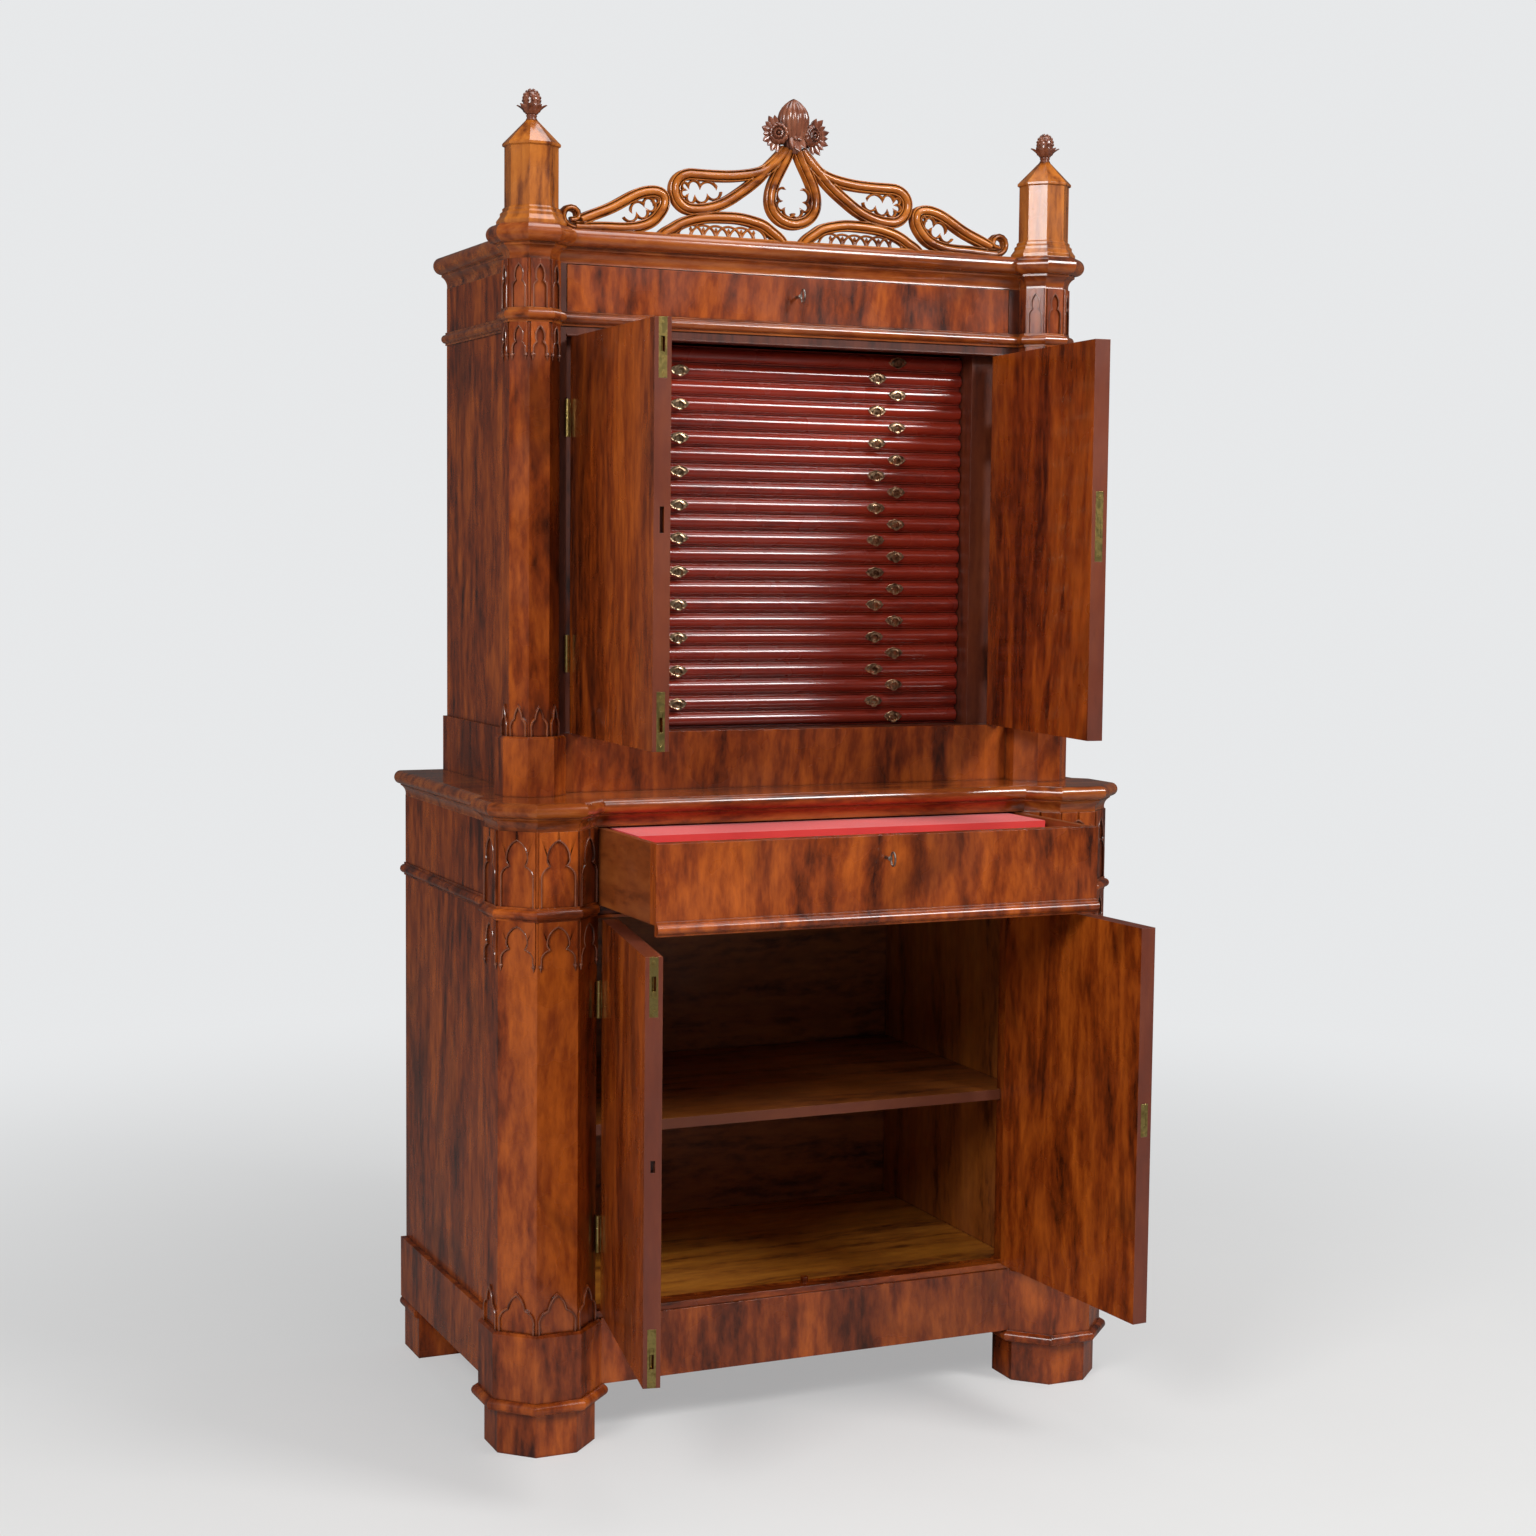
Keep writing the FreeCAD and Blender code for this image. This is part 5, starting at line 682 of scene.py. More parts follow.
class Shape:
    """Corners and faces gathered for one mesh."""

    def __init__(self) -> None:
        """Start with nothing."""
        self.corners: list[Vector] = []
        self.faces: list[Face] = []

    def strip(self, rings: Sequence[Sequence[Vector]], looped: bool = False) -> None:
        """Join rings of corners one after the other.

        Args:
            rings: the rings, all with the same number of corners.
            looped: True where the last ring joins the first, False where both ends are closed.
        """
        first = len(self.corners)
        size = len(rings[0])
        for ring in rings:
            self.corners.extend(ring)
        for index in range(len(rings) if looped else len(rings) - 1):
            here = first + index * size
            there = first + (index + 1) % len(rings) * size
            for corner in range(size):
                after = (corner + 1) % size
                self.faces.append((here + corner, here + after, there + after, there + corner))
        if not looped:
            last = first + (len(rings) - 1) * size
            self.faces.append(tuple(range(first, first + size)))
            self.faces.append(tuple(reversed(range(last, last + size))))

    def lathe(
        self, profile: Outline, centre: Vector, sides: int, ribs: int = 0, depth: float = 0.0
    ) -> None:
        """Turn a profile about an upright axis, with ribs where a depth is given.

        Args:
            profile: radius and height pairs, from one end to the other.
            centre: the point on the axis at height zero.
            sides: how many corners each ring has.
            ribs: how many ribs run up the turning.
            depth: how far the grooves cut in, as a share of the radius.
        """
        rings = []
        for radius, height in profile:
            ring = []
            for angle in once_round(sides):
                reach = radius * (1 - depth * (1 - abs(math.cos(ribs * angle / 2))))
                ring.append(centre + Vector((reach * math.cos(angle), reach * math.sin(angle), height)))
            rings.append(ring)
        self.strip(rings)

    def swept(self, path: Sequence[Vector], outline: Outline) -> None:
        """Carry an outline along a path in an upright plane that faces the front.

        Args:
            path: the points, all with one Y.
            outline: pairs of distance to the path's left and distance forward.
        """
        front = Vector((0.0, -1.0, 0.0))
        self.strip([
            [point + left_of(path, index) * across + front * ahead for across, ahead in outline]
            for index, point in enumerate(path)
        ])

    def add(self, other: "Shape", place: Matrix) -> None:
        """Add another shape's corners and faces, moved by a matrix.

        Args:
            other: the shape to add.
            place: the matrix that moves it.
        """
        first = len(self.corners)
        self.corners.extend(place @ corner for corner in other.corners)
        self.faces.extend(tuple(first + corner for corner in face) for face in other.faces)

    def mesh(self, name: str, sharp: float = SHARP_DEGREES) -> Mesh:
        """Turn the gathered faces into a mesh.

        Args:
            name: the mesh's name.
            sharp: the angle in degrees from which an edge is sharp.

        Returns:
            The mesh, which faces outwards.
        """
        mesh = bpy.data.meshes.new(name)
        mesh.from_pydata(self.corners, [], self.faces)
        return closed_mesh(mesh, sharp)


def closed_mesh(mesh: Mesh, sharp: float) -> Mesh:
    """Merge a mesh's double corners, face it outwards and smooth it.

    Args:
        mesh: the mesh to change.
        sharp: the angle in degrees from which an edge is sharp.

    Returns:
        The same mesh.
    """
    work = bmesh.new()
    work.from_mesh(mesh)
    bmesh.ops.remove_doubles(work, verts=work.verts, dist=MERGE_DISTANCE)
    bmesh.ops.recalc_face_normals(work, faces=work.faces)
    work.to_mesh(mesh)
    work.free()
    mesh.shade_smooth()
    mesh.set_sharp_from_angle(angle=math.radians(sharp))
    return mesh


def turned(profile: Outline, sides: int = TURNED_SIDES) -> Shape:
    """Turn a profile about the origin's upright axis.

    Args:
        profile: radius and height pairs, from one end to the other.
        sides: how many corners each ring has.

    Returns:
        The turned shape.
    """
    shape = Shape()
    shape.lathe(profile, Vector(), sides)
    return shape


def round_outline(half_width: float, half_depth: float, sides: int) -> Outline:
    """Return an oval outline."""
    return [(half_width * math.cos(angle), half_depth * math.sin(angle)) for angle in once_round(sides)]


def arc_points(first: Vector, middle: Vector, last: Vector, count: int) -> list[Vector]:
    """Return points along the arc through three points of an upright plane.

    Args:
        first: where the arc starts.
        middle: a point on the way.
        last: where it ends.
        count: how many lengths the arc is cut into.

    Returns:
        The points, both ends among them.
    """
    a, b, c = (Vector((point.x, point.z)) for point in (first, middle, last))
    twice = 2 * (a.x * (b.y - c.y) + b.x * (c.y - a.y) + c.x * (a.y - b.y))
    squares = [point.length_squared for point in (a, b, c)]
    centre = Vector((
        squares[0] * (b.y - c.y) + squares[1] * (c.y - a.y) + squares[2] * (a.y - b.y),
        squares[0] * (c.x - b.x) + squares[1] * (a.x - c.x) + squares[2] * (b.x - a.x),
    )) / twice
    begin, halfway, end = (math.atan2(point.y - centre.y, point.x - centre.x) for point in (a, b, c))
    full = 2 * math.pi
    sweep = (end - begin) % full
    if (halfway - begin) % full > sweep:
        sweep -= full
    radius = (a - centre).length
    points = []
    for step in range(count + 1):
        angle = begin + sweep * step / count
        across, up = centre.x + radius * math.cos(angle), centre.y + radius * math.sin(angle)
        points.append(Vector((across, first.y, up)))
    return points


def even_points(path: Sequence[Vector], count: int) -> list[Vector]:
    """Space a path's points evenly.

    Args:
        path: the points.
        count: how many lengths to cut it into.

    Returns:
        The evenly spaced points, both ends among them.
    """
    reaches = [0.0]
    for before, after in zip(path, path[1:]):
        reaches.append(reaches[-1] + (after - before).length)
    points = []
    place = 0
    for step in range(count + 1):
        wanted = reaches[-1] * step / count
        while place < len(path) - 2 and reaches[place + 1] < wanted:
            place += 1
        span = reaches[place + 1] - reaches[place]
        points.append(path[place].lerp(path[place + 1], (wanted - reaches[place]) / span))
    return points


def path_length(path: Sequence[Vector]) -> float:
    """Return a path's length."""
    return sum((after - before).length for before, after in zip(path, path[1:]))


@dataclass
class Spot:
    """One place for a repeated piece: where it stands, how it is turned and how large it is."""

    place: Vector
    turn: Point = (0.0, 0.0, 0.0)
    size: float = 1.0


class Repeats:
    """A Geometry Nodes tree that sets one item on every spot, with a small random change of size."""

    def __init__(self) -> None:
        """Build the tree once."""
        self.tree = bpy.data.node_groups.new("repeated_pieces", "GeometryNodeTree")
        self.tree.is_modifier = True
        sockets = {
            "Spots": "NodeSocketGeometry", "Item": "NodeSocketObject", "Finish": "NodeSocketMaterial",
            "Variation": "NodeSocketFloat", "Seed": "NodeSocketInt",
        }
        for label, kind in sockets.items():
            self.tree.interface.new_socket(name=label, in_out="INPUT", socket_type=kind)
        self.tree.interface.new_socket(name="Pieces", in_out="OUTPUT", socket_type="NodeSocketGeometry")
        graph = Graph(self.tree)
        given = graph.add("NodeGroupInput").outputs
        item = graph.add("GeometryNodeObjectInfo", {"Object": given["Item"], "As Instance": True})
        turn = graph.add("GeometryNodeInputNamedAttribute", {"Name": "turn"}, data_type="FLOAT_VECTOR")
        size = graph.add("GeometryNodeInputNamedAttribute", {"Name": "size"}, data_type="FLOAT")
        rotation = graph.add("FunctionNodeEulerToRotation", {"Euler": turn.outputs["Attribute"]})
        chance = graph.add("FunctionNodeRandomValue", data_type="FLOAT")
        ranges = [socket for socket in chance.inputs if socket.enabled]
        graph.put(ranges[0], graph.math("SUBTRACT", 1.0, given["Variation"]))
        graph.put(ranges[1], graph.math("ADD", 1.0, given["Variation"]))
        graph.put(chance.inputs["Seed"], given["Seed"])
        amount = [socket for socket in chance.outputs if socket.enabled][0]
        scale = graph.math("MULTIPLY", size.outputs["Attribute"], amount)
        pieces = graph.add("GeometryNodeInstanceOnPoints", {
            "Points": given["Spots"], "Instance": item.outputs["Geometry"],
            "Rotation": rotation.outputs["Rotation"], "Scale": scale,
        })
        real = graph.add("GeometryNodeRealizeInstances", {"Geometry": pieces.outputs["Instances"]})
        dressed = graph.add("GeometryNodeSetMaterial", {
            "Geometry": real.outputs["Geometry"], "Material": given["Finish"],
        })
        graph.add("NodeGroupOutput", {"Pieces": dressed.outputs["Geometry"]})

    def scatter(
        self, name: str, item: Shape, spots: Sequence[Spot], finish: Material, variation: float,
        seed: int,
    ) -> Object:
        """Set an item on every spot and return all of them as one plain object.

        Args:
            name: the new object's name.
            item: the shape that repeats, around the origin.
            spots: where it stands.
            finish: its material.
            variation: the largest random change of size, as a share.
            seed: fixes the random change.

        Returns:
            The new object.
        """
        sample = bpy.data.objects.new(f"{name}_item", item.mesh(f"{name}_item"))
        points = bpy.data.meshes.new(f"{name}_spots")
        points.from_pydata([spot.place for spot in spots], [], [])
        turns = points.attributes.new("turn", "FLOAT_VECTOR", "POINT")
        turns.data.foreach_set("vector", [angle for spot in spots for angle in spot.turn])
        sizes = points.attributes.new("size", "FLOAT", "POINT")
        sizes.data.foreach_set("value", [spot.size for spot in spots])
        carrier = bpy.data.objects.new(f"{name}_spots", points)
        for helper in (sample, carrier):
            bpy.context.scene.collection.objects.link(helper)
        modifier = carrier.modifiers.new("repeats", "NODES")
        modifier.node_group = self.tree
        values = {"Item": sample, "Finish": finish, "Variation": variation, "Seed": seed}
        for socket in self.tree.interface.items_tree:
            if socket.name in values:
                modifier[socket.identifier] = values[socket.name]
        bpy.context.view_layer.update()
        solid = carrier.evaluated_get(bpy.context.evaluated_depsgraph_get())
        mesh = bpy.data.meshes.new_from_object(solid)
        for helper in (carrier, sample):
            bpy.data.objects.remove(helper)
        return new_object(name, mesh, finish)


class SolidCopy:
    """A merged copy of a CAD node's mesh, taken apart into its solids."""

    def __init__(self, node: str) -> None:
        """Copy the node's mesh and part it into solids.

        The mesh holds one solid's faces after the other's, and a solid ends where each edge has met its
        opposite. Solids that only touch stay apart that way.

        Args:
            node: the node's name.
        """
        self.node = node
        self.corners: list[Vector] = []
        self.groups: list[list[Face]] = [[]]
        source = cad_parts[node].data
        numbers: dict[tuple, int] = {}
        places = []
        for vert in source.vertices:
            key = tuple(round(part / MERGE_DISTANCE) for part in vert.co)
            if key not in numbers:
                numbers[key] = len(self.corners)
                self.corners.append(vert.co.copy())
            places.append(numbers[key])
        waiting: dict[tuple[int, int], int] = {}
        for polygon in source.polygons:
            face = tuple(places[index] for index in polygon.vertices)
            if len(set(face)) < len(face):
                continue
            self.groups[-1].append(face)
            for edge in zip(face, face[1:] + face[:1]):
                self._meet(waiting, edge)
            if not waiting:
                self.groups.append([])
        self.groups = [group for group in self.groups if group]

    def _meet(self, waiting: dict[tuple[int, int], int], edge: tuple[int, int]) -> None:
        """Strike an edge out against its opposite, or let it wait.

        Args:
            waiting: the edges that haven't met their opposites, with how often.
            edge: the two corners.
        """
        key, step = (edge[::-1], -1) if edge[::-1] in waiting else (edge, 1)
        waiting[key] = waiting.get(key, 0) + step
        if not waiting[key]:
            del waiting[key]

    def box(self, group: Sequence[Face]) -> tuple[Vector, Vector]:
        """Measure a solid.

        Args:
            group: the solid's faces.

        Returns:
            The lowest and the highest corner.
        """
        places = [self.corners[index] for index in {index for face in group for index in face}]
        low = Vector([min(place[axis] for place in places) for axis in range(3)])
        high = Vector([max(place[axis] for place in places) for axis in range(3)])
        return low, high

    def boxes(self) -> list[tuple[Vector, Vector]]:
        """Return the lowest and highest corners of each separate solid."""
        return [self.box(group) for group in self.groups]

    def keep(self, test: Callable[[Vector, Vector], bool]) -> Mesh:
        """Return a mesh of the solids that pass a test on their lowest and highest corners.

        Args:
            test: takes a solid's two corners.

        Returns:
            The mesh of what passed.
        """
        shape = Shape()
        for group in self.groups:
            if test(*self.box(group)):
                numbers: dict[int, int] = {}
                for index in (index for face in group for index in face):
                    if index not in numbers:
                        numbers[index] = len(shape.corners)
                        shape.corners.append(self.corners[index])
                shape.faces.extend(tuple(numbers[index] for index in face) for face in group)
        return shape.mesh(self.node, CAD_SHARP_DEGREES)


def mark_trim(mesh: Mesh, test: Callable[[Vector], bool]) -> None:
    """Mark the faces whose normals pass a test, so that their wood takes the trim colour.

    Args:
        mesh: the mesh to mark.
        test: takes a face's normal.
    """
    marks = mesh.attributes.new(TRIM, "FLOAT", "FACE")
    for face in mesh.polygons:
        marks.data[face.index].value = 1.0 if test(face.normal) else 0.0


@dataclass
class CameraPlace:
    """The camera that the photograph was taken with."""

    place: Point = (-1.8885, -4.11305, 1.53073)
    yaw: float = 24.1
    pitch: float = 4.87
    roll: float = 0.58
    focal_pixels: float = 2528.3
    image_pixels: float = 1536.0
    sensor: float = 36.0

    def build(self) -> None:
        """Add the camera and make it the scene's own."""
        yaw, pitch, roll = (math.radians(v) for v in (self.yaw, self.pitch, self.roll))
        flat = math.cos(pitch)
        ahead = Vector((math.sin(yaw) * flat, math.cos(yaw) * flat, -math.sin(pitch)))
        right = ahead.cross(upward(1.0)).normalized()
        up = right.cross(ahead)
        across = right * math.cos(roll) + up * math.sin(roll)
        above = up * math.cos(roll) - right * math.sin(roll)
        data = bpy.data.cameras.new("camera")
        data.sensor_width = self.sensor
        data.lens = self.focal_pixels / self.image_pixels * self.sensor
        camera = bpy.data.objects.new("camera", data)
        turn = Matrix((across, above, -ahead)).transposed().to_4x4()
        camera.matrix_world = Matrix.Translation(self.place) @ turn
        bpy.context.scene.collection.objects.link(camera)
        bpy.context.scene.camera = camera


@dataclass
class Studio:
    """A pale floor and soft lamps.

    LAMPS holds the place, the aim, the size in metres and the power in watts of each lamp.
    """

    floor_half: float = 14.0
    floor_colour: Colour = (0.80, 0.79, 0.77)
    floor_shade: float = 0.8
    cloud_depth: float = 0.12
    backdrop: Colour = (0.80, 0.81, 0.82)
    sky_strength: float = 0.30
    mirror_strength: float = 0.08
    mirrored_floor: float = 0.25
    least_fade: float = 0.45
    fade_near: float = 0.8
    fade_far: float = 4.0
    LAMPS: ClassVar[dict] = {
        "key_lamp": ((-3.6, -3.2, 3.4), (0.0, 0.0, 1.2), 1.8, 150.0),
        "fill_lamp": ((2.5, -3.6, 4.2), (0.0, 0.0, 1.2), 1.5, 170.0),
        "top_lamp": ((0.4, -0.6, 5.2), (0.0, 0.2, 1.0), 2.4, 60.0),
    }

    def build(self) -> None:
        """Lay the floor, light the room and set how colours are shown."""
        self._floor()
        self._sky()
        for name, lamp in self.LAMPS.items():
            self._lamp(name, *lamp)
        bpy.context.scene.view_settings.view_transform = "Standard"

    def _floor(self) -> None:
        """Lay the floor."""
        mesh = bpy.data.meshes.new("floor")
        half = self.floor_half
        corners = [(-half, -half, 0.0), (half, -half, 0.0), (half, half, 0.0), (-half, half, 0.0)]
        mesh.from_pydata(corners, [], [(0, 1, 2, 3)])
        material, graph, shader = empty_material("pale_floor")
        place = graph.own_place()
        cloud = graph.noise(place, scale=1.6, detail=5.0, rough=0.6)
        cloud = graph.spread(cloud, 0.3, 0.7, 0.0, self.cloud_depth)
        darker = tuple(self.floor_shade * part for part in self.floor_colour)
        rays = graph.add("ShaderNodeLightPath").outputs
        pale = graph.mix(cloud, opaque(self.floor_colour), opaque(darker))
        dimmed = tuple(self.mirrored_floor * part for part in self.floor_colour)
        tone = graph.mix(rays["Is Glossy Ray"], pale, opaque(dimmed))
        graph.fill(shader, {"Base Color": tone, "Roughness": 0.6})
        away = graph.add("ShaderNodeVectorMath", {0: place}, operation="LENGTH").outputs["Value"]
        far = graph.spread(away, self.fade_near, self.fade_far, self.least_fade, 1.0)
        fade = graph.math("MULTIPLY", far, rays["Is Camera Ray"])
        glow = graph.add("ShaderNodeEmission", {"Color": opaque(self.backdrop), "Strength": 1.0})
        faded = graph.add("ShaderNodeMixShader", {0: fade, 1: shader.outputs[0], 2: glow.outputs[0]})
        output = next(node for node in graph.tree.nodes if node.type == "OUTPUT_MATERIAL")
        graph.put(output.inputs["Surface"], faded.outputs[0])
        new_object("floor", mesh, material)

    def _sky(self) -> None:
        """Set a pale room, plain to the camera and soft on the object."""
        world = bpy.data.worlds.new("room")
        bpy.context.scene.world = world
        world.use_nodes = True
        world.node_tree.nodes.clear()
        graph = Graph(world.node_tree)
        rays = graph.add("ShaderNodeLightPath").outputs
        plain = graph.math("MAXIMUM", rays["Is Camera Ray"], rays["Is Transmission Ray"])
        dimmer = graph.math("MULTIPLY", rays["Is Glossy Ray"], self.mirror_strength - self.sky_strength)
        brighter = graph.math("MULTIPLY_ADD", plain, 1.0 - self.sky_strength, self.sky_strength)
        strength = graph.math("ADD", brighter, dimmer)
        shade = graph.add("ShaderNodeBackground", {"Color": opaque(self.backdrop), "Strength": strength})
        graph.add("ShaderNodeOutputWorld", {"Surface": shade.outputs[0]})

    def _lamp(self, name: str, place: Point, aim: Point, size: float, power: float) -> None:
        """Hang one square lamp.

        Args:
            name: the lamp's name.
            place: where it hangs.
            aim: the point that it faces.
            size: its width and height.
            power: its power in watts.
        """
        data = bpy.data.lights.new(name, "AREA")
        data.size = size
        data.energy = power
        lamp = bpy.data.objects.new(name, data)
        lamp.location = place
        lamp.rotation_euler = (Vector(aim) - Vector(place)).to_track_quat("-Z", "Y").to_euler()
        bpy.context.scene.collection.objects.link(lamp)


@dataclass
class Part:
    """A part of the cabinet, with the finishes and the tree of repeats that it is made with."""

    finishes: Finishes
    repeats: Repeats

    def show(
        self, name: str, mesh: Mesh, material: Material, slot: Slot, *nodes: str,
        body: str = "case",
    ) -> None:
        """Show a mesh as one piece.

        Args:
            name: the piece's name.
            mesh: its mesh.
            material: its material.
            slot: its slot of the record.
            nodes: the CAD nodes that it stands for.
            body: the body that it rides on.
        """
        finished(new_object(name, mesh, material), body, slot, *nodes)

    def scatter(
        self, name: str, item: Shape, spots: Sequence[Spot], material: Material, slot: Slot,
        variation: float = 0.0, seed: int = 1, body: str = "case",
    ) -> None:
        """Show an item on every spot as one piece.

        Args:
            name: the piece's name.
            item: the shape that repeats, around the origin.
            spots: where it stands.
            material: its material.
            slot: its slot of the record.
            variation: the largest random change of size, as a share.
            seed: fixes the random change.
            body: the body that the piece rides on.
        """
        finished(self.repeats.scatter(name, item, spots, material, variation, seed), body, slot)


def dress(node: str, material: Material) -> None:
    """Give a CAD node's object one material in all of its slots.

    Args:
        node: the node's name.
        material: the material.
    """
    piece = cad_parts[node]
    for slot in piece.material_slots:
        slot.material = material
    LOG.info("%s wears %s", node, material.name)


@dataclass
class WoodenCase(Part):
    """The fixed carcase and the plain wooden fronts, whose solids are shown as they are."""

    PLAN: ClassVar[dict[str, tuple[WoodFinish, Grain, int]]] = {
        "feet": (Finishes.MAHOGANY, Grain.UPRIGHT, 1),
        "lower_plinth": (Finishes.MAHOGANY, Grain.UPRIGHT, 2),
        "lower_columns": (Finishes.MAHOGANY, Grain.UPRIGHT, 3),
        "lower_side_panels": (Finishes.MAHOGANY, Grain.UPRIGHT, 4),
        "lower_band": (Finishes.MAHOGANY, Grain.ROUND_THE_CASE, 5),
        "lower_back_panel": (Finishes.PINE, Grain.ACROSS, 1),
        "top_slab": (Finishes.CORNICE, Grain.ACROSS, 7),
        "upper_plinth": (Finishes.MAHOGANY, Grain.UPRIGHT, 8),
        "upper_columns": (Finishes.MAHOGANY, Grain.UPRIGHT, 9),
        "upper_side_panels": (Finishes.MAHOGANY, Grain.UPRIGHT, 10),
        "upper_band": (Finishes.CORNICE, Grain.ROUND_THE_CASE, 11),
        "upper_back_panel": (Finishes.PINE, Grain.UPRIGHT, 3),
        # The upper boards take the mahogany darkened as painted shade.
        "upper_boards": (Finishes.PAINTED_SHADE_MAHOGANY, Grain.UPRIGHT, 13),
        "cornice": (Finishes.CORNICE, Grain.ROUND_THE_CASE, 14),
        "drawer_runners": (Finishes.PINE, Grain.DEEP, 4),
        "lower_drawer_front": (Finishes.MAHOGANY, Grain.UPRIGHT, 17),
        "lower_drawer_box": (Finishes.LINING, Grain.DEEP, 5),
        "upper_drawer": (Finishes.MAHOGANY, Grain.UPRIGHT, 18),
    }

    def build(self) -> None:
        """Give each solid its wood."""
        for node, cut in self.PLAN.items():
            dress(node, self.finishes.wood(*cut))


@dataclass
class LowerInside(Part):
    """The boards inside the lower case, each with its own wood."""

    floor_top: float = 0.215
    thin: float = 0.020
    wide: float = 0.5

    def build(self) -> None:
        """Part the boards into floor, shelf, linings and rails, and dress each."""
        copy = SolidCopy("lower_boards")
        boards = {
            "lower_floor": (self._is_floor, Finishes.PALE_PINE, Grain.ACROSS, Slot.PINE),
            "lower_shelf": (self._is_shelf, Finishes.PINE, Grain.ACROSS, Slot.PINE),
            "lower_linings": (self._is_lining, Finishes.PINE, Grain.UPRIGHT, Slot.PINE),
            "lower_rails": (self._is_rail, Finishes.MAHOGANY, Grain.ACROSS, Slot.MAHOGANY),
        }
        for seed, (name, (test, finish, grain, slot)) in enumerate(boards.items(), FIRST_BOARD_SEED):
            mesh = copy.keep(test)
            mark_trim(mesh, lambda normal: name == "lower_shelf" and normal.y < -FACING)
            self.show(name, mesh, self.finishes.wood(finish, grain, seed), slot, "lower_boards")

    def _is_floor(self, low: Vector, high: Vector) -> bool:
        """Tell whether a board is part of the floor."""
        return high.z < self.floor_top and high.x - low.x > self.wide and high.y > 0

    def _is_lining(self, low: Vector, high: Vector) -> bool:
        """Tell whether a board is a lining at the side."""
        return high.x - low.x < self.thin and high.z - low.z > self.wide

    def _is_rail(self, low: Vector, high: Vector) -> bool:
        """Tell whether a board is none of the others."""
        return not any(test(low, high) for test in (self._is_floor, self._is_shelf, self._is_lining))

    def _is_shelf(self, low: Vector, high: Vector) -> bool:
        """Tell whether a board is the shelf, halfway up."""
        middle = sum(corner.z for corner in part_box("lower_boards")) / 2
        return high.x - low.x > self.wide and abs(low.z - middle) < self.wide / 4


class Fittings(Part):
    """The brass hinges and bolts and the cloth tray, whose solids are shown as they are."""

    def build(self) -> None:
        """Give each solid its metal or cloth."""
        brass = self.finishes.plain(Finishes.BRASS)
        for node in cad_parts:
            if node == "door_hinges" or node.endswith("_bolt"):
                dress(node, brass)
        dress("lower_drawer_tray", self.finishes.plain(Finishes.CLOTH))


@dataclass
class Key(Part):
    """A key with a round-sectioned oval bow, a collar and a shank."""

    name: str
    bow_length: float = 0.019
    bow_radius: float = 0.0016
    bow_steps: int = 28
    bow_sides: int = 8
    stem_sides: int = 20
    STEM: ClassVar[Outline] = [
        (0.0016, -0.0016), (0.0022, 0.0), (0.0039, 0.0008), (0.0039, 0.0026), (0.0028, 0.0034),
        (0.0032, 0.0044), (0.0025, 0.0054),
    ]

    def build(self) -> None:
        """Build the key in its lock."""
        low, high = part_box(self.name)
        middle = (low + high) / 2
        shape = Shape()
        reach_y = self.bow_length / 2 - self.bow_radius
        reach_z = (high.z - low.z) / 2 - self.bow_radius
        centre = Vector((middle.x, low.y + self.bow_length / 2, middle.z))
        rings = []
        for angle in once_round(self.bow_steps):
            out = Vector((0.0, math.cos(angle), math.sin(angle)))
            path = centre + Vector((0.0, out.y * reach_y, out.z * reach_z))
            rings.append([
                path + Vector((across, 0.0, 0.0)) + out * away
                for across, away in round_outline(self.bow_radius, self.bow_radius, self.bow_sides)
            ])
        shape.strip(rings, looped=True)
        start = low.y + self.bow_length
        stem = turned([*self.STEM, (self.STEM[-1][0], high.y - start)], self.stem_sides)
        lie = Matrix.Translation((middle.x, start, middle.z)) @ Matrix.Rotation(-math.pi / 2, 4, "X")
        shape.add(stem, lie)
        steel, name = self.finishes.plain(Finishes.STEEL), self.name
        self.show(f"{name}_turned", shape.mesh(name), steel, Slot.STEEL, name, body=name)


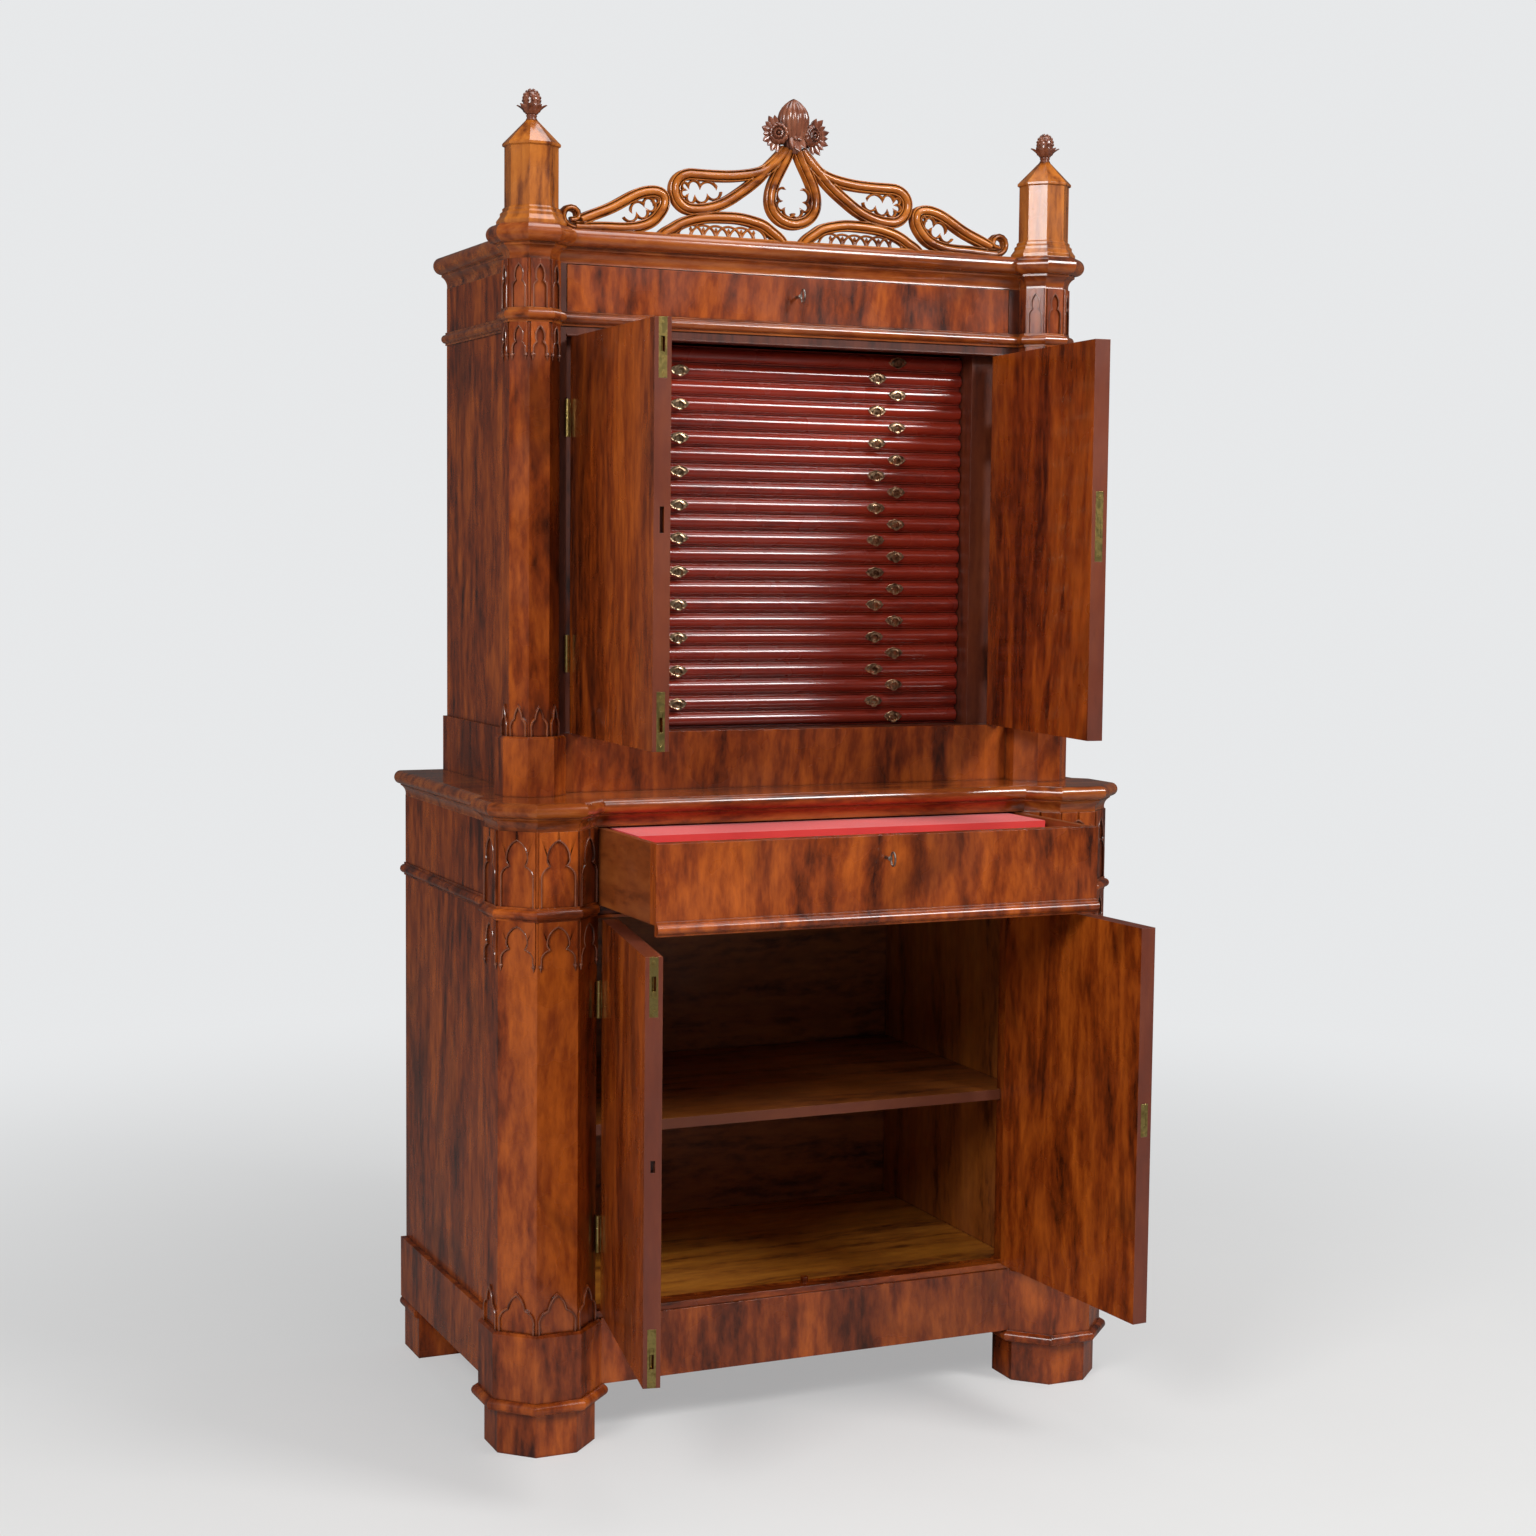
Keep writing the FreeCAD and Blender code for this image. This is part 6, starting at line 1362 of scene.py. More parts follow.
@dataclass
class Screws(Part):
    """The slotted screws in a door's brass plates and hinge leaves."""

    door: str
    head_radius: float = 0.0025
    head_rise: float = 0.0004
    slot_half: float = 0.0004
    slot_floor: float = 0.0001
    rim_steps: int = 8
    turn_by_plate: float = 1.3
    turn_by_row: float = 2.1
    leaf_sink: float = 0.0003
    leaf_height: float = 0.064
    least_width: float = 0.010
    end_share: float = 0.41
    upright: float = 0.1
    place_digits: int = 4
    turn_digits: int = 2

    def build(self, brass: Mesh, board: Mesh) -> None:
        """Set the screws on the outer face of every plate, nearly flush in the leaves, which close.

        Args:
            brass: the door's brass, from which the plates are read.
            board: the door's wood, which tells inside from outside.
        """
        middle = sum((vert.co for vert in board.vertices), Vector()) / len(board.vertices)
        spots = []
        for number, (centre, normal, height) in enumerate(self._plates(brass, middle)):
            is_leaf = abs(height - self.leaf_height) < self.head_radius
            for row in (-1, 0, 1) if is_leaf else (-1, 1):
                place = centre + upward(row * self.end_share * height)
                if is_leaf:
                    place -= normal * self.leaf_sink
                angle = self.turn_by_plate * number + self.turn_by_row * row
                slot_turn = Euler((0.0, 0.0, angle)).to_quaternion()
                turn = normal.to_track_quat("Z", "Y") @ slot_turn
                spots.append(Spot(place, tuple(turn.to_euler())))
        metal = self.finishes.plain(Finishes.BRASS)
        self.scatter(f"{self.door}_screws", self._head(), spots, metal, Slot.BRASS, body=self.door)

    def _head(self) -> Shape:
        """Build a screw head: a low disc and the two halves beside its slot.

        Returns:
            The head.
        """
        disc = [(self.head_radius, 0.0), (self.head_radius, self.slot_floor)]
        shape = turned(disc, 2 * self.rim_steps)
        start = math.asin(self.slot_half / self.head_radius)
        for side in (-1, 1):
            rim = []
            for step in range(self.rim_steps + 1):
                angle = start + (math.pi - 2 * start) * step / self.rim_steps
                rim.append(self.head_radius * Vector((math.cos(angle), side * math.sin(angle), 0.0)))
            shape.strip([[corner + upward(rise) for corner in rim] for rise in (0.0, self.head_rise)])
        return shape

    def _plates(self, brass: Mesh, middle: Vector) -> list[tuple[Vector, Vector, float]]:
        """Find the outer faces of the plates.

        Args:
            brass: the door's brass.
            middle: the middle of the door's board.

        Returns:
            The centre, outward normal and height of each face.
        """
        plates: dict[tuple, list[MeshPolygon]] = {}
        for face in brass.polygons:
            outward = face.normal.dot(face.center - middle) > 0
            if outward and abs(face.normal.z) < self.upright:
                away = round(face.normal.dot(face.center), self.place_digits)
                key = (*(round(part, self.turn_digits) for part in face.normal), away)
                plates.setdefault(key, []).append(face)
        found = []
        for faces in plates.values():
            for cluster in self._clusters(faces):
                corners = [brass.vertices[index].co for face in cluster for index in face.vertices]
                low = min(corner.z for corner in corners)
                high = max(corner.z for corner in corners)
                area = sum(face.area for face in cluster)
                if area < self.leaf_height * self.least_width:
                    continue
                centre = sum((face.center * face.area for face in cluster), Vector()) / area
                centre.z = (low + high) / 2
                found.append((centre, cluster[0].normal.copy(), high - low))
        return found

    def _clusters(self, faces: Sequence[MeshPolygon]) -> list[list[MeshPolygon]]:
        """Part faces of one plane into clusters that lie apart in height.

        Args:
            faces: the faces.

        Returns:
            The clusters, from the lowest.
        """
        clusters: list[list[MeshPolygon]] = []
        for face in sorted(faces, key=lambda face: face.center.z):
            if clusters and face.center.z - clusters[-1][-1].center.z < self.leaf_height:
                clusters[-1].append(face)
            else:
                clusters.append([face])
        return clusters


@dataclass
class HingedDoor(Part):
    """One door: its wooden board, the brass let into it and the screws."""

    name: str
    seed: int
    board_share: float = 0.9

    def build(self) -> None:
        """Take the door apart into board and brass, and dress both."""
        low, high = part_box(self.name)
        tall = (high.z - low.z) * self.board_share
        copy = SolidCopy(self.name)
        board = copy.keep(lambda bottom, top: top.z - bottom.z > tall)
        brass = copy.keep(lambda bottom, top: top.z - bottom.z <= tall)
        broad = max(board.polygons, key=lambda face: face.area).normal.copy()
        mark_trim(board, lambda normal: abs(normal.dot(broad)) < FACING)
        Screws(self.finishes, self.repeats, self.name).build(brass, board)
        wood = self.finishes.wood(Finishes.MAHOGANY, Grain.UPRIGHT, self.seed)
        self.show(f"{self.name}_board", board, wood, Slot.MAHOGANY, self.name, body=self.name)
        metal = self.finishes.plain(Finishes.BRASS)
        self.show(f"{self.name}_brass", brass, metal, Slot.BRASS, body=self.name)


@dataclass
class ShallowDrawer(Part):
    """One inner drawer: its rounded front and box, and its two ring pulls."""

    name: str
    seed: int
    pull_size: float = 0.04
    plate_size: float = 0.03
    half_length: float = 0.0190
    half_height: float = 0.0100
    point: float = 0.45
    plate_corners: int = 32
    lobes: int = 8
    lobe_depth: float = 0.04
    ring_radius: float = 0.0075
    wire_radius: float = 0.0011
    wire_sides: int = 6
    ring_steps: int = 20
    ring_ahead: float = 0.0036
    eye_rise: float = 0.0043
    eye_seat: float = 0.0008
    PLATE: ClassVar[Outline] = [
        (1.00, 0.0), (1.00, 0.0011), (0.94, 0.0016), (0.84, 0.0011), (0.70, 0.0010), (0.58, 0.0017),
        (0.30, 0.0021), (0.02, 0.0022),
    ]
    EYE: ClassVar[Outline] = [
        (0.0018, 0.0), (0.0014, 0.0018), (0.0023, 0.0032), (0.0021, 0.0046), (0.0004, 0.0054),
    ]

    def build(self) -> None:
        """Take the wood out of the drawer's solid, dress it and hang its pulls."""
        copy = SolidCopy(self.name)
        wood = copy.keep(lambda bottom, top: max(top - bottom) > self.pull_size)
        red = self.finishes.wood(Finishes.RED, Grain.ACROSS, self.seed)
        self.show(f"{self.name}_wood", wood, red, Slot.RED, self.name, body=self.name)
        spots = []
        for low, high in copy.boxes():
            if self.plate_size < high.x - low.x <= self.pull_size:
                spots.append(Spot(Vector(((low.x + high.x) / 2, high.y, (low.z + high.z) / 2))))
        metal = self.finishes.plain(Finishes.DARK_BRASS)
        self.scatter(
            f"{self.name}_pulls", self._pull(), spots, metal, Slot.BRASS, seed=self.seed, body=self.name
        )

    def _pull(self) -> Shape:
        """Build a ring pull: a lobed pointed plate, the eye on it and the ring in the eye.

        Returns:
            The pull.
        """
        shape = Shape()
        rings = []
        for share, ahead in self.PLATE:
            ring = []
            for angle in once_round(self.plate_corners):
                lobe = 1 - self.lobe_depth * (1 - math.cos(self.lobes * angle)) * share
                rise = math.sin(angle)
                across = self.half_length * math.cos(angle) * share * lobe
                up = self.half_height * rise * abs(rise) ** self.point * share * lobe
                ring.append(Vector((across, -ahead, up)))
            rings.append(ring)
        shape.strip(rings)
        forward = Matrix.Rotation(math.pi / 2, 4, "X")
        shape.add(turned(self.EYE), Matrix.Translation((0.0, -self.eye_seat, self.eye_rise)) @ forward)
        centre = Vector((0.0, -self.ring_ahead, self.eye_rise - self.ring_radius))
        rings = []
        for angle in once_round(self.ring_steps):
            out = Vector((math.cos(angle), 0.0, math.sin(angle)))
            rings.append([
                centre + out * (self.ring_radius + away) + Vector((0.0, ahead, 0.0))
                for away, ahead in round_outline(self.wire_radius, self.wire_radius, self.wire_sides)
            ])
        shape.strip(rings, looped=True)
        return shape


@dataclass(frozen=True)
class Petal:
    """A pointed leaf that stands on the origin and curls towards the front.

    curl is how far its tip leans forward. least, thickness and hollow are shares of the width.
    """

    length: float
    width: float
    curl: float
    foot: float = 0.16
    fullness: float = 0.8
    least: float = 0.03
    thickness: float = 0.10
    taper: float = 1.15
    hollow: float = 0.12
    steps: int = 8
    sides: int = 10

    def shape(self) -> Shape:
        """Build the leaf from its foot to its tip.

        Returns:
            The leaf.
        """
        shape = Shape()
        rings = []
        for step in range(self.steps + 1):
            share = step / self.steps
            swell = math.sin(math.pi * (self.foot + (1 - self.foot) * share)) ** self.fullness
            half = self.width / 2 * (swell + self.least)
            deep = self.width * self.thickness * (self.taper - share)
            centre = Vector((0.0, -self.curl * share ** 2, self.length * share))
            ring = []
            for across, ahead in round_outline(half, deep, self.sides):
                hollow = self.width * self.hollow * (across / half) ** 2
                ring.append(centre + Vector((across, ahead + hollow, 0.0)))
            rings.append(ring)
        shape.strip(rings)
        return shape


@dataclass
class Turrets(Part):
    """The two octagonal turrets, and the leaf cups and scaly buds on them."""

    body_height: float = 0.1
    half_width: float = 0.0235
    height: float = 0.050
    leaf: Petal = Petal(0.0215, 0.0175, 0.0065)
    petals: int = 8
    cup_lean: float = 0.62
    cup_reach: float = 0.36
    cup_rise: float = 0.21
    scale_reach: float = 0.62
    scale_climb: float = 0.72
    bud_middle: float = 0.66
    core_sides: int = 24
    scale_sides: int = 8
    rows: int = 5
    row_count: int = 11
    fewest_scales: int = 5
    lowest_row: float = -5.0
    row_step: float = 19.0
    CORE: ClassVar[Outline] = [
        (0.43, 0.00), (0.34, 0.08), (0.40, 0.14), (0.34, 0.20), (0.60, 0.27), (0.74, 0.40), (0.62, 0.47),
        (0.60, 0.52), (0.66, 0.64), (0.62, 0.78), (0.46, 0.90), (0.22, 0.97), (0.04, 1.00),
    ]
    SCALE: ClassVar[Outline] = [
        (0.0003, -0.0024), (0.0019, -0.0014), (0.0024, 0.0), (0.0017, 0.0016), (0.0003, 0.0028),
    ]

    def build(self) -> None:
        """Build the bodies and finish them with cups and buds."""
        copy = SolidCopy("turrets")
        golden = self.finishes.wood(Finishes.GOLDEN, Grain.UPRIGHT, 15)
        bodies = copy.keep(lambda bottom, top: top.z - bottom.z > self.body_height)
        self.show("turret_bodies", bodies, golden, Slot.GOLDEN, "turrets")
        feet = []
        for low, high in copy.boxes():
            if high.z - low.z <= self.body_height:
                feet.append(Vector(((low.x + high.x) / 2, (low.y + high.y) / 2, low.z)))
        brown = self.finishes.wood(Finishes.BUD, Grain.UPRIGHT, 31)
        core = Shape()
        profile = [(radius * self.half_width, up * self.height) for radius, up in self.CORE]
        for foot in feet:
            core.lathe(profile, foot, self.core_sides)
        self.show("finial_cores", core.mesh("finial_cores"), brown, Slot.GOLDEN)
        for name, item, spots, variation, seed in (
            ("finial_leaves", self.leaf.shape(), self._cup_spots(feet), 0.04, 3),
            ("finial_scales", turned(self.SCALE, self.scale_sides), self._scale_spots(feet), 0.08, 4),
        ):
            self.scatter(name, item, spots, brown, Slot.GOLDEN, variation, seed)

    def _cup_spots(self, feet: Sequence[Vector]) -> list[Spot]:
        """Place the leaves of the cups, leaning outwards.

        Args:
            feet: the feet of the finials.

        Returns:
            The spots.
        """
        spots = []
        for foot in feet:
            for number in range(self.petals):
                angle = 2 * math.pi * (number + 0.5) / self.petals
                out = Vector((math.cos(angle), math.sin(angle), 0.0))
                place = foot + out * (self.cup_reach * self.half_width)
                place += upward(self.cup_rise * self.height)
                lean = Euler((self.cup_lean, 0.0, 0.0)).to_quaternion()
                turn = Euler((0.0, 0.0, angle + math.pi / 2)).to_quaternion() @ lean
                spots.append(Spot(place, tuple(turn.to_euler())))
        return spots

    def _scale_spots(self, feet: Sequence[Vector]) -> list[Spot]:
        """Place the scales of the buds, row above row.

        Args:
            feet: the feet of the finials.

        Returns:
            The spots.
        """
        spots = []
        for foot in feet:
            for row in range(self.rows):
                lift = math.radians(self.lowest_row + self.row_step * row)
                flat = math.cos(lift)
                count = max(self.fewest_scales, round(self.row_count * flat))
                for number in range(count):
                    angle = 2 * math.pi * (number + row / 2) / count
                    out = Vector((math.cos(angle) * flat, math.sin(angle) * flat, math.sin(lift)))
                    reach = out * Vector((self.scale_reach, self.scale_reach, self.scale_climb))
                    middle = foot + upward(self.bud_middle * self.height)
                    spots.append(Spot(middle + reach * self.half_width))
        return spots


@dataclass
class ColumnFrets(Part):
    """The frets of one pair of columns: pierced plates with beads round their arches, and drops.

    FRIEZE_SHARES and HANGING_SHARES hold how much of a fret's height lies below its arch's springing
    and above its point. TREFOIL and OGEE hold three points of each arc, in shares of the half width and
    of the rise.
    """

    level: str
    hanging_height: float
    rising_height: float
    inset: float = 0.0025
    rib: float = 0.004
    thickness: float = 0.003
    bead: float = 0.0015
    bead_sides: int = 6
    arc_steps: int = 6
    rising_jamb: float = 0.20
    drop_in: float = 0.0034
    drop_out: float = 0.0018
    FRIEZE_SHARES: ClassVar[tuple[float, float]] = (0.42, 0.11)
    HANGING_SHARES: ClassVar[tuple[float, float]] = (0.14, 0.10)
    TREFOIL: ClassVar[list[Outline]] = [
        [(1.0, 0.0), (0.81, 0.17), (0.47, 0.27)],
        [(0.47, 0.27), (0.61, 0.35), (0.66, 0.50)],
        [(0.66, 0.50), (0.48, 0.80), (0.0, 1.0)],
    ]
    OGEE: ClassVar[list[Outline]] = [
        [(1.0, 0.0), (0.86, 0.36), (0.50, 0.50)],
        [(0.50, 0.50), (0.32, 0.80), (0.0, 1.0)],
    ]
    DROP: ClassVar[Outline] = [
        (0.0004, -0.012), (0.0013, -0.008), (0.0016, -0.0055), (0.0031, -0.0045), (0.0036, -0.0025),
        (0.0027, -0.0008), (0.0019, 0.0004), (0.0026, 0.0014), (0.0006, 0.0026),
    ]

    def build(self) -> None:
        """Build one face's frets, set them on four faces of both columns and keep the rising ones."""
        low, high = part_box(f"{self.level}_columns")
        band_low, band_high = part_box(f"{self.level}_band")
        self.apothem = (high.y - low.y) / 2
        self.half = self.apothem * math.tan(EIGHTH_TURN / 2) - self.inset
        opening = self.half - self.rib
        frieze = high.z - band_high.z
        foot = band_low.z - self.hanging_height - self.DROP[0][1]
        section = round_outline(self.bead, self.bead, self.bead_sides)
        plates, beads = Shape(), Shape()
        for base, top, height, (jamb, head) in (
            (band_high.z, high.z, frieze, self.FRIEZE_SHARES),
            (foot, band_low.z, self.hanging_height, self.HANGING_SHARES),
        ):
            springing = base + jamb * height
            path = self._arch(opening, base, springing, top - head * height, self.TREFOIL)
            self._plate(plates, path, springing, top)
            beads.swept(path, section)
        springing = low.z + self.rising_jamb * self.rising_height
        apex = low.z + self.rising_height - self.bead * 3
        beads.swept(self._arch(self.half - self.rib / 2, low.z, springing, apex, self.OGEE), section)
        for side in (-1, 1):
            top = Vector((side * (self.half - self.drop_in), -self.apothem - self.drop_out, foot))
            beads.lathe(self.DROP, top, TURNED_SIDES)
        spots = []
        for face in range(-1, 3):
            for side in (-1, 1):
                place = Vector((side * (high.x - self.apothem), (low.y + high.y) / 2, 0.0))
                spots.append(Spot(place, (0.0, 0.0, side * face * EIGHTH_TURN)))
        veneer = self.finishes.wood(Finishes.MAHOGANY, Grain.UPRIGHT, 6)
        # The beads take the darker brown wood, which paints the shade along the arches' outlines.
        dark = self.finishes.wood(Finishes.BUD, Grain.UPRIGHT, 6)
        self.scatter(f"{self.level}_fret_plates", plates, spots, veneer, Slot.MAHOGANY)
        self.scatter(f"{self.level}_fret_beads", beads, spots, dark, Slot.MAHOGANY)
        node = f"{self.level}_column_tracery"
        rising = SolidCopy(node).keep(lambda bottom, top: bottom.z < low.z + self.rising_height / 2)
        self.show(f"{self.level}_rising_frets", rising, veneer, Slot.MAHOGANY, node)

    def _plate(self, shape: Shape, arch: Sequence[Vector], springing: float, top: float) -> None:
        """Add the pierced plate round an arch, between the arch and the face's upright and top edges.

        Args:
            shape: takes the plate.
            arch: the opening's edge, from the left foot to the right.
            springing: where the arch begins to close in.
            top: the plate's top.
        """
        middle = len(arch) // 2
        cusp = next(index for index in range(1, middle) if arch[index + 1].x < arch[index].x)
        front = -self.apothem - self.thickness
        back = -self.apothem + self.thickness / 4
        for side in (-1, 1):
            rings = []
            for index, inner in enumerate(arch[:middle + 1]):
                if index <= 1:
                    outer = (-self.half, inner.z)
                elif index <= cusp:
                    outer = (-self.half, springing + (top - springing) * (index - 1) / (cusp - 1))
                else:
                    outer = (-self.half * (middle - index) / (middle - cusp), top)
                corners = ((inner.x, inner.z), outer)
                ring = [Vector((-side * across, front, up)) for across, up in corners]
                ring += [Vector((-side * across, back, up)) for across, up in reversed(corners)]
                rings.append(ring)
            shape.strip(rings)

    def _arch(
        self, half: float, foot: float, springing: float, apex: float, arcs: Sequence[Outline]
    ) -> list[Vector]:
        """Return points along an arch before the front face of a column.

        Args:
            half: half the arch's width.
            foot: the height of its feet.
            springing: where it begins to close in.
            apex: the height of its point.
            arcs: the first, middle and last points of its arcs, in shares of half and of its rise.

        Returns:
            The points, from the left foot to the right.
        """
        face_y = -(self.apothem + self.thickness - self.bead / 4)
        left = [Vector((-half, face_y, foot)), Vector((-half, face_y, springing))]
        rise = apex - springing
        for arc in arcs:
            ends = [Vector((-half * across, face_y, springing + rise * up)) for across, up in arc]
            left += arc_points(*ends, self.arc_steps)[1:]
        return left + [Vector((-point.x, point.y, point.z)) for point in reversed(left[:-1])]


@dataclass
class OpenworkCrest(Part):
    """The openwork crest: moulded bands, foils, small arcades, a ribbed bud and curled leaves.

    LOBES holds each band's stations, the side of its foils and the shares of its length between which
    they lie. A station is a place in shares of the half width and of the height, with the line's angle
    in degrees. BUD_LEAVES holds the lean, the rise and the size of each leaf before the bud.
    """

    half_width: float = 0.440
    arch_height: float = 0.165
    band_width: float = 0.020
    scroll_width: float = 0.011
    scroll_front: float = 0.0104
    step_length: float = 0.004
    fewest_steps: int = 6
    board_half: float = 0.009
    layer_step: float = 0.0006
    roll_front: float = 0.013
    roll_share: float = 0.62
    roll_root: float = 0.4
    roll_steps: int = 8
    seat_share: float = 0.46
    rail_height: float = 0.006
    rail_soft: float = 0.0015
    foil_pitch: float = 0.030
    foil_depth: float = 0.009
    foil_half: float = 0.0022
    foil_front: float = 0.006
    foil_steps: int = 10
    slim_sides: int = 8
    arcade_radius: float = 0.024
    arcade_count: int = 6
    arcade_start: float = 0.170
    arcade_front: float = 0.004
    arcade_steps: int = 16
    post_seat: float = 0.8
    bud_start: float = 0.96
    bud_height: float = 0.096
    bud_radius: float = 0.029
    bud_ribs: int = 16
    leaf_ribs: int = 12
    carved_sides: int = 96
    groove: float = 0.10
    leaf_radius: float = 0.0205
    leaf_spread: float = 0.0295
    leaf_rise: float = 0.0328
    rosette_turn: float = math.radians(20)
    leaf_half: float = 0.0215
    fan_count: int = 9
    fan_ahead: float = 0.006
    fan_reach: float = 0.012
    fan_sizes: tuple[float, float] = (0.72, 0.84)
    bud_leaf_ahead: float = 0.015
    bud_leaf_across: float = -0.006
    bud_leaf_tilt: float = 0.25
    leaf: Petal = Petal(0.030, 0.017, 0.006)
    fan_start: float = 20.0
    fan_spread: float = 150.0
    LOBES: ClassVar[dict] = {
        "outer": ([
            (0.905, 0.115, 152), (0.773, 0.270, 153), (0.660, 0.430, 160), (0.557, 0.370, 268),
            (0.590, 0.195, 310), (0.664, 0.085, 345), (0.780, 0.055, 0), (0.930, 0.040, 2),
        ], 1, (0.22, 0.74)),
        "upper": ([
            (0.032, 1.000, 308), (0.102, 0.806, 322), (0.216, 0.697, 350), (0.443, 0.667, 0),
            (0.514, 0.503, 270), (0.443, 0.303, 182), (0.255, 0.467, 145), (0.136, 0.721, 133),
            (0.036, 1.000, 128),
        ], -1, (0.30, 0.70)),
        "teardrop": ([
            (0.020, 0.990, 290), (0.052, 0.812, 298), (0.100, 0.445, 268), (0.0, 0.218, 180),
        ], -1, (0.50, 0.98)),
        "low_arch": ([
            (0.045, 0.0, 62), (0.109, 0.146, 38), (0.193, 0.224, 12), (0.284, 0.242, 358),
            (0.409, 0.212, 347), (0.511, 0.103, 325), (0.568, 0.0, 308),
        ], 1, (0.0, 0.0)),
    }
    SCROLL: ClassVar[list[Station]] = [
        (0.930, 0.034, 2), (0.979, 0.150, 90), (0.916, 0.155, 270), (0.948, 0.110, 0),
    ]
    FILLET: ClassVar[Outline] = [(1.0, 0.8), (0.95, 1.1), (0.85, 1.2), (0.75, 1.1), (0.69, 0.5)]
    BUD: ClassVar[Outline] = [
        (0.36, 0.00), (0.58, 0.14), (0.76, 0.30), (0.90, 0.46), (0.98, 0.58), (0.97, 0.67), (0.88, 0.76),
        (0.72, 0.84), (0.52, 0.905), (0.31, 0.955), (0.14, 0.985), (0.03, 1.00),
    ]
    ROSETTE: ClassVar[Outline] = [
        (0.03, -0.90), (0.60, -0.95), (0.90, -0.55), (1.00, -0.05), (0.98, 0.32), (0.88, 0.62),
        (0.75, 0.80), (0.63, 0.80), (0.55, 0.64), (0.47, 0.70), (0.38, 0.88), (0.28, 0.86),
        (0.21, 0.64), (0.14, 0.70), (0.07, 0.94), (0.01, 0.96),
    ]
    CUSP: ClassVar[Outline] = [
        (0.0010, -0.003), (0.0022, 0.0), (0.0025, 0.0016), (0.0014, 0.0034), (0.0003, 0.0064),
    ]
    POST: ClassVar[Outline] = [
        (0.0026, 0.0), (0.0026, 0.004), (0.0018, 0.006), (0.0018, 0.009), (0.0032, 0.011),
        (0.0026, 0.013), (0.0004, 0.0165),
    ]
    BUD_LEAVES: ClassVar[list[Point]] = [
        (-0.42, 0.030, 0.9), (0.0, 0.030, 1.1), (0.42, 0.030, 0.9), (-0.2, 0.040, 0.7),
        (0.2, 0.040, 0.7),
    ]

    def build(self) -> None:
        """Build the carving, its cusps and posts, and the bud with its leaves."""
        low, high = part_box("crest")
        self.foot = Vector((0.0, (low.y + high.y) / 2, low.z))
        half = Shape()
        cusps: list[Spot] = []
        for layer, (stations, side, span) in enumerate(self.LOBES.values()):
            path = self._path(stations)
            half.swept(path, self._band_outline(self.band_width, self.roll_front, layer))
            self._foils(half, cusps, path, side, span)
        scroll = self._band_outline(self.scroll_width, self.scroll_front, 0)
        half.swept(self._path(self.SCROLL), scroll)
        posts = self._arcade(half)
        carving = Shape()
        for side in (-1, 1):
            carving.add(half, Matrix.Scale(side, 4, (1.0, 0.0, 0.0)))
        self._rail(carving)
        golden = self.finishes.wood(Finishes.GOLDEN, Grain.ACROSS, 16)
        self.show("crest_carving", carving.mesh("crest_carving"), golden, Slot.GOLDEN, "crest")
        for name, item, spots, variation, seed in (
            ("crest_cusps", turned(self.CUSP, self.slim_sides), cusps, 0.10, 7),
            ("crest_posts", turned(self.POST), posts, 0.0, 8),
        ):
            self.scatter(name, item, self._both(spots), golden, Slot.GOLDEN, variation, seed)
        self._bud()

    def _place(self, station: Station) -> Vector:
        """Return a station's place."""
        return self.foot + Vector((station[0] * self.half_width, 0.0, station[1] * self.arch_height))

    def _path(self, stations: Sequence[Station]) -> list[Vector]:
        """Draw the smooth line that passes the stations at their angles.

        Args:
            stations: places in shares of half the width and of the height, with angles in degrees.

        Returns:
            The points.
        """
        points: list[Vector] = []
        for low, high in zip(stations, stations[1:]):
            start, end = self._place(low), self._place(high)
            turn = math.radians((high[2] - low[2] + 180) % 360 - 180)
            handle = (end - start).length / (3 * math.cos(turn / 4) ** 2)
            leave, arrive = (
                Vector((math.cos(math.radians(angle)), 0.0, math.sin(math.radians(angle)))) * handle
                for angle in (low[2], high[2])
            )
            count = max(self.fewest_steps, round((end - start).length / self.step_length))
            points += interpolate_bezier(start, start + leave, end - arrive, end, count)[:-1]
        return [point.copy() for point in points] + [self._place(stations[-1])]

    def _band_outline(self, width: float, front: float, layer: int) -> Outline:
        """Return a band's cross-section: a round roll between two grooves and fillets.

        Args:
            width: the band's width.
            front: how far the roll stands before the carving's middle.
            layer: each layer's back stands a little further forward, so that no two share a plane.

        Returns:
            The outline's corners.
        """
        half = width / 2
        seat = front * self.seat_share
        side = [(half, layer * self.layer_step - self.board_half)]
        side += [(half * across, seat * ahead) for across, ahead in self.FILLET]
        root = seat * self.roll_root
        roll = []
        for step in range(self.roll_steps + 1):
            angle = math.pi * step / self.roll_steps
            across = half * self.roll_share * math.cos(angle)
            roll.append((across, root + (front - root) * math.sin(angle)))
        return side + roll + [(-across, ahead) for across, ahead in reversed(side)]

    def _foils(
        self, shape: Shape, cusps: list[Spot], path: Sequence[Vector], side: int,
        span: tuple[float, float],
    ) -> None:
        """Add the scalloped foils inside a lobe, and note where their cusps are.

        Args:
            shape: takes the foils.
            cusps: takes a spot for each cusp.
            path: the middle of the lobe's band.
            side: 1 where the foils lie to the left of the path, -1 to the right.
            span: the shares of the path between which they lie.
        """
        count = round(path_length(path) / self.foil_pitch)
        points = even_points(path, 2 * count)
        outline = round_outline(self.foil_half, self.foil_front, self.slim_sides)
        seat = self.band_width / 2 + self.foil_half / 2
        reach = self.band_width / 2 + self.foil_depth
        for index in range(round(count * span[0]), round(count * span[1])):
            first, middle, last = (
                self._beside(points, 2 * index + step, side * away)
                for step, away in enumerate((reach, seat, reach))
            )
            shape.swept(arc_points(first, middle, last, self.foil_steps), outline)
            inward = (first - points[2 * index]).normalized()
            cusps.append(Spot(first, (0.0, math.atan2(inward.x, inward.z), 0.0)))

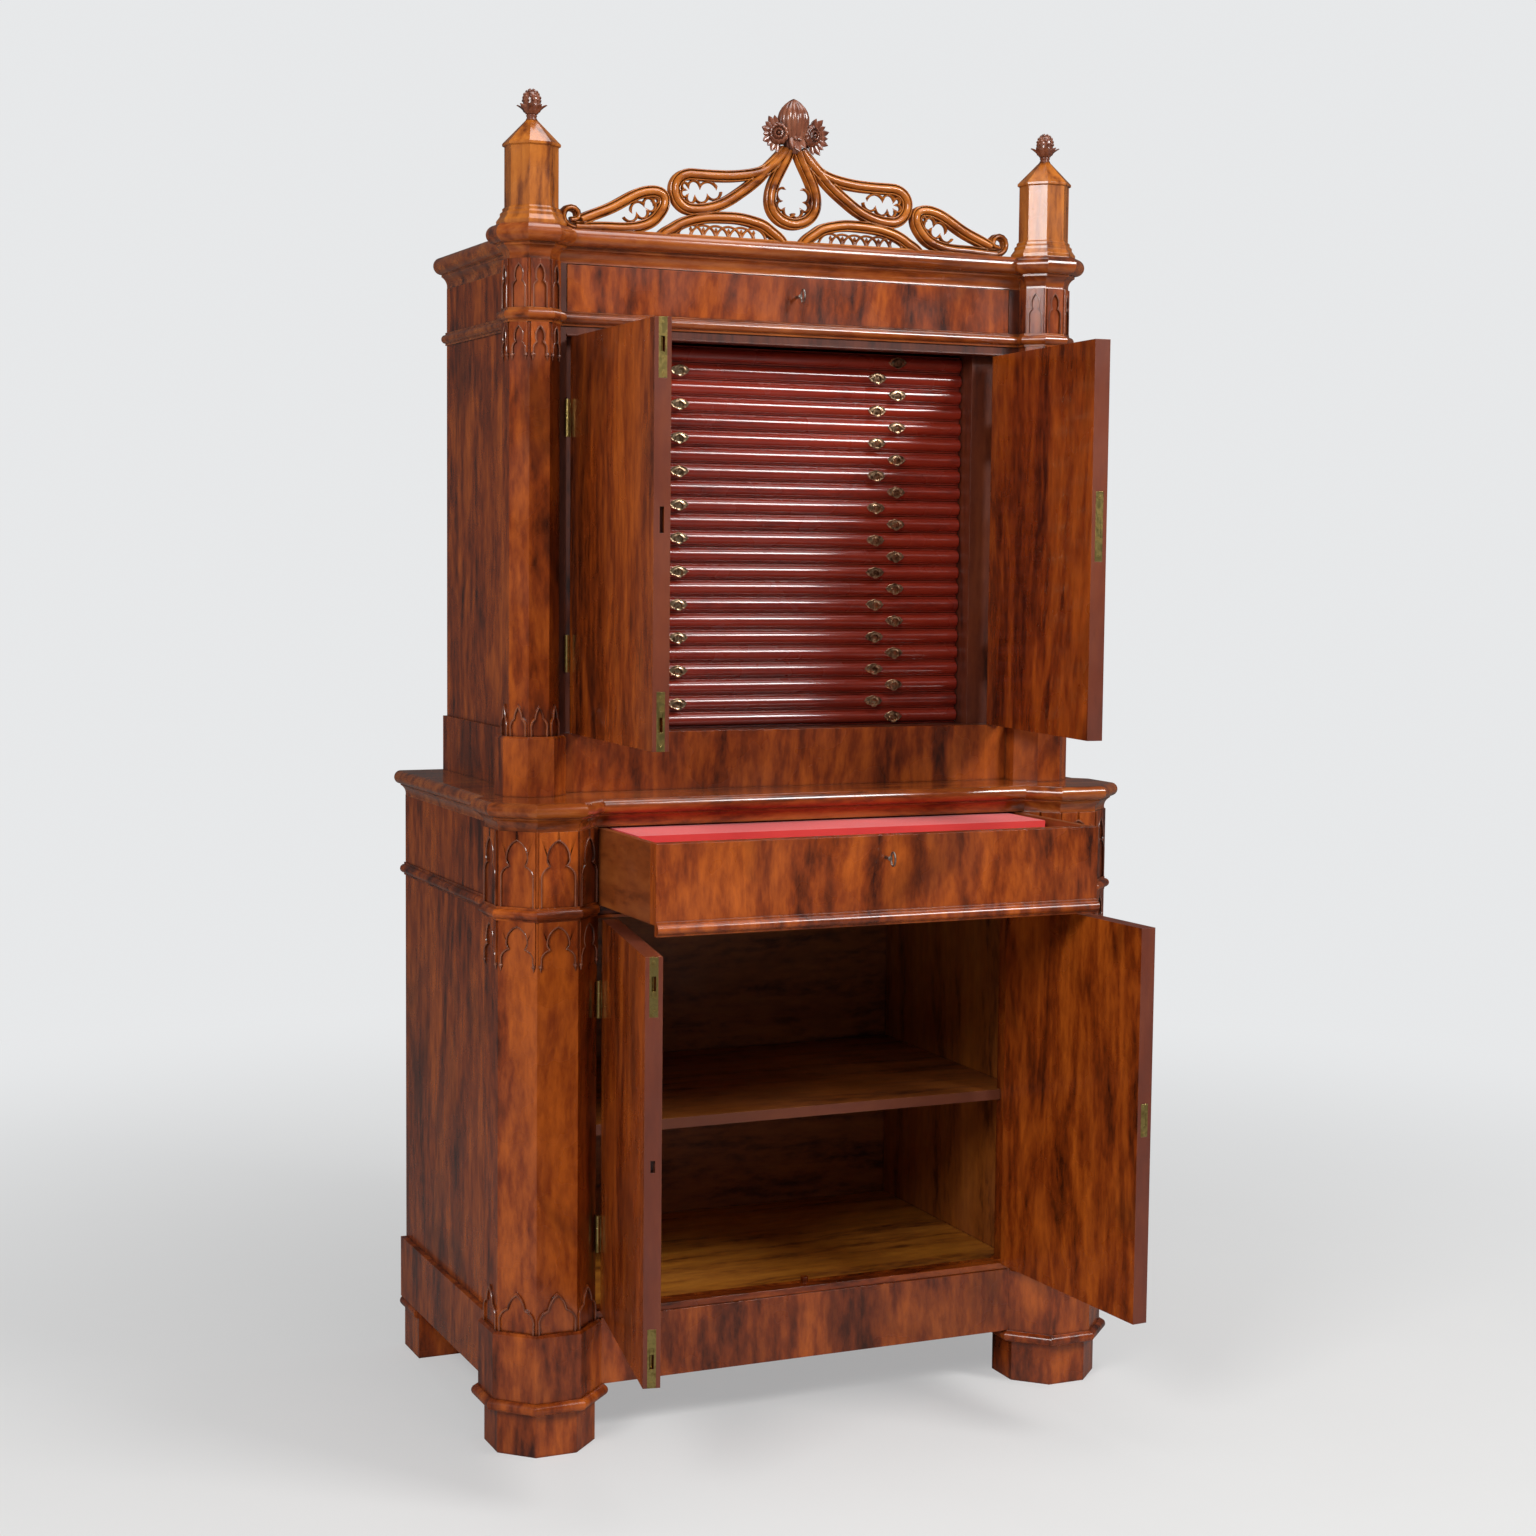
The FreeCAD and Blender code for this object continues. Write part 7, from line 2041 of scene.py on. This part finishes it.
    def _beside(self, points: Sequence[Vector], index: int, reach: float) -> Vector:
        """Return the place beside a path's point, to the left where the reach is above zero."""
        return points[index] + left_of(points, index) * reach

    def _arcade(self, shape: Shape) -> list[Spot]:
        """Add the interlaced round arches under the low arch.

        Args:
            shape: takes the arches.

        Returns:
            Where their posts stand.
        """
        posts = []
        outline = round_outline(self.foil_half, self.arcade_front, self.slim_sides)
        for index in range(self.arcade_count):
            middle = self.arcade_start * self.half_width + index * self.arcade_radius
            centre = self.foot + Vector((middle, 0.0, 0.0))
            reach = Vector((self.arcade_radius, 0.0, 0.0))
            top = centre + upward(self.arcade_radius)
            shape.swept(arc_points(centre - reach, top, centre + reach, self.arcade_steps), outline)
            posts.append(Spot(centre + upward(self.rail_height * self.post_seat)))
        return posts

    def _both(self, spots: Sequence[Spot]) -> list[Spot]:
        """Mirror spots to the other half.

        Args:
            spots: spots on one half.

        Returns:
            The spots of both halves.
        """
        flip = Vector((-1.0, 1.0, 1.0))
        mirrored = [Spot(spot.place * flip, (0.0, -spot.turn[1], 0.0), spot.size) for spot in spots]
        return [*spots, *mirrored]

    def _rail(self, shape: Shape) -> None:
        """Add the foot rail with its rounded top edges.

        Args:
            shape: takes the rail.
        """
        end = self.half_width * self.LOBES["outer"][0][-1][0]
        half, top, soft = self.board_half, self.rail_height, self.rail_soft
        side = [(half, 0.0), (half, top - soft), (half - soft, top)]
        outline = side + [(-across, up) for across, up in reversed(side)]
        shape.strip([
            [self.foot + Vector((along, across, up)) for across, up in outline] for along in (-end, end)
        ])

    def _bud(self) -> None:
        """Build the ribbed bud, the two curled leaves and the leaves between and above them."""
        foot = self.foot + upward(self.arch_height * self.bud_start)
        shape = Shape()
        profile = [(radius * self.bud_radius, up * self.bud_height) for radius, up in self.BUD]
        shape.lathe(profile, foot, self.carved_sides, self.bud_ribs, self.groove)
        rosette = Shape()
        profile = [(radius * self.leaf_radius, ahead * self.leaf_half) for radius, ahead in self.ROSETTE]
        rosette.lathe(profile, Vector(), self.carved_sides, self.leaf_ribs, self.groove)
        for side in (-1, 1):
            place = foot + Vector((side * self.leaf_spread, 0.0, self.leaf_rise))
            turn = Matrix.Rotation(side * self.rosette_turn, 4, "Z")
            shape.add(rosette, Matrix.Translation(place) @ turn @ Matrix.Rotation(math.pi / 2, 4, "X"))
        brown = self.finishes.wood(Finishes.BUD, Grain.UPRIGHT, 32)
        self.show("crest_bud", shape.mesh("crest_bud", RIBBED_SHARP_DEGREES), brown, Slot.GOLDEN)
        spots = []
        for lean, up, size in self.BUD_LEAVES:
            place = foot + Vector((math.sin(lean) * self.bud_leaf_across, -self.bud_leaf_ahead, up))
            spots.append(Spot(place, (self.bud_leaf_tilt, math.pi + lean, 0.0), size))
        for side in (-1, 1):
            for number in range(self.fan_count):
                share = number / (self.fan_count - 1)
                angle = side * math.radians(self.fan_start + self.fan_spread * share)
                out = Vector((math.sin(angle), 0.0, math.cos(angle)))
                hub = foot + Vector((side * self.leaf_spread, -self.fan_ahead, self.leaf_rise))
                size = self.fan_sizes[number % 2]
                spots.append(Spot(hub + out * self.fan_reach, (0.0, angle, 0.0), size))
        leaf = self.leaf.shape()
        self.scatter("crest_leaves", leaf, spots, brown, Slot.GOLDEN, variation=0.03, seed=9)


def main() -> None:
    """Build the studio and dress the cabinet, piece by piece."""
    logging.basicConfig(level=logging.INFO, format="%(name)s: %(message)s")
    CameraPlace().build()
    Studio().build()
    tools = (Finishes(), Repeats())
    for part in (WoodenCase, LowerInside, Fittings, OpenworkCrest, Turrets):
        part(*tools).build()
    ColumnFrets(*tools, "lower", hanging_height=0.084, rising_height=0.070).build()
    ColumnFrets(*tools, "upper", hanging_height=0.064, rising_height=0.054).build()
    for level in ("lower", "upper"):
        Key(*tools, f"{level}_drawer_key").build()
    doors = ("lower_left_door", "lower_right_door", "upper_left_door", "upper_right_door")
    for seed, name in enumerate(doors, FIRST_DOOR_SEED):
        HingedDoor(*tools, name, seed).build()
    for node in sorted(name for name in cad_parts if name.startswith("inner_drawer_")):
        ShallowDrawer(*tools, node, int(node[-2:])).build()


if __name__ == "__main__":
    main()
